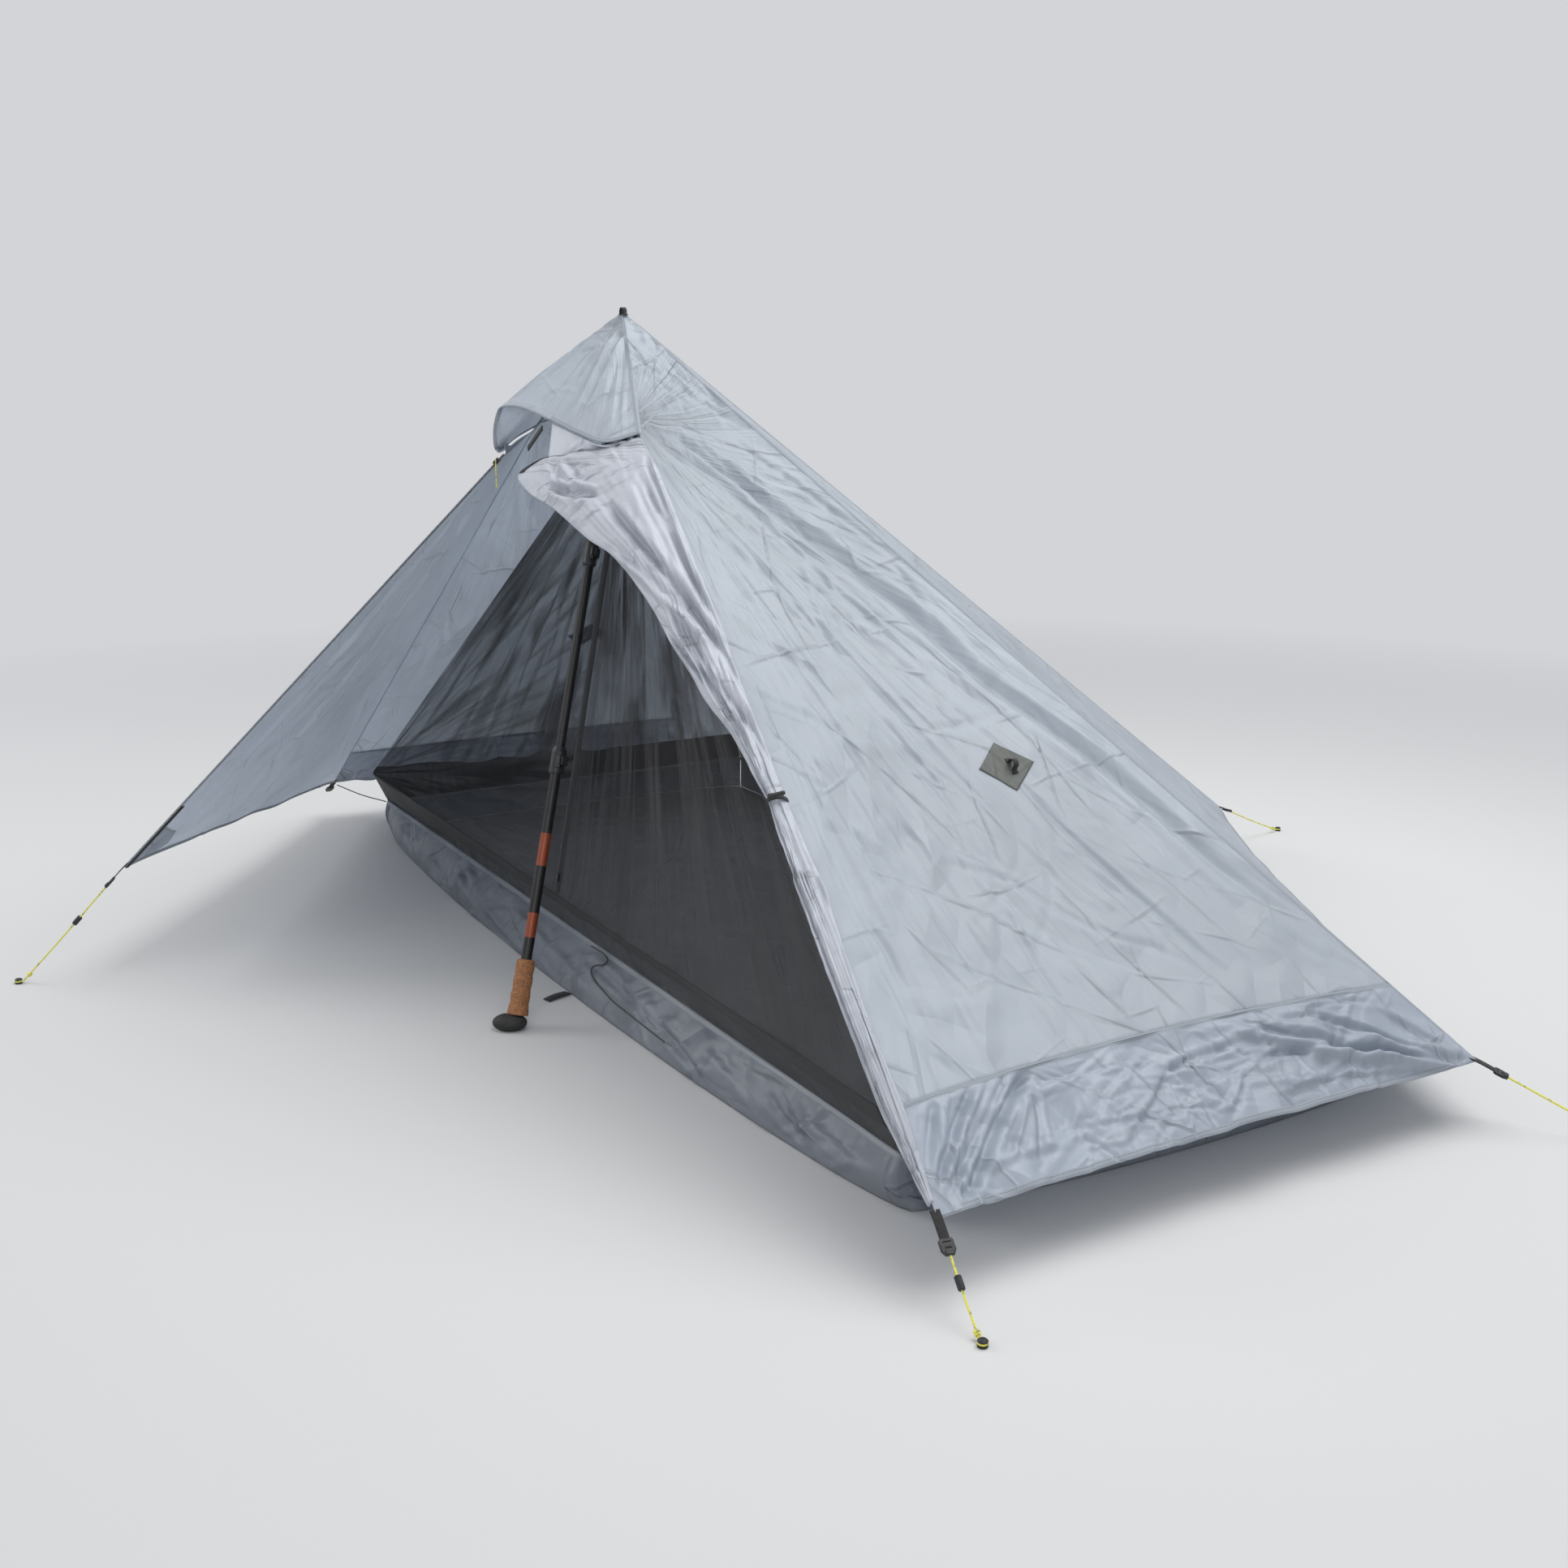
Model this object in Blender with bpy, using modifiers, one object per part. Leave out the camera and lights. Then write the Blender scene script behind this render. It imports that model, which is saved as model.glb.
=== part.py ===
"""A one-person tent pitched on one trekking pole: fly, mesh inner with a bathtub floor, pole and guylines."""
import math

import bmesh
import bpy
from mathutils import Matrix, Vector

# Driving dimensions, in metres. X runs along the sleeper, -Y is the door side and +Z is up.
ORIGIN_SHIFT_Y = 0.0256  # the tent without its guylines is centred on the origin by this
CLOTH = 0.0010  # thickness of every cloth panel
SEAM = 0.0010  # a panel stays this far back from its seam line
CLEAR = 0.0004  # gap between pieces that touch


def at(x, y, z):
    """A point measured from the middle of the bathtub floor."""
    return Vector((x, y + ORIGIN_SHIFT_Y, z))


# The fly: an irregular six-sided pyramid with one peak
PEAK = at(-0.036, -0.325, 1.157)
FLY_CORNER_X = 1.268
FLY_CORNER_Z = 0.094
FRONT_CORNER = at(FLY_CORNER_X, -0.550, FLY_CORNER_Z)
BACK_CORNER = at(FLY_CORNER_X, 0.392, FLY_CORNER_Z)
DOOR_TIP = at(-0.345, -1.176, 0.203)
REAR_TIP = at(0.003, 1.115, 0.100)
KNEE_RIGHT = at(0.190, -0.405, 0.958)  # the front ridge bends here, where the hood's seam meets it
KNEE_LEFT = at(-0.262, -0.405, 0.958)
HOOD_NOSE = at(-0.112, -0.535, 0.986)
ZIP_TOP = at(-0.108, -0.523, 0.921)
PANEL_SEAM_Z = 0.185  # the end panels' lower seam
PANEL_SEAM_RISE = 0.020
PEAK_TRIM = 0.010

# The inner tent
TUB_HALF_X = 1.083
TUB_HALF_Y = 0.470
TUB_WALL_Z = 0.080
TUB_BULGE = 0.066  # the slack front wall spreads this far on the ground
TUB_END_BULGE = 0.048  # and each slack end wall this far
TUB_BELLY = 0.012  # a slack wall leans out this much more at half height
TUB_BACK_SLACK = 0.010  # the back wall stands, and leans out only this far
SILL_TOP_Y = -0.507
SILL_TOP_Z = 0.150
INNER_PEAK = at(-0.036, -0.316, 1.003)
MESH_ZIP_FOOT_X = 0.022

# The pole, from the grip's head on the ground to the tip under the peak
POLE_FOOT = at(0.2375, -0.6745, 0.0)
POLE_TOP = PEAK + Vector((0.0055, 0.0095, 0.0))  # the tip sits in a pocket just behind the peak
GRIP_SHAFT_R = 0.0090
MIDDLE_SHAFT_R = 0.0080
TIP_SHAFT_R = 0.0070
SHAFT_WALL = 0.0006
CORK_FROM, CORK_TO = 0.024, 0.116
LOWER_LOCK_AT = 0.452
UPPER_LOCK_AT = 0.812
LOCK_LENGTH = 0.046

# Guylines and ground anchors
LINE_R = 0.0015
ANCHORS = {
    "door": (DOOR_TIP, at(-0.411, -1.358, 0.0)),
    "front_right": (FRONT_CORNER, at(1.388, -0.571, 0.0)),
    "back_right": (BACK_CORNER, at(1.460, 0.520, 0.0)),
    "rear": (REAR_TIP, at(-0.050, 1.360, 0.0)),
}
BUCKLE_LENGTH = 0.042
ANCHOR_R = 0.0065
ANCHOR_HEIGHT = 0.0090
TENSIONER_LENGTH = 0.018

PARTS = "one_person_tent"
HELPERS = "cutters"


def start():
    """Empties the scene and makes the two collections."""
    for item in list(bpy.context.scene.objects):
        bpy.data.objects.remove(item, do_unlink=True)
    for name in (PARTS, HELPERS):
        folder = bpy.data.collections.new(name)
        bpy.context.scene.collection.children.link(folder)


def material(name, colour, roughness, metallic=0.0):
    """A Principled material, made once and shared."""
    found = bpy.data.materials.get(name)
    if found:
        return found
    made = bpy.data.materials.new(name)
    made.use_nodes = True
    shader = made.node_tree.nodes["Principled BSDF"]
    shader.inputs["Base Color"].default_value = (*colour, 1.0)
    shader.inputs["Roughness"].default_value = roughness
    shader.inputs["Metallic"].default_value = metallic
    made.diffuse_color = (*colour, 1.0)
    return made


def fly_cloth():
    return material("fly_cloth", (0.51, 0.56, 0.63), 0.45)


def tub_cloth():
    return material("tub_cloth", (0.30, 0.33, 0.40), 0.55)


def net():
    return material("net", (0.035, 0.036, 0.04), 0.8)


def webbing():
    return material("webbing", (0.012, 0.012, 0.013), 0.75)


def hard_plastic():
    return material("hard_plastic", (0.016, 0.016, 0.018), 0.35)


def cork():
    return material("cork", (0.34, 0.15, 0.06), 0.8)


def grip_rubber():
    return material("grip_rubber", (0.015, 0.015, 0.015), 0.7)


def shaft_metal():
    return material("shaft_metal", (0.03, 0.03, 0.033), 0.3, 0.8)


def yellow_cord():
    return material("yellow_cord", (0.70, 0.66, 0.09), 0.7)


def black_cord():
    return material("black_cord", (0.013, 0.013, 0.014), 0.8)


def patch_cloth():
    return material("patch_cloth", (0.15, 0.18, 0.17), 0.6)


def keep(item, paint=None, folder=PARTS):
    """Moves an object into one of the two collections and gives it its material."""
    for old in list(item.users_collection):
        old.objects.unlink(item)
    bpy.data.collections[folder].objects.link(item)
    if paint:
        item.data.materials.clear()
        item.data.materials.append(paint)
    if folder == HELPERS:
        item.hide_render = True
        item.display_type = "WIRE"
    return item


def mesh_object(name, points, faces, paint=None, folder=PARTS, smooth=True):
    """A mesh object from points in world space."""
    mesh = bpy.data.meshes.new(name)
    mesh.from_pydata([tuple(p) for p in points], [], faces)
    if smooth:
        mesh.shade_smooth()
        mesh.set_sharp_from_angle(angle=math.radians(35))
    return keep(link(name, mesh), paint, folder)


def link(name, data):
    """A new object that stands in the scene."""
    item = bpy.data.objects.new(name, data)
    bpy.context.scene.collection.objects.link(item)
    return item


def frame_on(origin, forward, hint):
    """A placement with its Z along forward and its X as near to hint as it goes."""
    z = forward.normalized()
    x = (hint - z * hint.dot(z)).normalized()
    turn = Matrix((x, z.cross(x), z)).transposed().to_4x4()
    return Matrix.Translation(origin) @ turn


def down_the_ridge(corner, distance):
    """The point that lies this far from the peak on the way to a corner."""
    return PEAK + (corner - PEAK).normalized() * distance


def at_height(top, bottom, z):
    """The point of a straight seam at a given height."""
    return top.lerp(bottom, (top.z - z) / (top.z - bottom.z))


# Cloth panels

UPPER_COLUMNS, UPPER_ROWS = 12, 13


def panel(
    name, left, right, rows, columns, paint,
    sag=0.0, hem_sag=0.0, arch=(0.0, 0.0), folds=None, trim=(0.0, 0.0),
):
    """A sewn panel as a loft between its two side seams, thickened about its middle.

    left and right list the seams' corners from the top down, and rows the steps between them.
    sag pulls the middle inwards, hem_sag the lower edge, arch lifts the two cross edges, and
    folds(across, down) adds a depth of its own.
    """
    inward = (left[-1] - left[0]).cross(right[-1] - left[0]).normalized()
    if inward.dot(at(0, 0, 0.3) - left[0]) < 0:
        inward.negate()
    up = (left[0] - left[-1]).normalized()
    seams = []
    for span, steps in enumerate(rows):
        last = span == len(rows) - 1
        for step in range(steps + last):
            share = step / steps
            seams.append((left[span].lerp(left[span + 1], share), right[span].lerp(right[span + 1], share)))
    total = len(seams) - 1
    points = []
    for row, (a, b) in enumerate(seams):
        down = row / total
        across_way = (b - a).normalized() * SEAM
        a, b = a + across_way, b - across_way
        shift = up * (-trim[0] if row == 0 else trim[1] if row == total else 0.0)
        for column in range(columns + 1):
            across = column / columns
            bow = 4 * across * (1 - across)
            depth = bow * (sag * 4 * down * (1 - down) + hem_sag * down)
            if folds:
                depth += folds(across, down)
            lift = bow * (arch[0] * (1 - down) + arch[1] * down)
            points.append(a.lerp(b, across) + shift + inward * depth + up * lift)
    wide = columns + 1
    faces = [
        (r * wide + c, r * wide + c + 1, (r + 1) * wide + c + 1, (r + 1) * wide + c)
        for r in range(total)
        for c in range(columns)
    ]
    item = mesh_object(name, points, faces, paint)
    thicken(item)
    return item


def thicken(item, thickness=CLOTH):
    """Makes a closed solid of an open cloth surface."""
    shell = item.modifiers.new("thickness", "SOLIDIFY")
    shell.thickness = thickness
    shell.offset = 0.0
    shell.use_rim = True


def ridge_fold(centre, width, depth):
    """A pulled valley that runs down from the peak, strongest half way."""

    def valley(across, down):
        return depth * math.exp(-(((across - centre) / width) ** 2)) * math.sin(math.pi * down)

    return valley


def end_panels(side):
    """The upper panel and the skirt of one end: side is 1 at the near end and -1 at the far one."""
    word = "right" if side > 0 else "left"
    front = mirrored(FRONT_CORNER, side)
    back = mirrored(BACK_CORNER, side)
    knee = KNEE_RIGHT if side > 0 else KNEE_LEFT
    seam_front = at_height(knee, front, PANEL_SEAM_Z)
    seam_back = at_height(PEAK, back, PANEL_SEAM_Z)
    knee_back = at_height(PEAK, back, knee.z)
    paint = fly_cloth()
    upper = panel(
        f"fly_{word}_upper",
        [down_the_ridge(knee, PEAK_TRIM), knee, seam_front],
        [down_the_ridge(back, PEAK_TRIM), knee_back, seam_back],
        (3, UPPER_ROWS - 3),
        UPPER_COLUMNS,
        paint,
        sag=0.016,
        hem_sag=0.008,
        arch=(0.0, PANEL_SEAM_RISE),
        folds=ridge_fold(0.80, 0.09, 0.009),
        trim=(0.0, SEAM / 3),
    )
    skirt = panel(
        f"fly_{word}_skirt",
        [seam_front, front],
        [seam_back, back],
        (4,),
        16,
        paint,
        hem_sag=0.010,
        arch=(PANEL_SEAM_RISE, 0.008),
        folds=lambda across, down: 0.008 * 4 * across * (1 - across) * (1 - down)
        + 0.0035 * math.sin(across * 31.0) * math.sin(math.pi * across),
        trim=(SEAM / 3, 0.0),
    )
    return upper, skirt


def mirrored(point, side):
    """A near-end point, or its twin at the far end."""
    return point if side > 0 else Vector((-point.x, point.y, point.z))


def rear_panels():
    """The two panels behind, which meet on the ridge from the peak to the rear tip."""
    for side, word in ((1, "right"), (-1, "left")):
        corner = mirrored(BACK_CORNER, side)
        panel(
            f"fly_back_{word}",
            [down_the_ridge(corner, PEAK_TRIM), corner],
            [down_the_ridge(REAR_TIP, PEAK_TRIM), REAR_TIP],
            (12,),
            10,
            fly_cloth(),
            sag=0.020,
            hem_sag=0.018,
            arch=(0.0, 0.045),
        )


ZIP_TAPE = 0.013  # the door's cloth stops this far from the zip's free edge


def door_axes():
    """Directions of the left door at its zip: along the zip, and into the cloth."""
    along = (DOOR_TIP - ZIP_TOP).normalized()
    corner = mirrored(FRONT_CORNER, -1)
    into = corner - ZIP_TOP
    into = (into - along * into.dot(along)).normalized()
    return along, into


def left_door():
    """The closed half of the vestibule door, from its zip to the far front ridge."""
    along, into = door_axes()
    far = mirrored(FRONT_CORNER, -1)
    edge_top = ZIP_TOP + into * ZIP_TAPE
    edge_foot = DOOR_TIP + into * ZIP_TAPE
    panel(
        "door_left",
        [edge_top, edge_foot],
        [KNEE_LEFT.lerp(far, 0.010), far],
        (12,),
        10,
        fly_cloth(),
        sag=0.018,
        hem_sag=0.004,
        arch=(0.0, 0.014),
    )


def hood():
    """The peaked hood over the vent, a fan of straight lines from the peak to its curved lip."""
    lip = [
        KNEE_RIGHT,
        at(0.155, -0.451, 0.944),
        at(0.080, -0.467, 0.957),
        at(0.008, -0.483, 0.976),
        at(-0.060, -0.508, 0.996),
        at(-0.098, -0.530, 0.998),
        HOOD_NOSE,
        at(-0.118, -0.540, 0.955),
        at(-0.118, -0.537, 0.924),
        at(-0.150, -0.506, 0.929),
        at(-0.205, -0.463, 0.942),
        KNEE_LEFT,
    ]
    steps = 6
    points = []
    for row in range(steps + 1):
        down = 0.045 + (0.998 - 0.045) * row / steps
        for number, end in enumerate(lip):
            across = number / (len(lip) - 1)
            puff = Vector((0.0, -0.4, 0.9)) * 0.012 * math.sin(math.pi * across) * math.sin(math.pi * down)
            points.append(PEAK.lerp(end, down) + puff)
    wide = len(lip)
    for row in range(steps + 1):
        first, last = points[row * wide], points[row * wide + wide - 1]
        way = (last - first).normalized() * SEAM
        points[row * wide] = first + way
        points[row * wide + wide - 1] = last - way
    faces = [
        (r * wide + c, r * wide + c + 1, (r + 1) * wide + c + 1, (r + 1) * wide + c)
        for r in range(steps)
        for c in range(wide - 1)
    ]
    thicken(mesh_object("peak_hood", points, faces, fly_cloth()))


def loft(name, rings, paint):
    """A closed solid through equal rings of points, with a fan over each end."""
    count = len(rings[0])
    points = [p for ring in rings for p in ring]
    faces = []
    for r in range(len(rings) - 1):
        for c in range(count):
            nxt = (c + 1) % count
            faces.append((r * count + c, r * count + nxt, (r + 1) * count + nxt, (r + 1) * count + c))
    first, last = len(points), len(points) + 1
    points.append(sum(rings[0], Vector()) / count)
    points.append(sum(rings[-1], Vector()) / count)
    top = (len(rings) - 1) * count
    for c in range(count):
        nxt = (c + 1) % count
        faces.append((nxt, c, first))
        faces.append((top + c, top + nxt, last))
    return mesh_object(name, points, faces, paint)


# Where the rolled door's free edge lies: the share of the ridge opposite it, how far it laps over
# the end panel there, and its half thickness
ROLL_STATIONS = [
    (at(0.037, -0.500, 0.917), 0.013, 0.000, 0.0012),
    (at(0.008, -0.522, 0.905), 0.022, 0.000, 0.0040),
    (at(-0.004, -0.543, 0.882), 0.045, 0.001, 0.0070),
    (at(0.035, -0.538, 0.856), 0.070, 0.002, 0.0095),
    (at(0.109, -0.527, 0.836), 0.105, 0.003, 0.0110),
    (at(0.214, -0.512, 0.794), 0.160, 0.004, 0.0130),
    (at(0.285, -0.498, 0.770), 0.205, 0.005, 0.0135),
    (at(0.394, -0.491, 0.712), 0.275, 0.007, 0.0145),
    (at(0.477, -0.493, 0.658), 0.335, 0.009, 0.0145),
    (at(0.540, -0.492, 0.621), 0.380, 0.010, 0.0140),
    (at(0.599, -0.493, 0.584), 0.425, 0.011, 0.0130),
    (at(0.658, -0.489, 0.553), 0.465, 0.011, 0.0120),
    (at(0.724, -0.491, 0.510), 0.515, 0.010, 0.0105),
    (at(0.778, -0.494, 0.474), 0.555, 0.010, 0.0095),
    (at(0.812, -0.500, 0.444), 0.590, 0.012, 0.0105),
    (at(0.910, -0.515, 0.362), 0.680, 0.017, 0.0120),
    (at(0.984, -0.526, 0.302), 0.748, 0.011, 0.0120),
    (at(1.059, -0.535, 0.242), 0.818, 0.009, 0.0110),
    (at(1.141, -0.546, 0.178), 0.892, 0.011, 0.0090),
    (at(1.194, -0.548, 0.142), 0.938, 0.008, 0.0060),
    (at(1.222, -0.551, 0.121), 0.963, 0.004, 0.0035),
]
ROLL_OUTER = 18
ROLL_INNER = (0.92, 0.80, 0.66, 0.52, 0.38, 0.22, 0.10)
ROLL_TURN = 0.22  # the share of a section at which it crosses the ridge
ROLL_PLEATS = 3
ROLL_OFF_CLOTH = 0.0022
TOGGLE_STATION = 13


def roll_axes():
    """The way down the near front ridge and the outward normals of its door and its end panel."""
    ridge = (FRONT_CORNER - KNEE_RIGHT).normalized()
    outward = (DOOR_TIP - KNEE_RIGHT).cross(ridge).normalized()
    if outward.y > 0:
        outward.negate()
    panel_out = (BACK_CORNER - PEAK).cross(FRONT_CORNER - PEAK).normalized()
    if panel_out.z < 0:
        panel_out.negate()
    return ridge, outward, panel_out


def roll_section(station):
    """Two functions of one station, from its lap at 0 to its free edge at 1: its seat and the way out."""
    free_edge, share, lap, half = ROLL_STATIONS[station]
    ridge, outward, panel_out = roll_axes()
    seam = KNEE_RIGHT.lerp(FRONT_CORNER, share)
    knee = seam + (outward + panel_out).normalized() * ROLL_OFF_CLOTH
    start_point = seam + Vector((0, lap, 0)) + panel_out * ROLL_OFF_CLOTH

    def seat(t):
        if t < ROLL_TURN:
            return start_point.lerp(knee, t / ROLL_TURN)
        return knee.lerp(free_edge, (t - ROLL_TURN) / (1 - ROLL_TURN))

    def out(t):
        return panel_out.lerp(outward, min(1.0, t * 2.2)).normalized()

    return seat, out, half


def roll_height(t, half):
    """How thick the gathered cloth stands on its seat, with its overlapping pleats."""
    body = 1.75 * half * math.sin(math.pi * min(max(t, 0.0), 1.0)) ** 0.5
    phase = math.tau * ROLL_PLEATS * t
    pleat = 0.30 * half * math.sin(phase + 0.7 * math.sin(phase)) * math.sin(math.pi * t)
    return body + pleat


def roll_crown(t, half):
    """The height that clears every pleat."""
    stand = math.sin(math.pi * min(max(t, 0.0), 1.0))
    return 1.75 * half * stand**0.5 + 0.30 * half * stand


def roll_tuck(t, half):
    """How far the gathered cloth bulges inwards behind its seat."""
    return 0.45 * half * math.sin(math.pi * t) * max(0.0, t - 0.25) / 0.75


def rolled_door():
    """The open half of the vestibule door, gathered in pleats along the near front ridge."""
    rings = []
    for station in range(len(ROLL_STATIONS)):
        seat, out, half = roll_section(station)
        ring = []
        for step in range(ROLL_OUTER):
            t = step / (ROLL_OUTER - 1)
            ring.append(seat(t) + out(t) * (roll_height(t, half) + 0.0004))
        ring += [seat(t) - out(t) * roll_tuck(t, half) for t in ROLL_INNER]
        rings.append(ring)
    item = loft("door_right_rolled", rings, fly_cloth())
    turn_outward(item)


# Turned shapes, tubes and helpers


def turned(name, profile, place, paint, steps=24, folder=PARTS, closed=False):
    """A solid of revolution about local Z: the profile runs down its outer side as (radius, height)."""
    points = [(r, 0.0, z) for r, z in profile]
    edges = [(i, i + 1) for i in range(len(points) - 1)]
    if closed:
        edges.append((len(points) - 1, 0))
    mesh = bpy.data.meshes.new(name)
    mesh.from_pydata(points, edges, [])
    item = keep(link(name, mesh), paint, folder)
    item.matrix_world = place
    spin = item.modifiers.new("turn", "SCREW")
    spin.angle = math.tau
    spin.steps = steps
    spin.render_steps = steps
    spin.use_merge_vertices = True
    spin.merge_threshold = 0.00005
    spin.use_smooth_shade = False
    return item


def ring_profile(outer, inner, low, high, chamfer=0.0):
    """A closed tube section, with its outer corners cut by chamfer."""
    return [
        (outer - chamfer, high),
        (outer, high - chamfer),
        (outer, low + chamfer),
        (outer - chamfer, low),
        (inner, low),
        (inner, high),
    ]


def box(name, size, place, paint=None, folder=PARTS, bevel=0.0):
    """A box of real size, placed by a matrix, with rounded edges if asked."""
    bpy.ops.mesh.primitive_cube_add(size=1.0)
    item = bpy.context.object
    item.name = name
    for vertex in item.data.vertices:
        vertex.co = Vector((vertex.co.x * size[0], vertex.co.y * size[1], vertex.co.z * size[2]))
    item.matrix_world = place
    keep(item, paint, folder)
    if bevel:
        soft = item.modifiers.new("rounded", "BEVEL")
        soft.width = bevel
        soft.segments = 2
    return item


def tube(name, points, radius, paint, sides=2):
    """A round cord or strap along a list of points, with filled ends."""
    curve = bpy.data.curves.new(name, "CURVE")
    curve.dimensions = "3D"
    curve.bevel_depth = radius
    curve.bevel_resolution = sides
    curve.use_fill_caps = True
    line = curve.splines.new("POLY")
    line.points.add(len(points) - 1)
    for spot, point in zip(line.points, points):
        spot.co = (*point, 1.0)
    return keep(link(name, curve), paint)


def combine(item, other, how):
    """Joins or cuts item with a helper."""
    step = item.modifiers.new(how.lower(), "BOOLEAN")
    step.operation = how
    step.object = other
    step.solver = "EXACT"


def smooth_route(knots, count):
    """Points spread along a smooth curve through the knots."""
    found = []
    spans = len(knots) - 1
    for number in range(count):
        share = number / (count - 1) * spans
        span = min(int(share), spans - 1)
        t = share - span
        p1, p2 = knots[span], knots[span + 1]
        p0 = knots[span - 1] if span else p1 * 2 - p2
        p3 = knots[span + 2] if span + 2 <= spans else p2 * 2 - p1
        found.append(
            (
                p1 * 2
                + (p2 - p0) * t
                + (p0 * 2 - p1 * 5 + p2 * 4 - p3) * t**2
                + (p1 * 3 - p0 - p2 * 3 + p3) * t**3
            )
            / 2
        )
    return found


# Bathtub floor and walls


def tub_front_y(x):
    """How far forward the slack front wall meets the ground."""
    slack = max(0.0, 1 - (x / TUB_HALF_X) ** 2) ** 0.6
    return -(TUB_HALF_Y - 0.006) - TUB_BULGE * slack


def tub_end_x(y):
    """How far out a slack end wall meets the ground."""
    slack = max(0.0, 1 - (y / TUB_HALF_Y) ** 2) ** 0.6
    return TUB_HALF_X + TUB_END_BULGE * slack


def tub_front_point(x, share, ripple=0.0):
    """A point of the front wall, from the ground at share 0 to the sill at share 1."""
    low, high = tub_front_y(x), -TUB_HALF_Y - 0.005
    y = low + (high - low) * share - TUB_BELLY * math.sin(math.pi * share) + ripple
    return at(x, y, 0.0012 + (TUB_WALL_Z - 0.0012) * share)


def tub_end_point(side, across, share):
    """A point of an end wall, across from the front corner to the back one and share from the ground up."""
    front = tub_front_point(TUB_HALF_X, share)
    back = at(0, TUB_HALF_Y - 0.001, 0)
    y = front.y + (back.y - front.y) * across
    foot = tub_end_x(y - ORIGIN_SHIFT_Y)
    belly = TUB_BELLY * math.sin(math.pi * share) * math.sin(math.pi * across)
    x = foot + (TUB_HALF_X - foot) * share + belly
    return Vector((side * x, y, front.z))


def tub_front_wall():
    """The slack front wall with its broad slumped folds."""
    columns, rows = 36, 5
    half = TUB_HALF_X - 0.0015
    points = []
    for row in range(rows + 1):
        share = row / rows
        for column in range(columns + 1):
            x = -half + 2 * half * column / columns
            fold = 0.005 * math.sin(x * 17.0 + 1.3 * math.sin(x * 5.0)) * math.sin(math.pi * share)
            points.append(tub_front_point(x, share, fold))
    wide = columns + 1
    faces = [
        (r * wide + c, r * wide + c + 1, (r + 1) * wide + c + 1, (r + 1) * wide + c)
        for r in range(rows)
        for c in range(columns)
    ]
    thicken(mesh_object("tub_wall_front", points, faces, tub_cloth()))


def tub():
    """The floor sheet and its four walls."""
    inside = CLOTH / 2 + CLEAR
    half = TUB_HALF_X - inside - 0.001
    front = [(x, tub_front_y(x) + 0.0022) for x in [half * (-1 + 2 * i / 24) for i in range(25)]]
    back_y = TUB_HALF_Y - inside - 0.001
    steps = [back_y * (-1 + 2 * i / 12) for i in range(1, 12)]
    right = [(tub_end_x(y) - inside - 0.001, y) for y in steps]
    left = [(-x, y) for x, y in reversed(right)]
    outline = front + right + [(half, back_y), (-half, back_y)] + left
    curve = bpy.data.curves.new("tub_floor", "CURVE")
    curve.dimensions = "2D"
    curve.fill_mode = "BOTH"
    curve.extrude = CLOTH / 2
    line = curve.splines.new("POLY")
    line.points.add(len(outline) - 1)
    for spot, (x, y) in zip(line.points, outline):
        spot.co = (*at(x, y, 0.0)[:2], 0.0, 1.0)
    line.use_cyclic_u = True
    floor = keep(link("tub_floor", curve), tub_cloth())
    floor.location.z = CLOTH / 2
    tub_front_wall()
    tub_back_wall()
    for side, word in ((1, "right"), (-1, "left")):
        tub_end_wall(side, f"tub_wall_{word}")


def tub_end_wall(side, name):
    """A slack wall at one end, which slumps out over the ground."""
    columns, rows = 12, 4
    points = [
        tub_end_point(side, column / columns, row / rows)
        for row in range(rows + 1)
        for column in range(columns + 1)
    ]
    wide = columns + 1
    faces = [
        (r * wide + c, r * wide + c + 1, (r + 1) * wide + c + 1, (r + 1) * wide + c)
        for r in range(rows)
        for c in range(columns)
    ]
    thicken(mesh_object(name, points, faces, tub_cloth()))


def tub_back_wall():
    """The short standing wall at the back, a little slack at half height."""
    columns, rows = 12, 4
    half = TUB_HALF_X - 0.001
    points = []
    for row in range(rows + 1):
        share = row / rows
        for column in range(columns + 1):
            across = column / columns
            slack = TUB_BACK_SLACK * math.sin(math.pi * share) * math.sin(math.pi * across)
            height = CLOTH / 2 + (TUB_WALL_Z - CLOTH) * share
            points.append(at(half * (2 * across - 1), TUB_HALF_Y + slack, height))
    wide = columns + 1
    faces = [
        (r * wide + c, r * wide + c + 1, (r + 1) * wide + c + 1, (r + 1) * wide + c)
        for r in range(rows)
        for c in range(columns)
    ]
    thicken(mesh_object("tub_wall_back", points, faces, tub_cloth()))


# Mesh inner

SILL_END_X = TUB_HALF_X - 0.003
SILL_FOOT_Y = -TUB_HALF_Y - 0.005
MESH_ZIP_HALF = 0.012
MESH_TOP_TRIM = 0.030


def inner_edge(corner, distance=MESH_TOP_TRIM):
    """The point that lies this far from the inner's peak on the way to a corner."""
    return INNER_PEAK + (corner - INNER_PEAK).normalized() * distance


def mesh_zip_line():
    """The foot and head of the straight zip in the mesh front."""
    foot = at(MESH_ZIP_FOOT_X, SILL_TOP_Y, SILL_TOP_Z)
    return foot, inner_edge(foot, 0.045)


def net_droop(across, down):
    """The slack folds of the net, which is never quite tight."""
    return 0.004 * math.sin(26.0 * across + 9.0 * down) * math.sin(math.pi * across)


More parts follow.
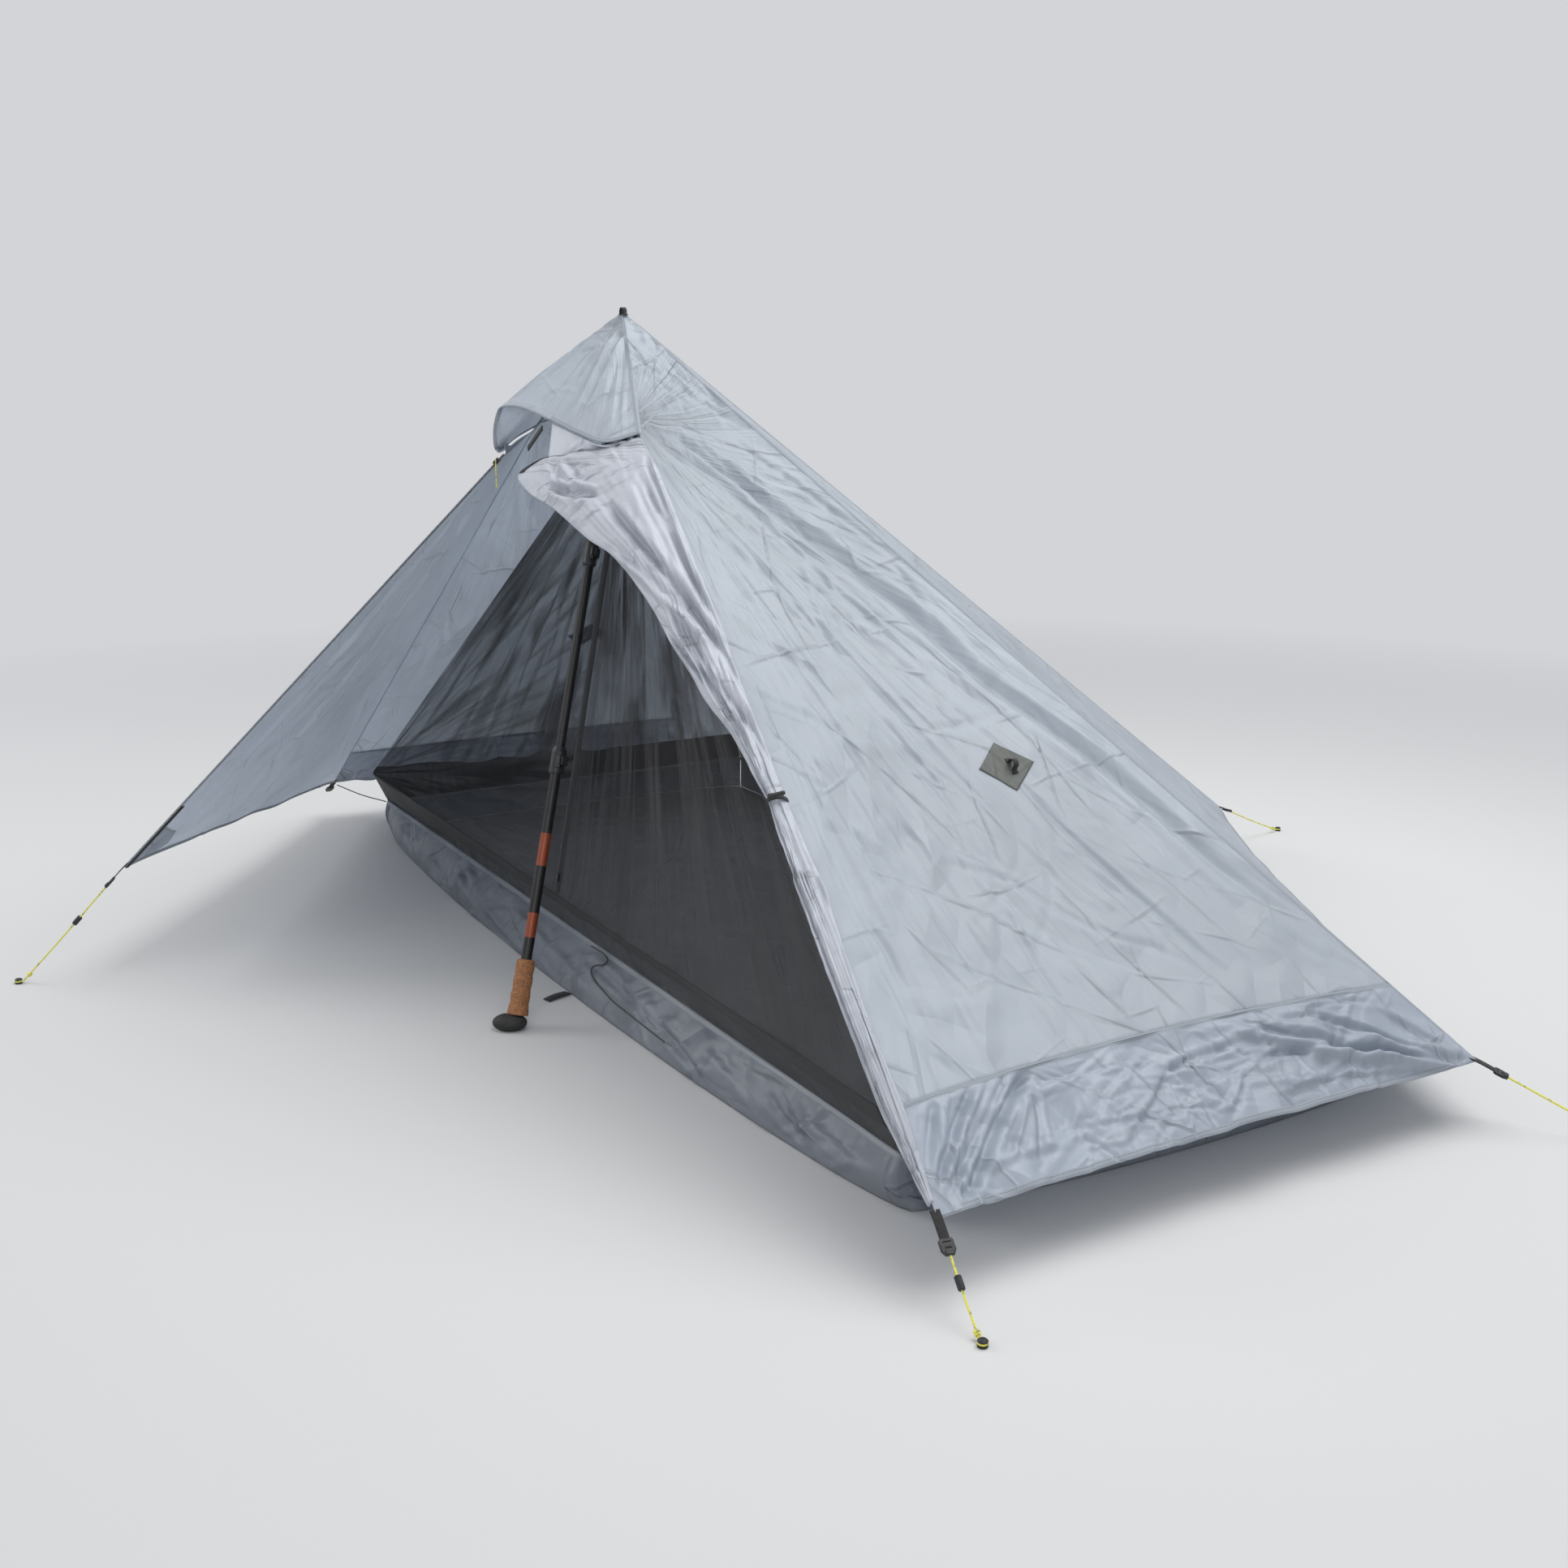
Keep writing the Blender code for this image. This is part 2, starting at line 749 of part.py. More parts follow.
def mesh_front():
    """The two halves of the mesh front beside their zip, and the dark sill under them."""
    foot, head = mesh_zip_line()
    beside = Vector((MESH_ZIP_HALF, 0, 0))
    for side, word in ((-1, "left"), (1, "right")):
        corner = at(side * SILL_END_X, SILL_TOP_Y, SILL_TOP_Z)
        inner_top = head + beside * side
        panel(
            f"mesh_front_{word}",
            [inner_edge(corner, 0.045), corner],
            [inner_top, foot + beside * side],
            (8,),
            9,
            net(),
            sag=0.016,
            folds=net_droop,
            trim=(0.0, SEAM / 2),
        )
    sill_top = [at(-SILL_END_X, SILL_TOP_Y, SILL_TOP_Z), at(SILL_END_X, SILL_TOP_Y, SILL_TOP_Z)]
    sill_foot = [at(-SILL_END_X, SILL_FOOT_Y, TUB_WALL_Z), at(SILL_END_X, SILL_FOOT_Y, TUB_WALL_Z)]
    panel(
        "mesh_sill",
        [sill_top[0], sill_foot[0]],
        [sill_top[1], sill_foot[1]],
        (2,),
        14,
        net(),
        trim=(0.0003, 0.0011),
    )


def mesh_sides():
    """The two mesh ends and the mesh back, which close the inner above its tub."""
    lift = Vector((0, 0, 0.0011))
    back_z = Vector((0, 0, TUB_WALL_Z))
    for side, word in ((-1, "left"), (1, "right")):
        front_top = at(side * TUB_HALF_X, SILL_TOP_Y, SILL_TOP_Z)
        front_foot = at(side * TUB_HALF_X, SILL_FOOT_Y, TUB_WALL_Z) + lift
        back_foot = at(side * TUB_HALF_X, TUB_HALF_Y, 0) + back_z + lift
        back_top = at_height(INNER_PEAK, back_foot, SILL_TOP_Z)
        panel(
            f"mesh_{word}_end",
            [inner_edge(front_top), front_top, front_foot],
            [inner_edge(back_foot), back_top, back_foot],
            (7, 1),
            7,
            net(),
            sag=0.016,
        )
    left_foot = at(-TUB_HALF_X, TUB_HALF_Y, 0) + back_z + lift
    right_foot = at(TUB_HALF_X, TUB_HALF_Y, 0) + back_z + lift
    panel(
        "mesh_back",
        [inner_edge(left_foot), left_foot],
        [inner_edge(right_foot), right_foot],
        (7,),
        10,
        net(),
        sag=0.020,
    )


def zip_section(tape_low, tape_high, tape_half, coil_half_width, coil_half_height):
    """A zip's section as (across, up): a thin tape with its coil at across 0."""
    w, h, t = coil_half_width, coil_half_height, tape_half
    outline = []
    if tape_low < -w:
        outline += [(tape_low, t), (tape_low, -t), (-w, -t)]
    outline += [(-w, -h), (w, -h)]
    outline += [(w, -t), (tape_high, -t), (tape_high, t), (w, t), (w, h), (-w, h)]
    if tape_low < -w:
        outline.append((-w, t))
    return outline


def strip(name, section, ends, across, up, paint, folder=PARTS):
    """A straight piece of constant section between two end points."""
    rings = [[end + across * a + up * b for a, b in section] for end in ends]
    count = len(section)
    points = rings[0] + rings[1]
    faces = [(c, (c + 1) % count, count + (c + 1) % count, count + c) for c in range(count)]
    faces.append(tuple(reversed(range(count))))
    faces.append(tuple(range(count, 2 * count)))
    item = mesh_object(name, points, faces, paint, folder, smooth=False)
    turn_outward(item)
    return item


def turn_outward(item):
    """Turns a closed mesh right side out."""
    work = bmesh.new()
    work.from_mesh(item.data)
    bmesh.ops.recalc_face_normals(work, faces=work.faces)
    work.to_mesh(item.data)
    work.free()


def channel_section(half_width, gap_half, low, high, gap_high):
    """A slider's U section that straddles a coil from above."""
    return [
        (-half_width, low),
        (-gap_half, low),
        (-gap_half, gap_high),
        (gap_half, gap_high),
        (gap_half, low),
        (half_width, low),
        (half_width, high),
        (-half_width, high),
    ]


def slider(name, place, section, length, paint):
    """A zip slider whose U section runs along local X, with its origin on the coil."""
    rings = []
    for end, squeeze in ((-0.5, 0.8), (-0.2, 1.0), (0.3, 1.0), (0.5, 0.86)):
        top = max(b for _, b in section)
        rings.append([Vector((end * length, a, b if b < top else top * squeeze)) for a, b in section])
    count = len(section)
    points = [p for ring in rings for p in ring]
    faces = [
        (r * count + c, r * count + (c + 1) % count, (r + 1) * count + (c + 1) % count, (r + 1) * count + c)
        for r in range(len(rings) - 1)
        for c in range(count)
    ]
    faces.append(tuple(reversed(range(count))))
    faces.append(tuple(range((len(rings) - 1) * count, len(rings) * count)))
    item = mesh_object(name, points, faces, paint, smooth=False)
    turn_outward(item)
    item.matrix_world = place
    return item


def place_axes(origin, x, z):
    """A placement from its X and Z directions."""
    x = x.normalized()
    z = (z - x * z.dot(x)).normalized()
    turn = Matrix((x, z.cross(x), z)).transposed().to_4x4()
    return Matrix.Translation(origin) @ turn


DOOR_SLIDER_FROM_TOP = 0.022
ZIP_PULL_LENGTH = 0.046
BAIL_REACH = 0.0045  # how far the slider's wire stands off, for the pull to hang from


def door_zip():
    """The zip tape down the left door's free edge, its slider and the cord that pulls it."""
    along, into = door_axes()
    normal = along.cross(into).normalized()
    if normal.y > 0:
        normal.negate()
    section = zip_section(-0.0016, ZIP_TAPE - 0.0006 + SEAM, 0.0005, 0.0016, 0.0013)
    start_point = ZIP_TOP + along * 0.004
    end_point = DOOR_TIP - along * 0.004
    strip("door_zip", section, (start_point, end_point), into, normal, webbing())
    spot = ZIP_TOP + along * DOOR_SLIDER_FROM_TOP
    place = place_axes(spot, into.cross(normal), normal)
    clasp = [(-b, a) for a, b in channel_section(0.0034, 0.0018, -0.0040, 0.0030, 0.0020)]
    body = slider("zip_slider", place, clasp, 0.013, hard_plastic())
    wire = -0.0030 - BAIL_REACH
    for number, x in enumerate((-0.0042, 0.0042)):
        leg_place = place @ Matrix.Translation((x, (wire - 0.0027) / 2, 0))
        leg = box(f"zip_bail_leg_{number}", (0.0010, -0.0027 - wire, 0.0012), leg_place, None, HELPERS)
        combine(body, leg, "UNION")
    bar_place = place @ Matrix.Translation((0, wire, 0))
    bar = box("zip_bail_bar", (0.0094, 0.0010, 0.0012), bar_place, None, HELPERS)
    combine(body, bar, "UNION")
    hang_the_pull(place @ Vector((0, wire, 0)), along)


def hang_the_pull(pin, along):
    """A small ring round the slider's wire with its cord and bead hanging from it."""
    axis = Vector((along.x, along.y, 0)).normalized()
    ring_r, wire_r = 0.0030, 0.0007
    drop = Vector((0, 0, 0.0017 + wire_r - ring_r))
    bpy.ops.mesh.primitive_torus_add(
        major_segments=20, minor_segments=8, major_radius=ring_r, minor_radius=wire_r
    )
    ring = bpy.context.object
    ring.name = "zip_pull"
    ring.matrix_world = frame_on(pin + drop, axis, Vector((0, 0, 1)))
    keep(ring, yellow_cord())
    tail = -ZIP_PULL_LENGTH
    profile = [
        (0.0, -ring_r),
        (0.0010, -ring_r - 0.0002),
        (0.0010, tail * 0.62),
        (0.0026, tail * 0.68),
        (0.0029, tail * 0.74),
        (0.0022, tail * 0.80),
        (0.0011, tail * 0.83),
        (0.0010, tail),
        (0.0, tail - 0.0004),
    ]
    cord = turned("zip_pull_cord", profile, Matrix.Translation(pin + drop), None, 12, HELPERS)
    combine(ring, cord, "UNION")


def mesh_zip():
    """The straight zip in the mesh front with its slider."""
    foot, head = mesh_zip_line()
    along = (head - foot).normalized()
    across = Vector((1, 0, 0))
    across = (across - along * across.dot(along)).normalized()
    normal = along.cross(across)
    if normal.y > 0:
        normal.negate()
    half = 0.0125
    section = zip_section(-half + SEAM, half - SEAM, 0.0005, 0.0026, 0.0013)
    strip("mesh_zip", section, (foot + along * 0.002, head - along * 0.004), across, normal, webbing())
    clasp = channel_section(0.0050, 0.0031, 0.0009, 0.0042, 0.0018)
    place = place_axes(foot + along * 0.030, along, normal)
    slider("mesh_slider", place, clasp, 0.014, hard_plastic())


# Straps, loops and patches


def webbing_loop(name, place, inner_half, inner_height, width, thickness, paint):
    """A standing loop of flat webbing with a foot on each side, open along local Y."""
    outer = [(-inner_half - thickness - 0.006, 0.0), (-inner_half - thickness - 0.006, thickness)]
    outer.append((-inner_half - thickness, thickness))
    arch_high = inner_height - inner_half
    for step in range(9):
        turn = math.pi - math.pi * step / 8
        reach = inner_half + thickness
        outer.append((reach * math.cos(turn), arch_high + reach * math.sin(turn)))
    outer += [(inner_half + thickness, thickness), (inner_half + thickness + 0.006, thickness)]
    outer.append((inner_half + thickness + 0.006, 0.0))
    inner = [(inner_half, 0.0)] if arch_high > 0 else []
    for step in range(9):
        turn = math.pi * step / 8
        inner.append((inner_half * math.cos(turn), arch_high + inner_half * math.sin(turn)))
    inner.append((-inner_half, 0.0))
    outline = outer + inner
    half = width / 2
    points = [Vector((x, -half, z)) for x, z in outline] + [Vector((x, half, z)) for x, z in outline]
    count = len(outline)
    faces = [(c, (c + 1) % count, count + (c + 1) % count, count + c) for c in range(count)]
    faces.append(tuple(reversed(range(count))))
    faces.append(tuple(range(count, 2 * count)))
    item = mesh_object(name, points, faces, paint, smooth=False)
    turn_outward(item)
    item.matrix_world = place
    return item


def peak_pieces():
    """The loop on top of the fly, and the capped strap that hangs the inner from the peak."""
    top = PEAK + Vector((0, 0, -0.0048))
    webbing_loop("apex_loop", Matrix.Translation(top), 0.0055, 0.0120, 0.0090, 0.0014, webbing())
    corners = [
        (at(-SILL_END_X, SILL_TOP_Y, SILL_TOP_Z), (-0.0015, -0.0040, 0.0020)),
        (mesh_zip_line()[0], (0.0, -0.0052, 0.0015)),
        (at(SILL_END_X, SILL_TOP_Y, SILL_TOP_Z), (0.0015, -0.0040, 0.0020)),
        (at(TUB_HALF_X, TUB_HALF_Y, TUB_WALL_Z), (0.0015, 0.0010, 0.0045)),
        (at(-TUB_HALF_X, TUB_HALF_Y, TUB_WALL_Z), (-0.0015, 0.0010, 0.0045)),
    ]
    points = [INNER_PEAK + Vector((0, -0.001, 0.006))]
    points += [inner_edge(corner, 0.062) + Vector(shift) for corner, shift in corners]
    faces = [(0, 1 + n, 1 + (n + 1) % 5) for n in range(5)]
    cap = mesh_object("peak_strap", points, faces, webbing(), smooth=False)
    turn_panel_up(cap)
    thicken(cap)
    foot = INNER_PEAK + Vector((0.0, 0.0006, 0.0050))
    hook = PEAK + Vector((0.0008, 0.0270, -0.0275))
    half = 0.0050
    section = [(-half, -0.0006), (half, -0.0006), (half, 0.0006), (-half, 0.0006)]
    along = (hook - foot).normalized()
    across = Vector((1, 0, 0))
    across = (across - along * along.dot(across)).normalized()
    band = strip("peak_strap_band", section, (foot, hook), across, along.cross(across), None, HELPERS)
    combine(cap, band, "UNION")


def turn_panel_up(item):
    """Turns an open surface's faces upward."""
    for face in item.data.polygons:
        if face.normal.z < 0:
            face.flip()


# The guy-out's corners on the upper end panel, as shares across and down it: top, back, bottom, front
GUYOUT_CORNERS = ((0.680, 0.670), (0.735, 0.700), (0.627, 0.730), (0.575, 0.700))
GUYOUT_LOOP = (0.668, 0.701)


def guyouts():
    """A reinforced loop on each end panel for one more guyline."""
    steps = 6
    for side, word in ((1, "right"), (-1, "left")):
        cloth = bpy.data.objects[f"fly_{word}_upper"]
        points = []
        top, back, bottom, front = [Vector(corner) for corner in GUYOUT_CORNERS]
        for s in [i / steps for i in range(steps + 1)]:
            for t in [i / steps for i in range(steps + 1)]:
                across, down = top.lerp(back, s).lerp(front.lerp(bottom, s), t)
                spot, normal = surface_point(cloth, across, down)
                points.append(spot + normal * (CLOTH / 2 + 0.0010))
        wide = steps + 1
        faces = [
            (r * wide + c, r * wide + c + 1, (r + 1) * wide + c + 1, (r + 1) * wide + c)
            for r in range(steps)
            for c in range(steps)
        ]
        plate = mesh_object(f"guyout_{word}", points, faces, patch_cloth())
        turn_panel_up(plate)
        thicken(plate)
        spot, normal = surface_point(cloth, *GUYOUT_LOOP)
        way = Vector((0, 1, 0)).cross(normal) * side
        place = place_axes(spot + normal * (CLOTH / 2 + 0.0011), way, normal)
        loop = webbing_loop(f"guyout_{word}_loop", place, 0.0065, 0.0110, 0.0100, 0.0014, None)
        keep(loop, None, HELPERS)
        combine(plate, loop, "UNION")


def surface_point(item, across, down):
    """The middle of an upper end panel's surface at a share across and down, with its outward normal."""
    points = [v.co for v in item.data.vertices]
    wide = UPPER_COLUMNS + 1
    row, column = down * UPPER_ROWS, across * UPPER_COLUMNS
    r, c = min(int(row), UPPER_ROWS - 1), min(int(column), UPPER_COLUMNS - 1)
    v, u = row - r, column - c
    a, b = points[r * wide + c], points[r * wide + c + 1]
    d, e = points[(r + 1) * wide + c], points[(r + 1) * wide + c + 1]
    here = a.lerp(b, u).lerp(d.lerp(e, u), v)
    normal = (b.lerp(e, v) - a.lerp(d, v)).cross(d.lerp(e, u) - a.lerp(b, u)).normalized()
    if normal.z < 0:
        normal.negate()
    return here, normal


def corner_directions():
    """Each corner tip with the way its guyline leaves it."""
    ways = {word: (tip, (foot - tip).normalized()) for word, (tip, foot) in ANCHORS.items()}
    for word, twin in (("front_left", "front_right"), ("back_left", "back_right")):
        tip, way = ways[twin]
        ways[word] = (mirrored(tip, -1), Vector((-way.x, way.y, way.z)))
    return ways


def buckles():
    """At each corner, a webbing tail with a line lock at its end."""
    for word, (tip, way) in corner_directions().items():
        up = Vector((0, 0, 1))
        strap_length = 0.026
        start_point = tip + way * 0.003
        strap_place = place_axes(start_point + way * strap_length / 2, way, up)
        strap = box(f"buckle_{word}", (strap_length, 0.014, 0.0020), strap_place, webbing())
        lock_length = BUCKLE_LENGTH - strap_length + 0.004
        lock_place = place_axes(start_point + way * (strap_length - 0.004 + lock_length / 2), way, up)
        lock = box(f"buckle_{word}_lock", (lock_length, 0.0170, 0.0062), lock_place, None, HELPERS, 0.0015)
        combine(strap, lock, "UNION")
        rib_place = lock_place @ Matrix.Translation((0.001, 0, 0.0031))
        groove = box(f"buckle_{word}_groove", (0.0035, 0.0100, 0.0030), rib_place, None, HELPERS)
        combine(strap, groove, "DIFFERENCE")


def anchor_top(foot, tip):
    """Where a guyline meets the side of its anchor's neck."""
    flat = Vector((tip.x - foot.x, tip.y - foot.y, 0)).normalized()
    return foot + flat * (ANCHOR_R + LINE_R + CLEAR) + Vector((0, 0, ANCHOR_HEIGHT * 0.45))


def guylines():
    """The four lines that show, with their ground anchors and two tensioners."""
    for word, (tip, foot) in ANCHORS.items():
        profile = [
            (0.0, ANCHOR_HEIGHT),
            (ANCHOR_R * 0.7, ANCHOR_HEIGHT * 0.97),
            (ANCHOR_R, ANCHOR_HEIGHT * 0.80),
            (ANCHOR_R, ANCHOR_HEIGHT * 0.68),
            (ANCHOR_R * 0.55, ANCHOR_HEIGHT * 0.62),
            (ANCHOR_R * 0.55, ANCHOR_HEIGHT * 0.30),
            (ANCHOR_R, ANCHOR_HEIGHT * 0.22),
            (ANCHOR_R, 0.0),
            (0.0, 0.0),
        ]
        turned(f"anchor_{word}", profile, Matrix.Translation(foot), hard_plastic(), 20)
        way = (foot - tip).normalized()
        begin = tip + way * (0.003 + BUCKLE_LENGTH + 0.0004)
        end = anchor_top(foot, tip)
        sag = Vector((0, 0, -0.0015))
        route = [begin, begin.lerp(end, 0.5) + sag, end]
        tube(f"guyline_{word}", smooth_route(route, 14), LINE_R, yellow_cord())
    for word, share in (("door", 0.36), ("front_right", 0.33)):
        tip, foot = ANCHORS[word]
        way = (foot - tip).normalized()
        begin = tip + way * (0.003 + BUCKLE_LENGTH + 0.0004)
        end = anchor_top(foot, tip)
        route = smooth_route([begin, begin.lerp(end, 0.5) + Vector((0, 0, -0.0015)), end], 41)
        spot = route[round(share * 40)]
        direction = (end - begin).normalized()
        place = frame_on(spot, direction, Vector((0, 0, 1)))
        half = TENSIONER_LENGTH / 2
        section = ring_profile(0.0046, LINE_R + 0.0011, -half, half, 0.0012)
        turned(f"tensioner_{word}", section, place, hard_plastic(), 16, closed=True)


def door_tieback():
    """The strap that holds the rolled door, with the toggle bar at its upper end."""
    ridge, outward, panel_out = roll_axes()
    seat, out, half = roll_section(TOGGLE_STATION)
    gap, thick = 0.0024, 0.0012
    path = []
    for step in range(14):
        t = 0.02 + 0.98 * step / 13
        path.append((seat(t) + out(t) * (roll_crown(t, half) + 0.0004), out(t)))
    way = (seat(1.0) - seat(0.7)).normalized()
    path.append((seat(1.0) + way * 0.0004 - out(1.0) * 0.0004, (way + out(1.0) * 0.3).normalized()))
    path.append((seat(1.0) - out(1.0) * 0.0020, (way - out(1.0) * 0.5).normalized()))
    for t in (0.90, 0.78, 0.66):
        path.append((seat(t) - out(t) * (roll_tuck(t, half) + 0.0006), -out(t)))
    points = []
    for shift in (-0.0035, 0.0035):
        for height in (gap, gap + thick):
            points += [spot + way_out * height + ridge * shift for spot, way_out in path]
    count = len(path)
    faces = []
    for a, b in ((0, 1), (1, 3), (3, 2), (2, 0)):
        for n in range(count - 1):
            faces.append((a * count + n, a * count + n + 1, b * count + n + 1, b * count + n))
    faces.append((0, count, 3 * count, 2 * count))
    faces.append((count - 1, 2 * count - 1, 4 * count - 1, 3 * count - 1))
    strap = mesh_object("toggle_strap", points, faces, webbing(), smooth=False)
    turn_outward(strap)
    t = 0.26
    pivot = seat(t) + out(t) * (roll_crown(t, half) + gap + thick + 0.0033 + 0.0030)
    place = frame_on(pivot, seat(t + 0.2) - seat(t - 0.2), out(t))
    bar = [
        (0.0, 0.0125),
        (0.0026, 0.0118),
        (0.0033, 0.009),
        (0.0028, 0.003),
        (0.0028, -0.003),
        (0.0033, -0.009),
        (0.0026, -0.0118),
        (0.0, -0.0125),
    ]
    turned("toggle_bar", bar, place, hard_plastic(), 14)


STRUT_FOOT = at(-0.046, -0.5045, 0.9290)
STRUT_HEAD = at(-0.008, -0.4925, 0.9650)


def vent_strut():
    """The stiff strip that props the hood's lip away from the doors, with its origin at its upper end."""
    way = STRUT_FOOT - STRUT_HEAD
    place = place_axes(STRUT_HEAD, way, Vector((0.0, -1.0, 0.4)))
    strut = box("vent_strut", (way.length, 0.0125, 0.0022), place, webbing())
    for vertex in strut.data.vertices:
        vertex.co.x += way.length / 2


def tie_and_tab():
    """The cord from the tub's far front corner to the fly, the tub's tab and the loose pull cord."""
    tub_corner = at(-TUB_HALF_X - 0.006, -TUB_HALF_Y - 0.008, TUB_WALL_Z - 0.004)
    fly_corner = mirrored(FRONT_CORNER, -1) + Vector((0.012, 0.004, -0.0045))
    middle = tub_corner.lerp(fly_corner, 0.5) + Vector((0, 0, -0.004))
    tube("corner_tie", smooth_route([tub_corner, middle, fly_corner], 14), 0.0012, black_cord())
    tab_root = at(0.128, tub_front_y(0.128) - 0.0042, 0.0024)
    tab_end = at(0.142, -0.580, 0.0016)
    way = tab_end - tab_root
    place = place_axes(tab_root + way / 2, way, Vector((0, 0, 1)))
    box("tub_tab", (way.length, 0.018, 0.0014), place, webbing())
    knots = [
        (0.130, 0.96),
        (0.178, 0.97),
        (0.205, 0.93),
        (0.205, 0.84),
        (0.186, 0.76),
        (0.184, 0.66),
        (0.212, 0.56),
        (0.258, 0.50),
        (0.300, 0.45),
        (0.360, 0.43),
        (0.425, 0.41),
        (0.490, 0.39),
    ]
    route = [tub_front_point(x, share) + Vector((0, -0.0095, 0.004)) for x, share in knots]
    tube("pull_cord", smooth_route(route, 60), 0.0014, black_cord(), 2)


# Trekking pole


def pole_place(distance):
    """The placement on the pole's axis this far from the ground, with X towards the levers."""
    way = (POLE_TOP - POLE_FOOT).normalized()
    return frame_on(POLE_FOOT + way * distance, way, Vector((0.75, -0.66, 0.0)))


def pole_length():
    return (POLE_TOP - POLE_FOOT).length


def grip():
    """The cork grip round the shaft and its rubber head, which stands on the ground."""
    bore = GRIP_SHAFT_R + CLEAR
    outer = [
        (0.0125, CORK_TO),
        (0.0150, CORK_TO - 0.003),
        (0.0158, CORK_TO - 0.012),
        (0.0148, CORK_TO - 0.024),
        (0.0160, CORK_TO - 0.036),
        (0.0150, CORK_TO - 0.048),
        (0.0163, CORK_TO - 0.060),
        (0.0155, CORK_TO - 0.072),
        (0.0172, CORK_TO - 0.084),
        (0.0176, CORK_FROM + 0.003),
        (0.0170, CORK_FROM),
    ]
    turned("cork_grip", outer + [(bore, CORK_FROM), (bore, CORK_TO)], pole_place(0), cork(), 24, closed=True)
    head_place = Matrix.Translation(POLE_FOOT) @ Matrix.Rotation(math.radians(58), 4, "Z")
    bpy.ops.mesh.primitive_uv_sphere_add(segments=24, ring_count=14, radius=1.0)
    head = bpy.context.object
    head.name = "grip_head"
    for vertex in head.data.vertices:
        x, y, z = vertex.co
        vertex.co = Vector((x * 0.0290, y * 0.0195, z * 0.0150))
    head.data.shade_smooth()
    head.matrix_world = head_place @ Matrix.Translation((-0.0085, 0.0, 0.0122))
    keep(head, grip_rubber())
    below = head_place @ Matrix.Translation((0, 0, -0.05))
    slab = box("grip_head_floor", (0.2, 0.2, 0.1), below, None, HELPERS)
    combine(head, slab, "DIFFERENCE")
    seat = turned(
        "grip_head_seat",
        [(0.0, 0.2), (0.030, 0.2), (0.030, CORK_FROM - CLEAR), (0.0, CORK_FROM - CLEAR)],
        pole_place(0),
        None,
        24,
        HELPERS,
    )
    combine(head, seat, "DIFFERENCE")


def shafts():
    """Three tubes that slide into each other, the last one with its tip."""
    lock_top = LOCK_LENGTH / 2
    low_end = LOWER_LOCK_AT + lock_top - 0.002
    turned(
        "grip_shaft",
        ring_profile(GRIP_SHAFT_R, GRIP_SHAFT_R - SHAFT_WALL, CORK_FROM + 0.001, low_end, 0.0002),
        pole_place(0),
        shaft_metal(),
        20,
        closed=True,
    )
    upper_end = UPPER_LOCK_AT + lock_top - 0.002
    turned(
        "middle_shaft",
        ring_profile(MIDDLE_SHAFT_R, MIDDLE_SHAFT_R - SHAFT_WALL, LOWER_LOCK_AT - 0.085, upper_end, 0.0002),
        pole_place(0),
        shaft_metal(),
        20,
        closed=True,
    )
    end = pole_length() - 0.014
    profile = [
        (0.0, end),
        (0.0016, end),
        (0.0028, end - 0.012),
        (0.0050, end - 0.016),
        (0.0062, end - 0.046),
        (TIP_SHAFT_R, end - 0.050),
        (TIP_SHAFT_R, UPPER_LOCK_AT - 0.090),
        (TIP_SHAFT_R - SHAFT_WALL, UPPER_LOCK_AT - 0.090),
        (TIP_SHAFT_R - SHAFT_WALL, end - 0.052),
        (0.0, end - 0.056),
    ]
    turned("tip_shaft", profile, pole_place(0), shaft_metal(), 20)


def flip_lock(word, distance, shaft_r):
    """A clamp round a joint of the pole with two ears, a pin and the cam lever that turns on it."""
    place = pole_place(distance)
    half = LOCK_LENGTH / 2
    shell = 0.0032
    collar_r = GRIP_SHAFT_R + CLEAR + shell if shaft_r == MIDDLE_SHAFT_R else MIDDLE_SHAFT_R + CLEAR + shell
    lower_bore = collar_r - shell
    upper_bore = shaft_r + CLEAR
    step_z = half - 0.0015
    section = [
        (upper_bore + 0.0018, half),
        (collar_r - 0.0006, half - 0.007),
        (collar_r, half - 0.009),
        (collar_r, -half + 0.003),
        (collar_r - 0.0012, -half),
        (lower_bore, -half),
        (lower_bore, step_z),
        (upper_bore, step_z),
        (upper_bore, half),
    ]
    clamp = turned(f"{word}_clamp", section, place, hard_plastic(), 24, closed=True)
    pivot_x, pivot_y = collar_r + 0.0030, 0.0070
    for name, z in (("upper_ear", 0.0105), ("lower_ear", -0.0105)):
        ear_in, ear_out = collar_r - 0.0016, pivot_x + 0.0030
        ear_place = place @ Matrix.Translation(((ear_in + ear_out) / 2, pivot_y - 0.0010, z))
        ear = box(f"{word}_{name}", (ear_out - ear_in, 0.0080, 0.0050), ear_place, None, HELPERS)
        combine(clamp, ear, "UNION")
    pin_profile = [(0.0, 0.0095), (0.0013, 0.0095), (0.0013, -0.0095), (0.0, -0.0095)]
    pivot = place @ Matrix.Translation((pivot_x, pivot_y, 0))
    combine(clamp, turned(f"{word}_pin", pin_profile, pivot, None, 16, HELPERS), "UNION")
    lever_at(word, collar_r, pivot, pivot_x, pivot_y)


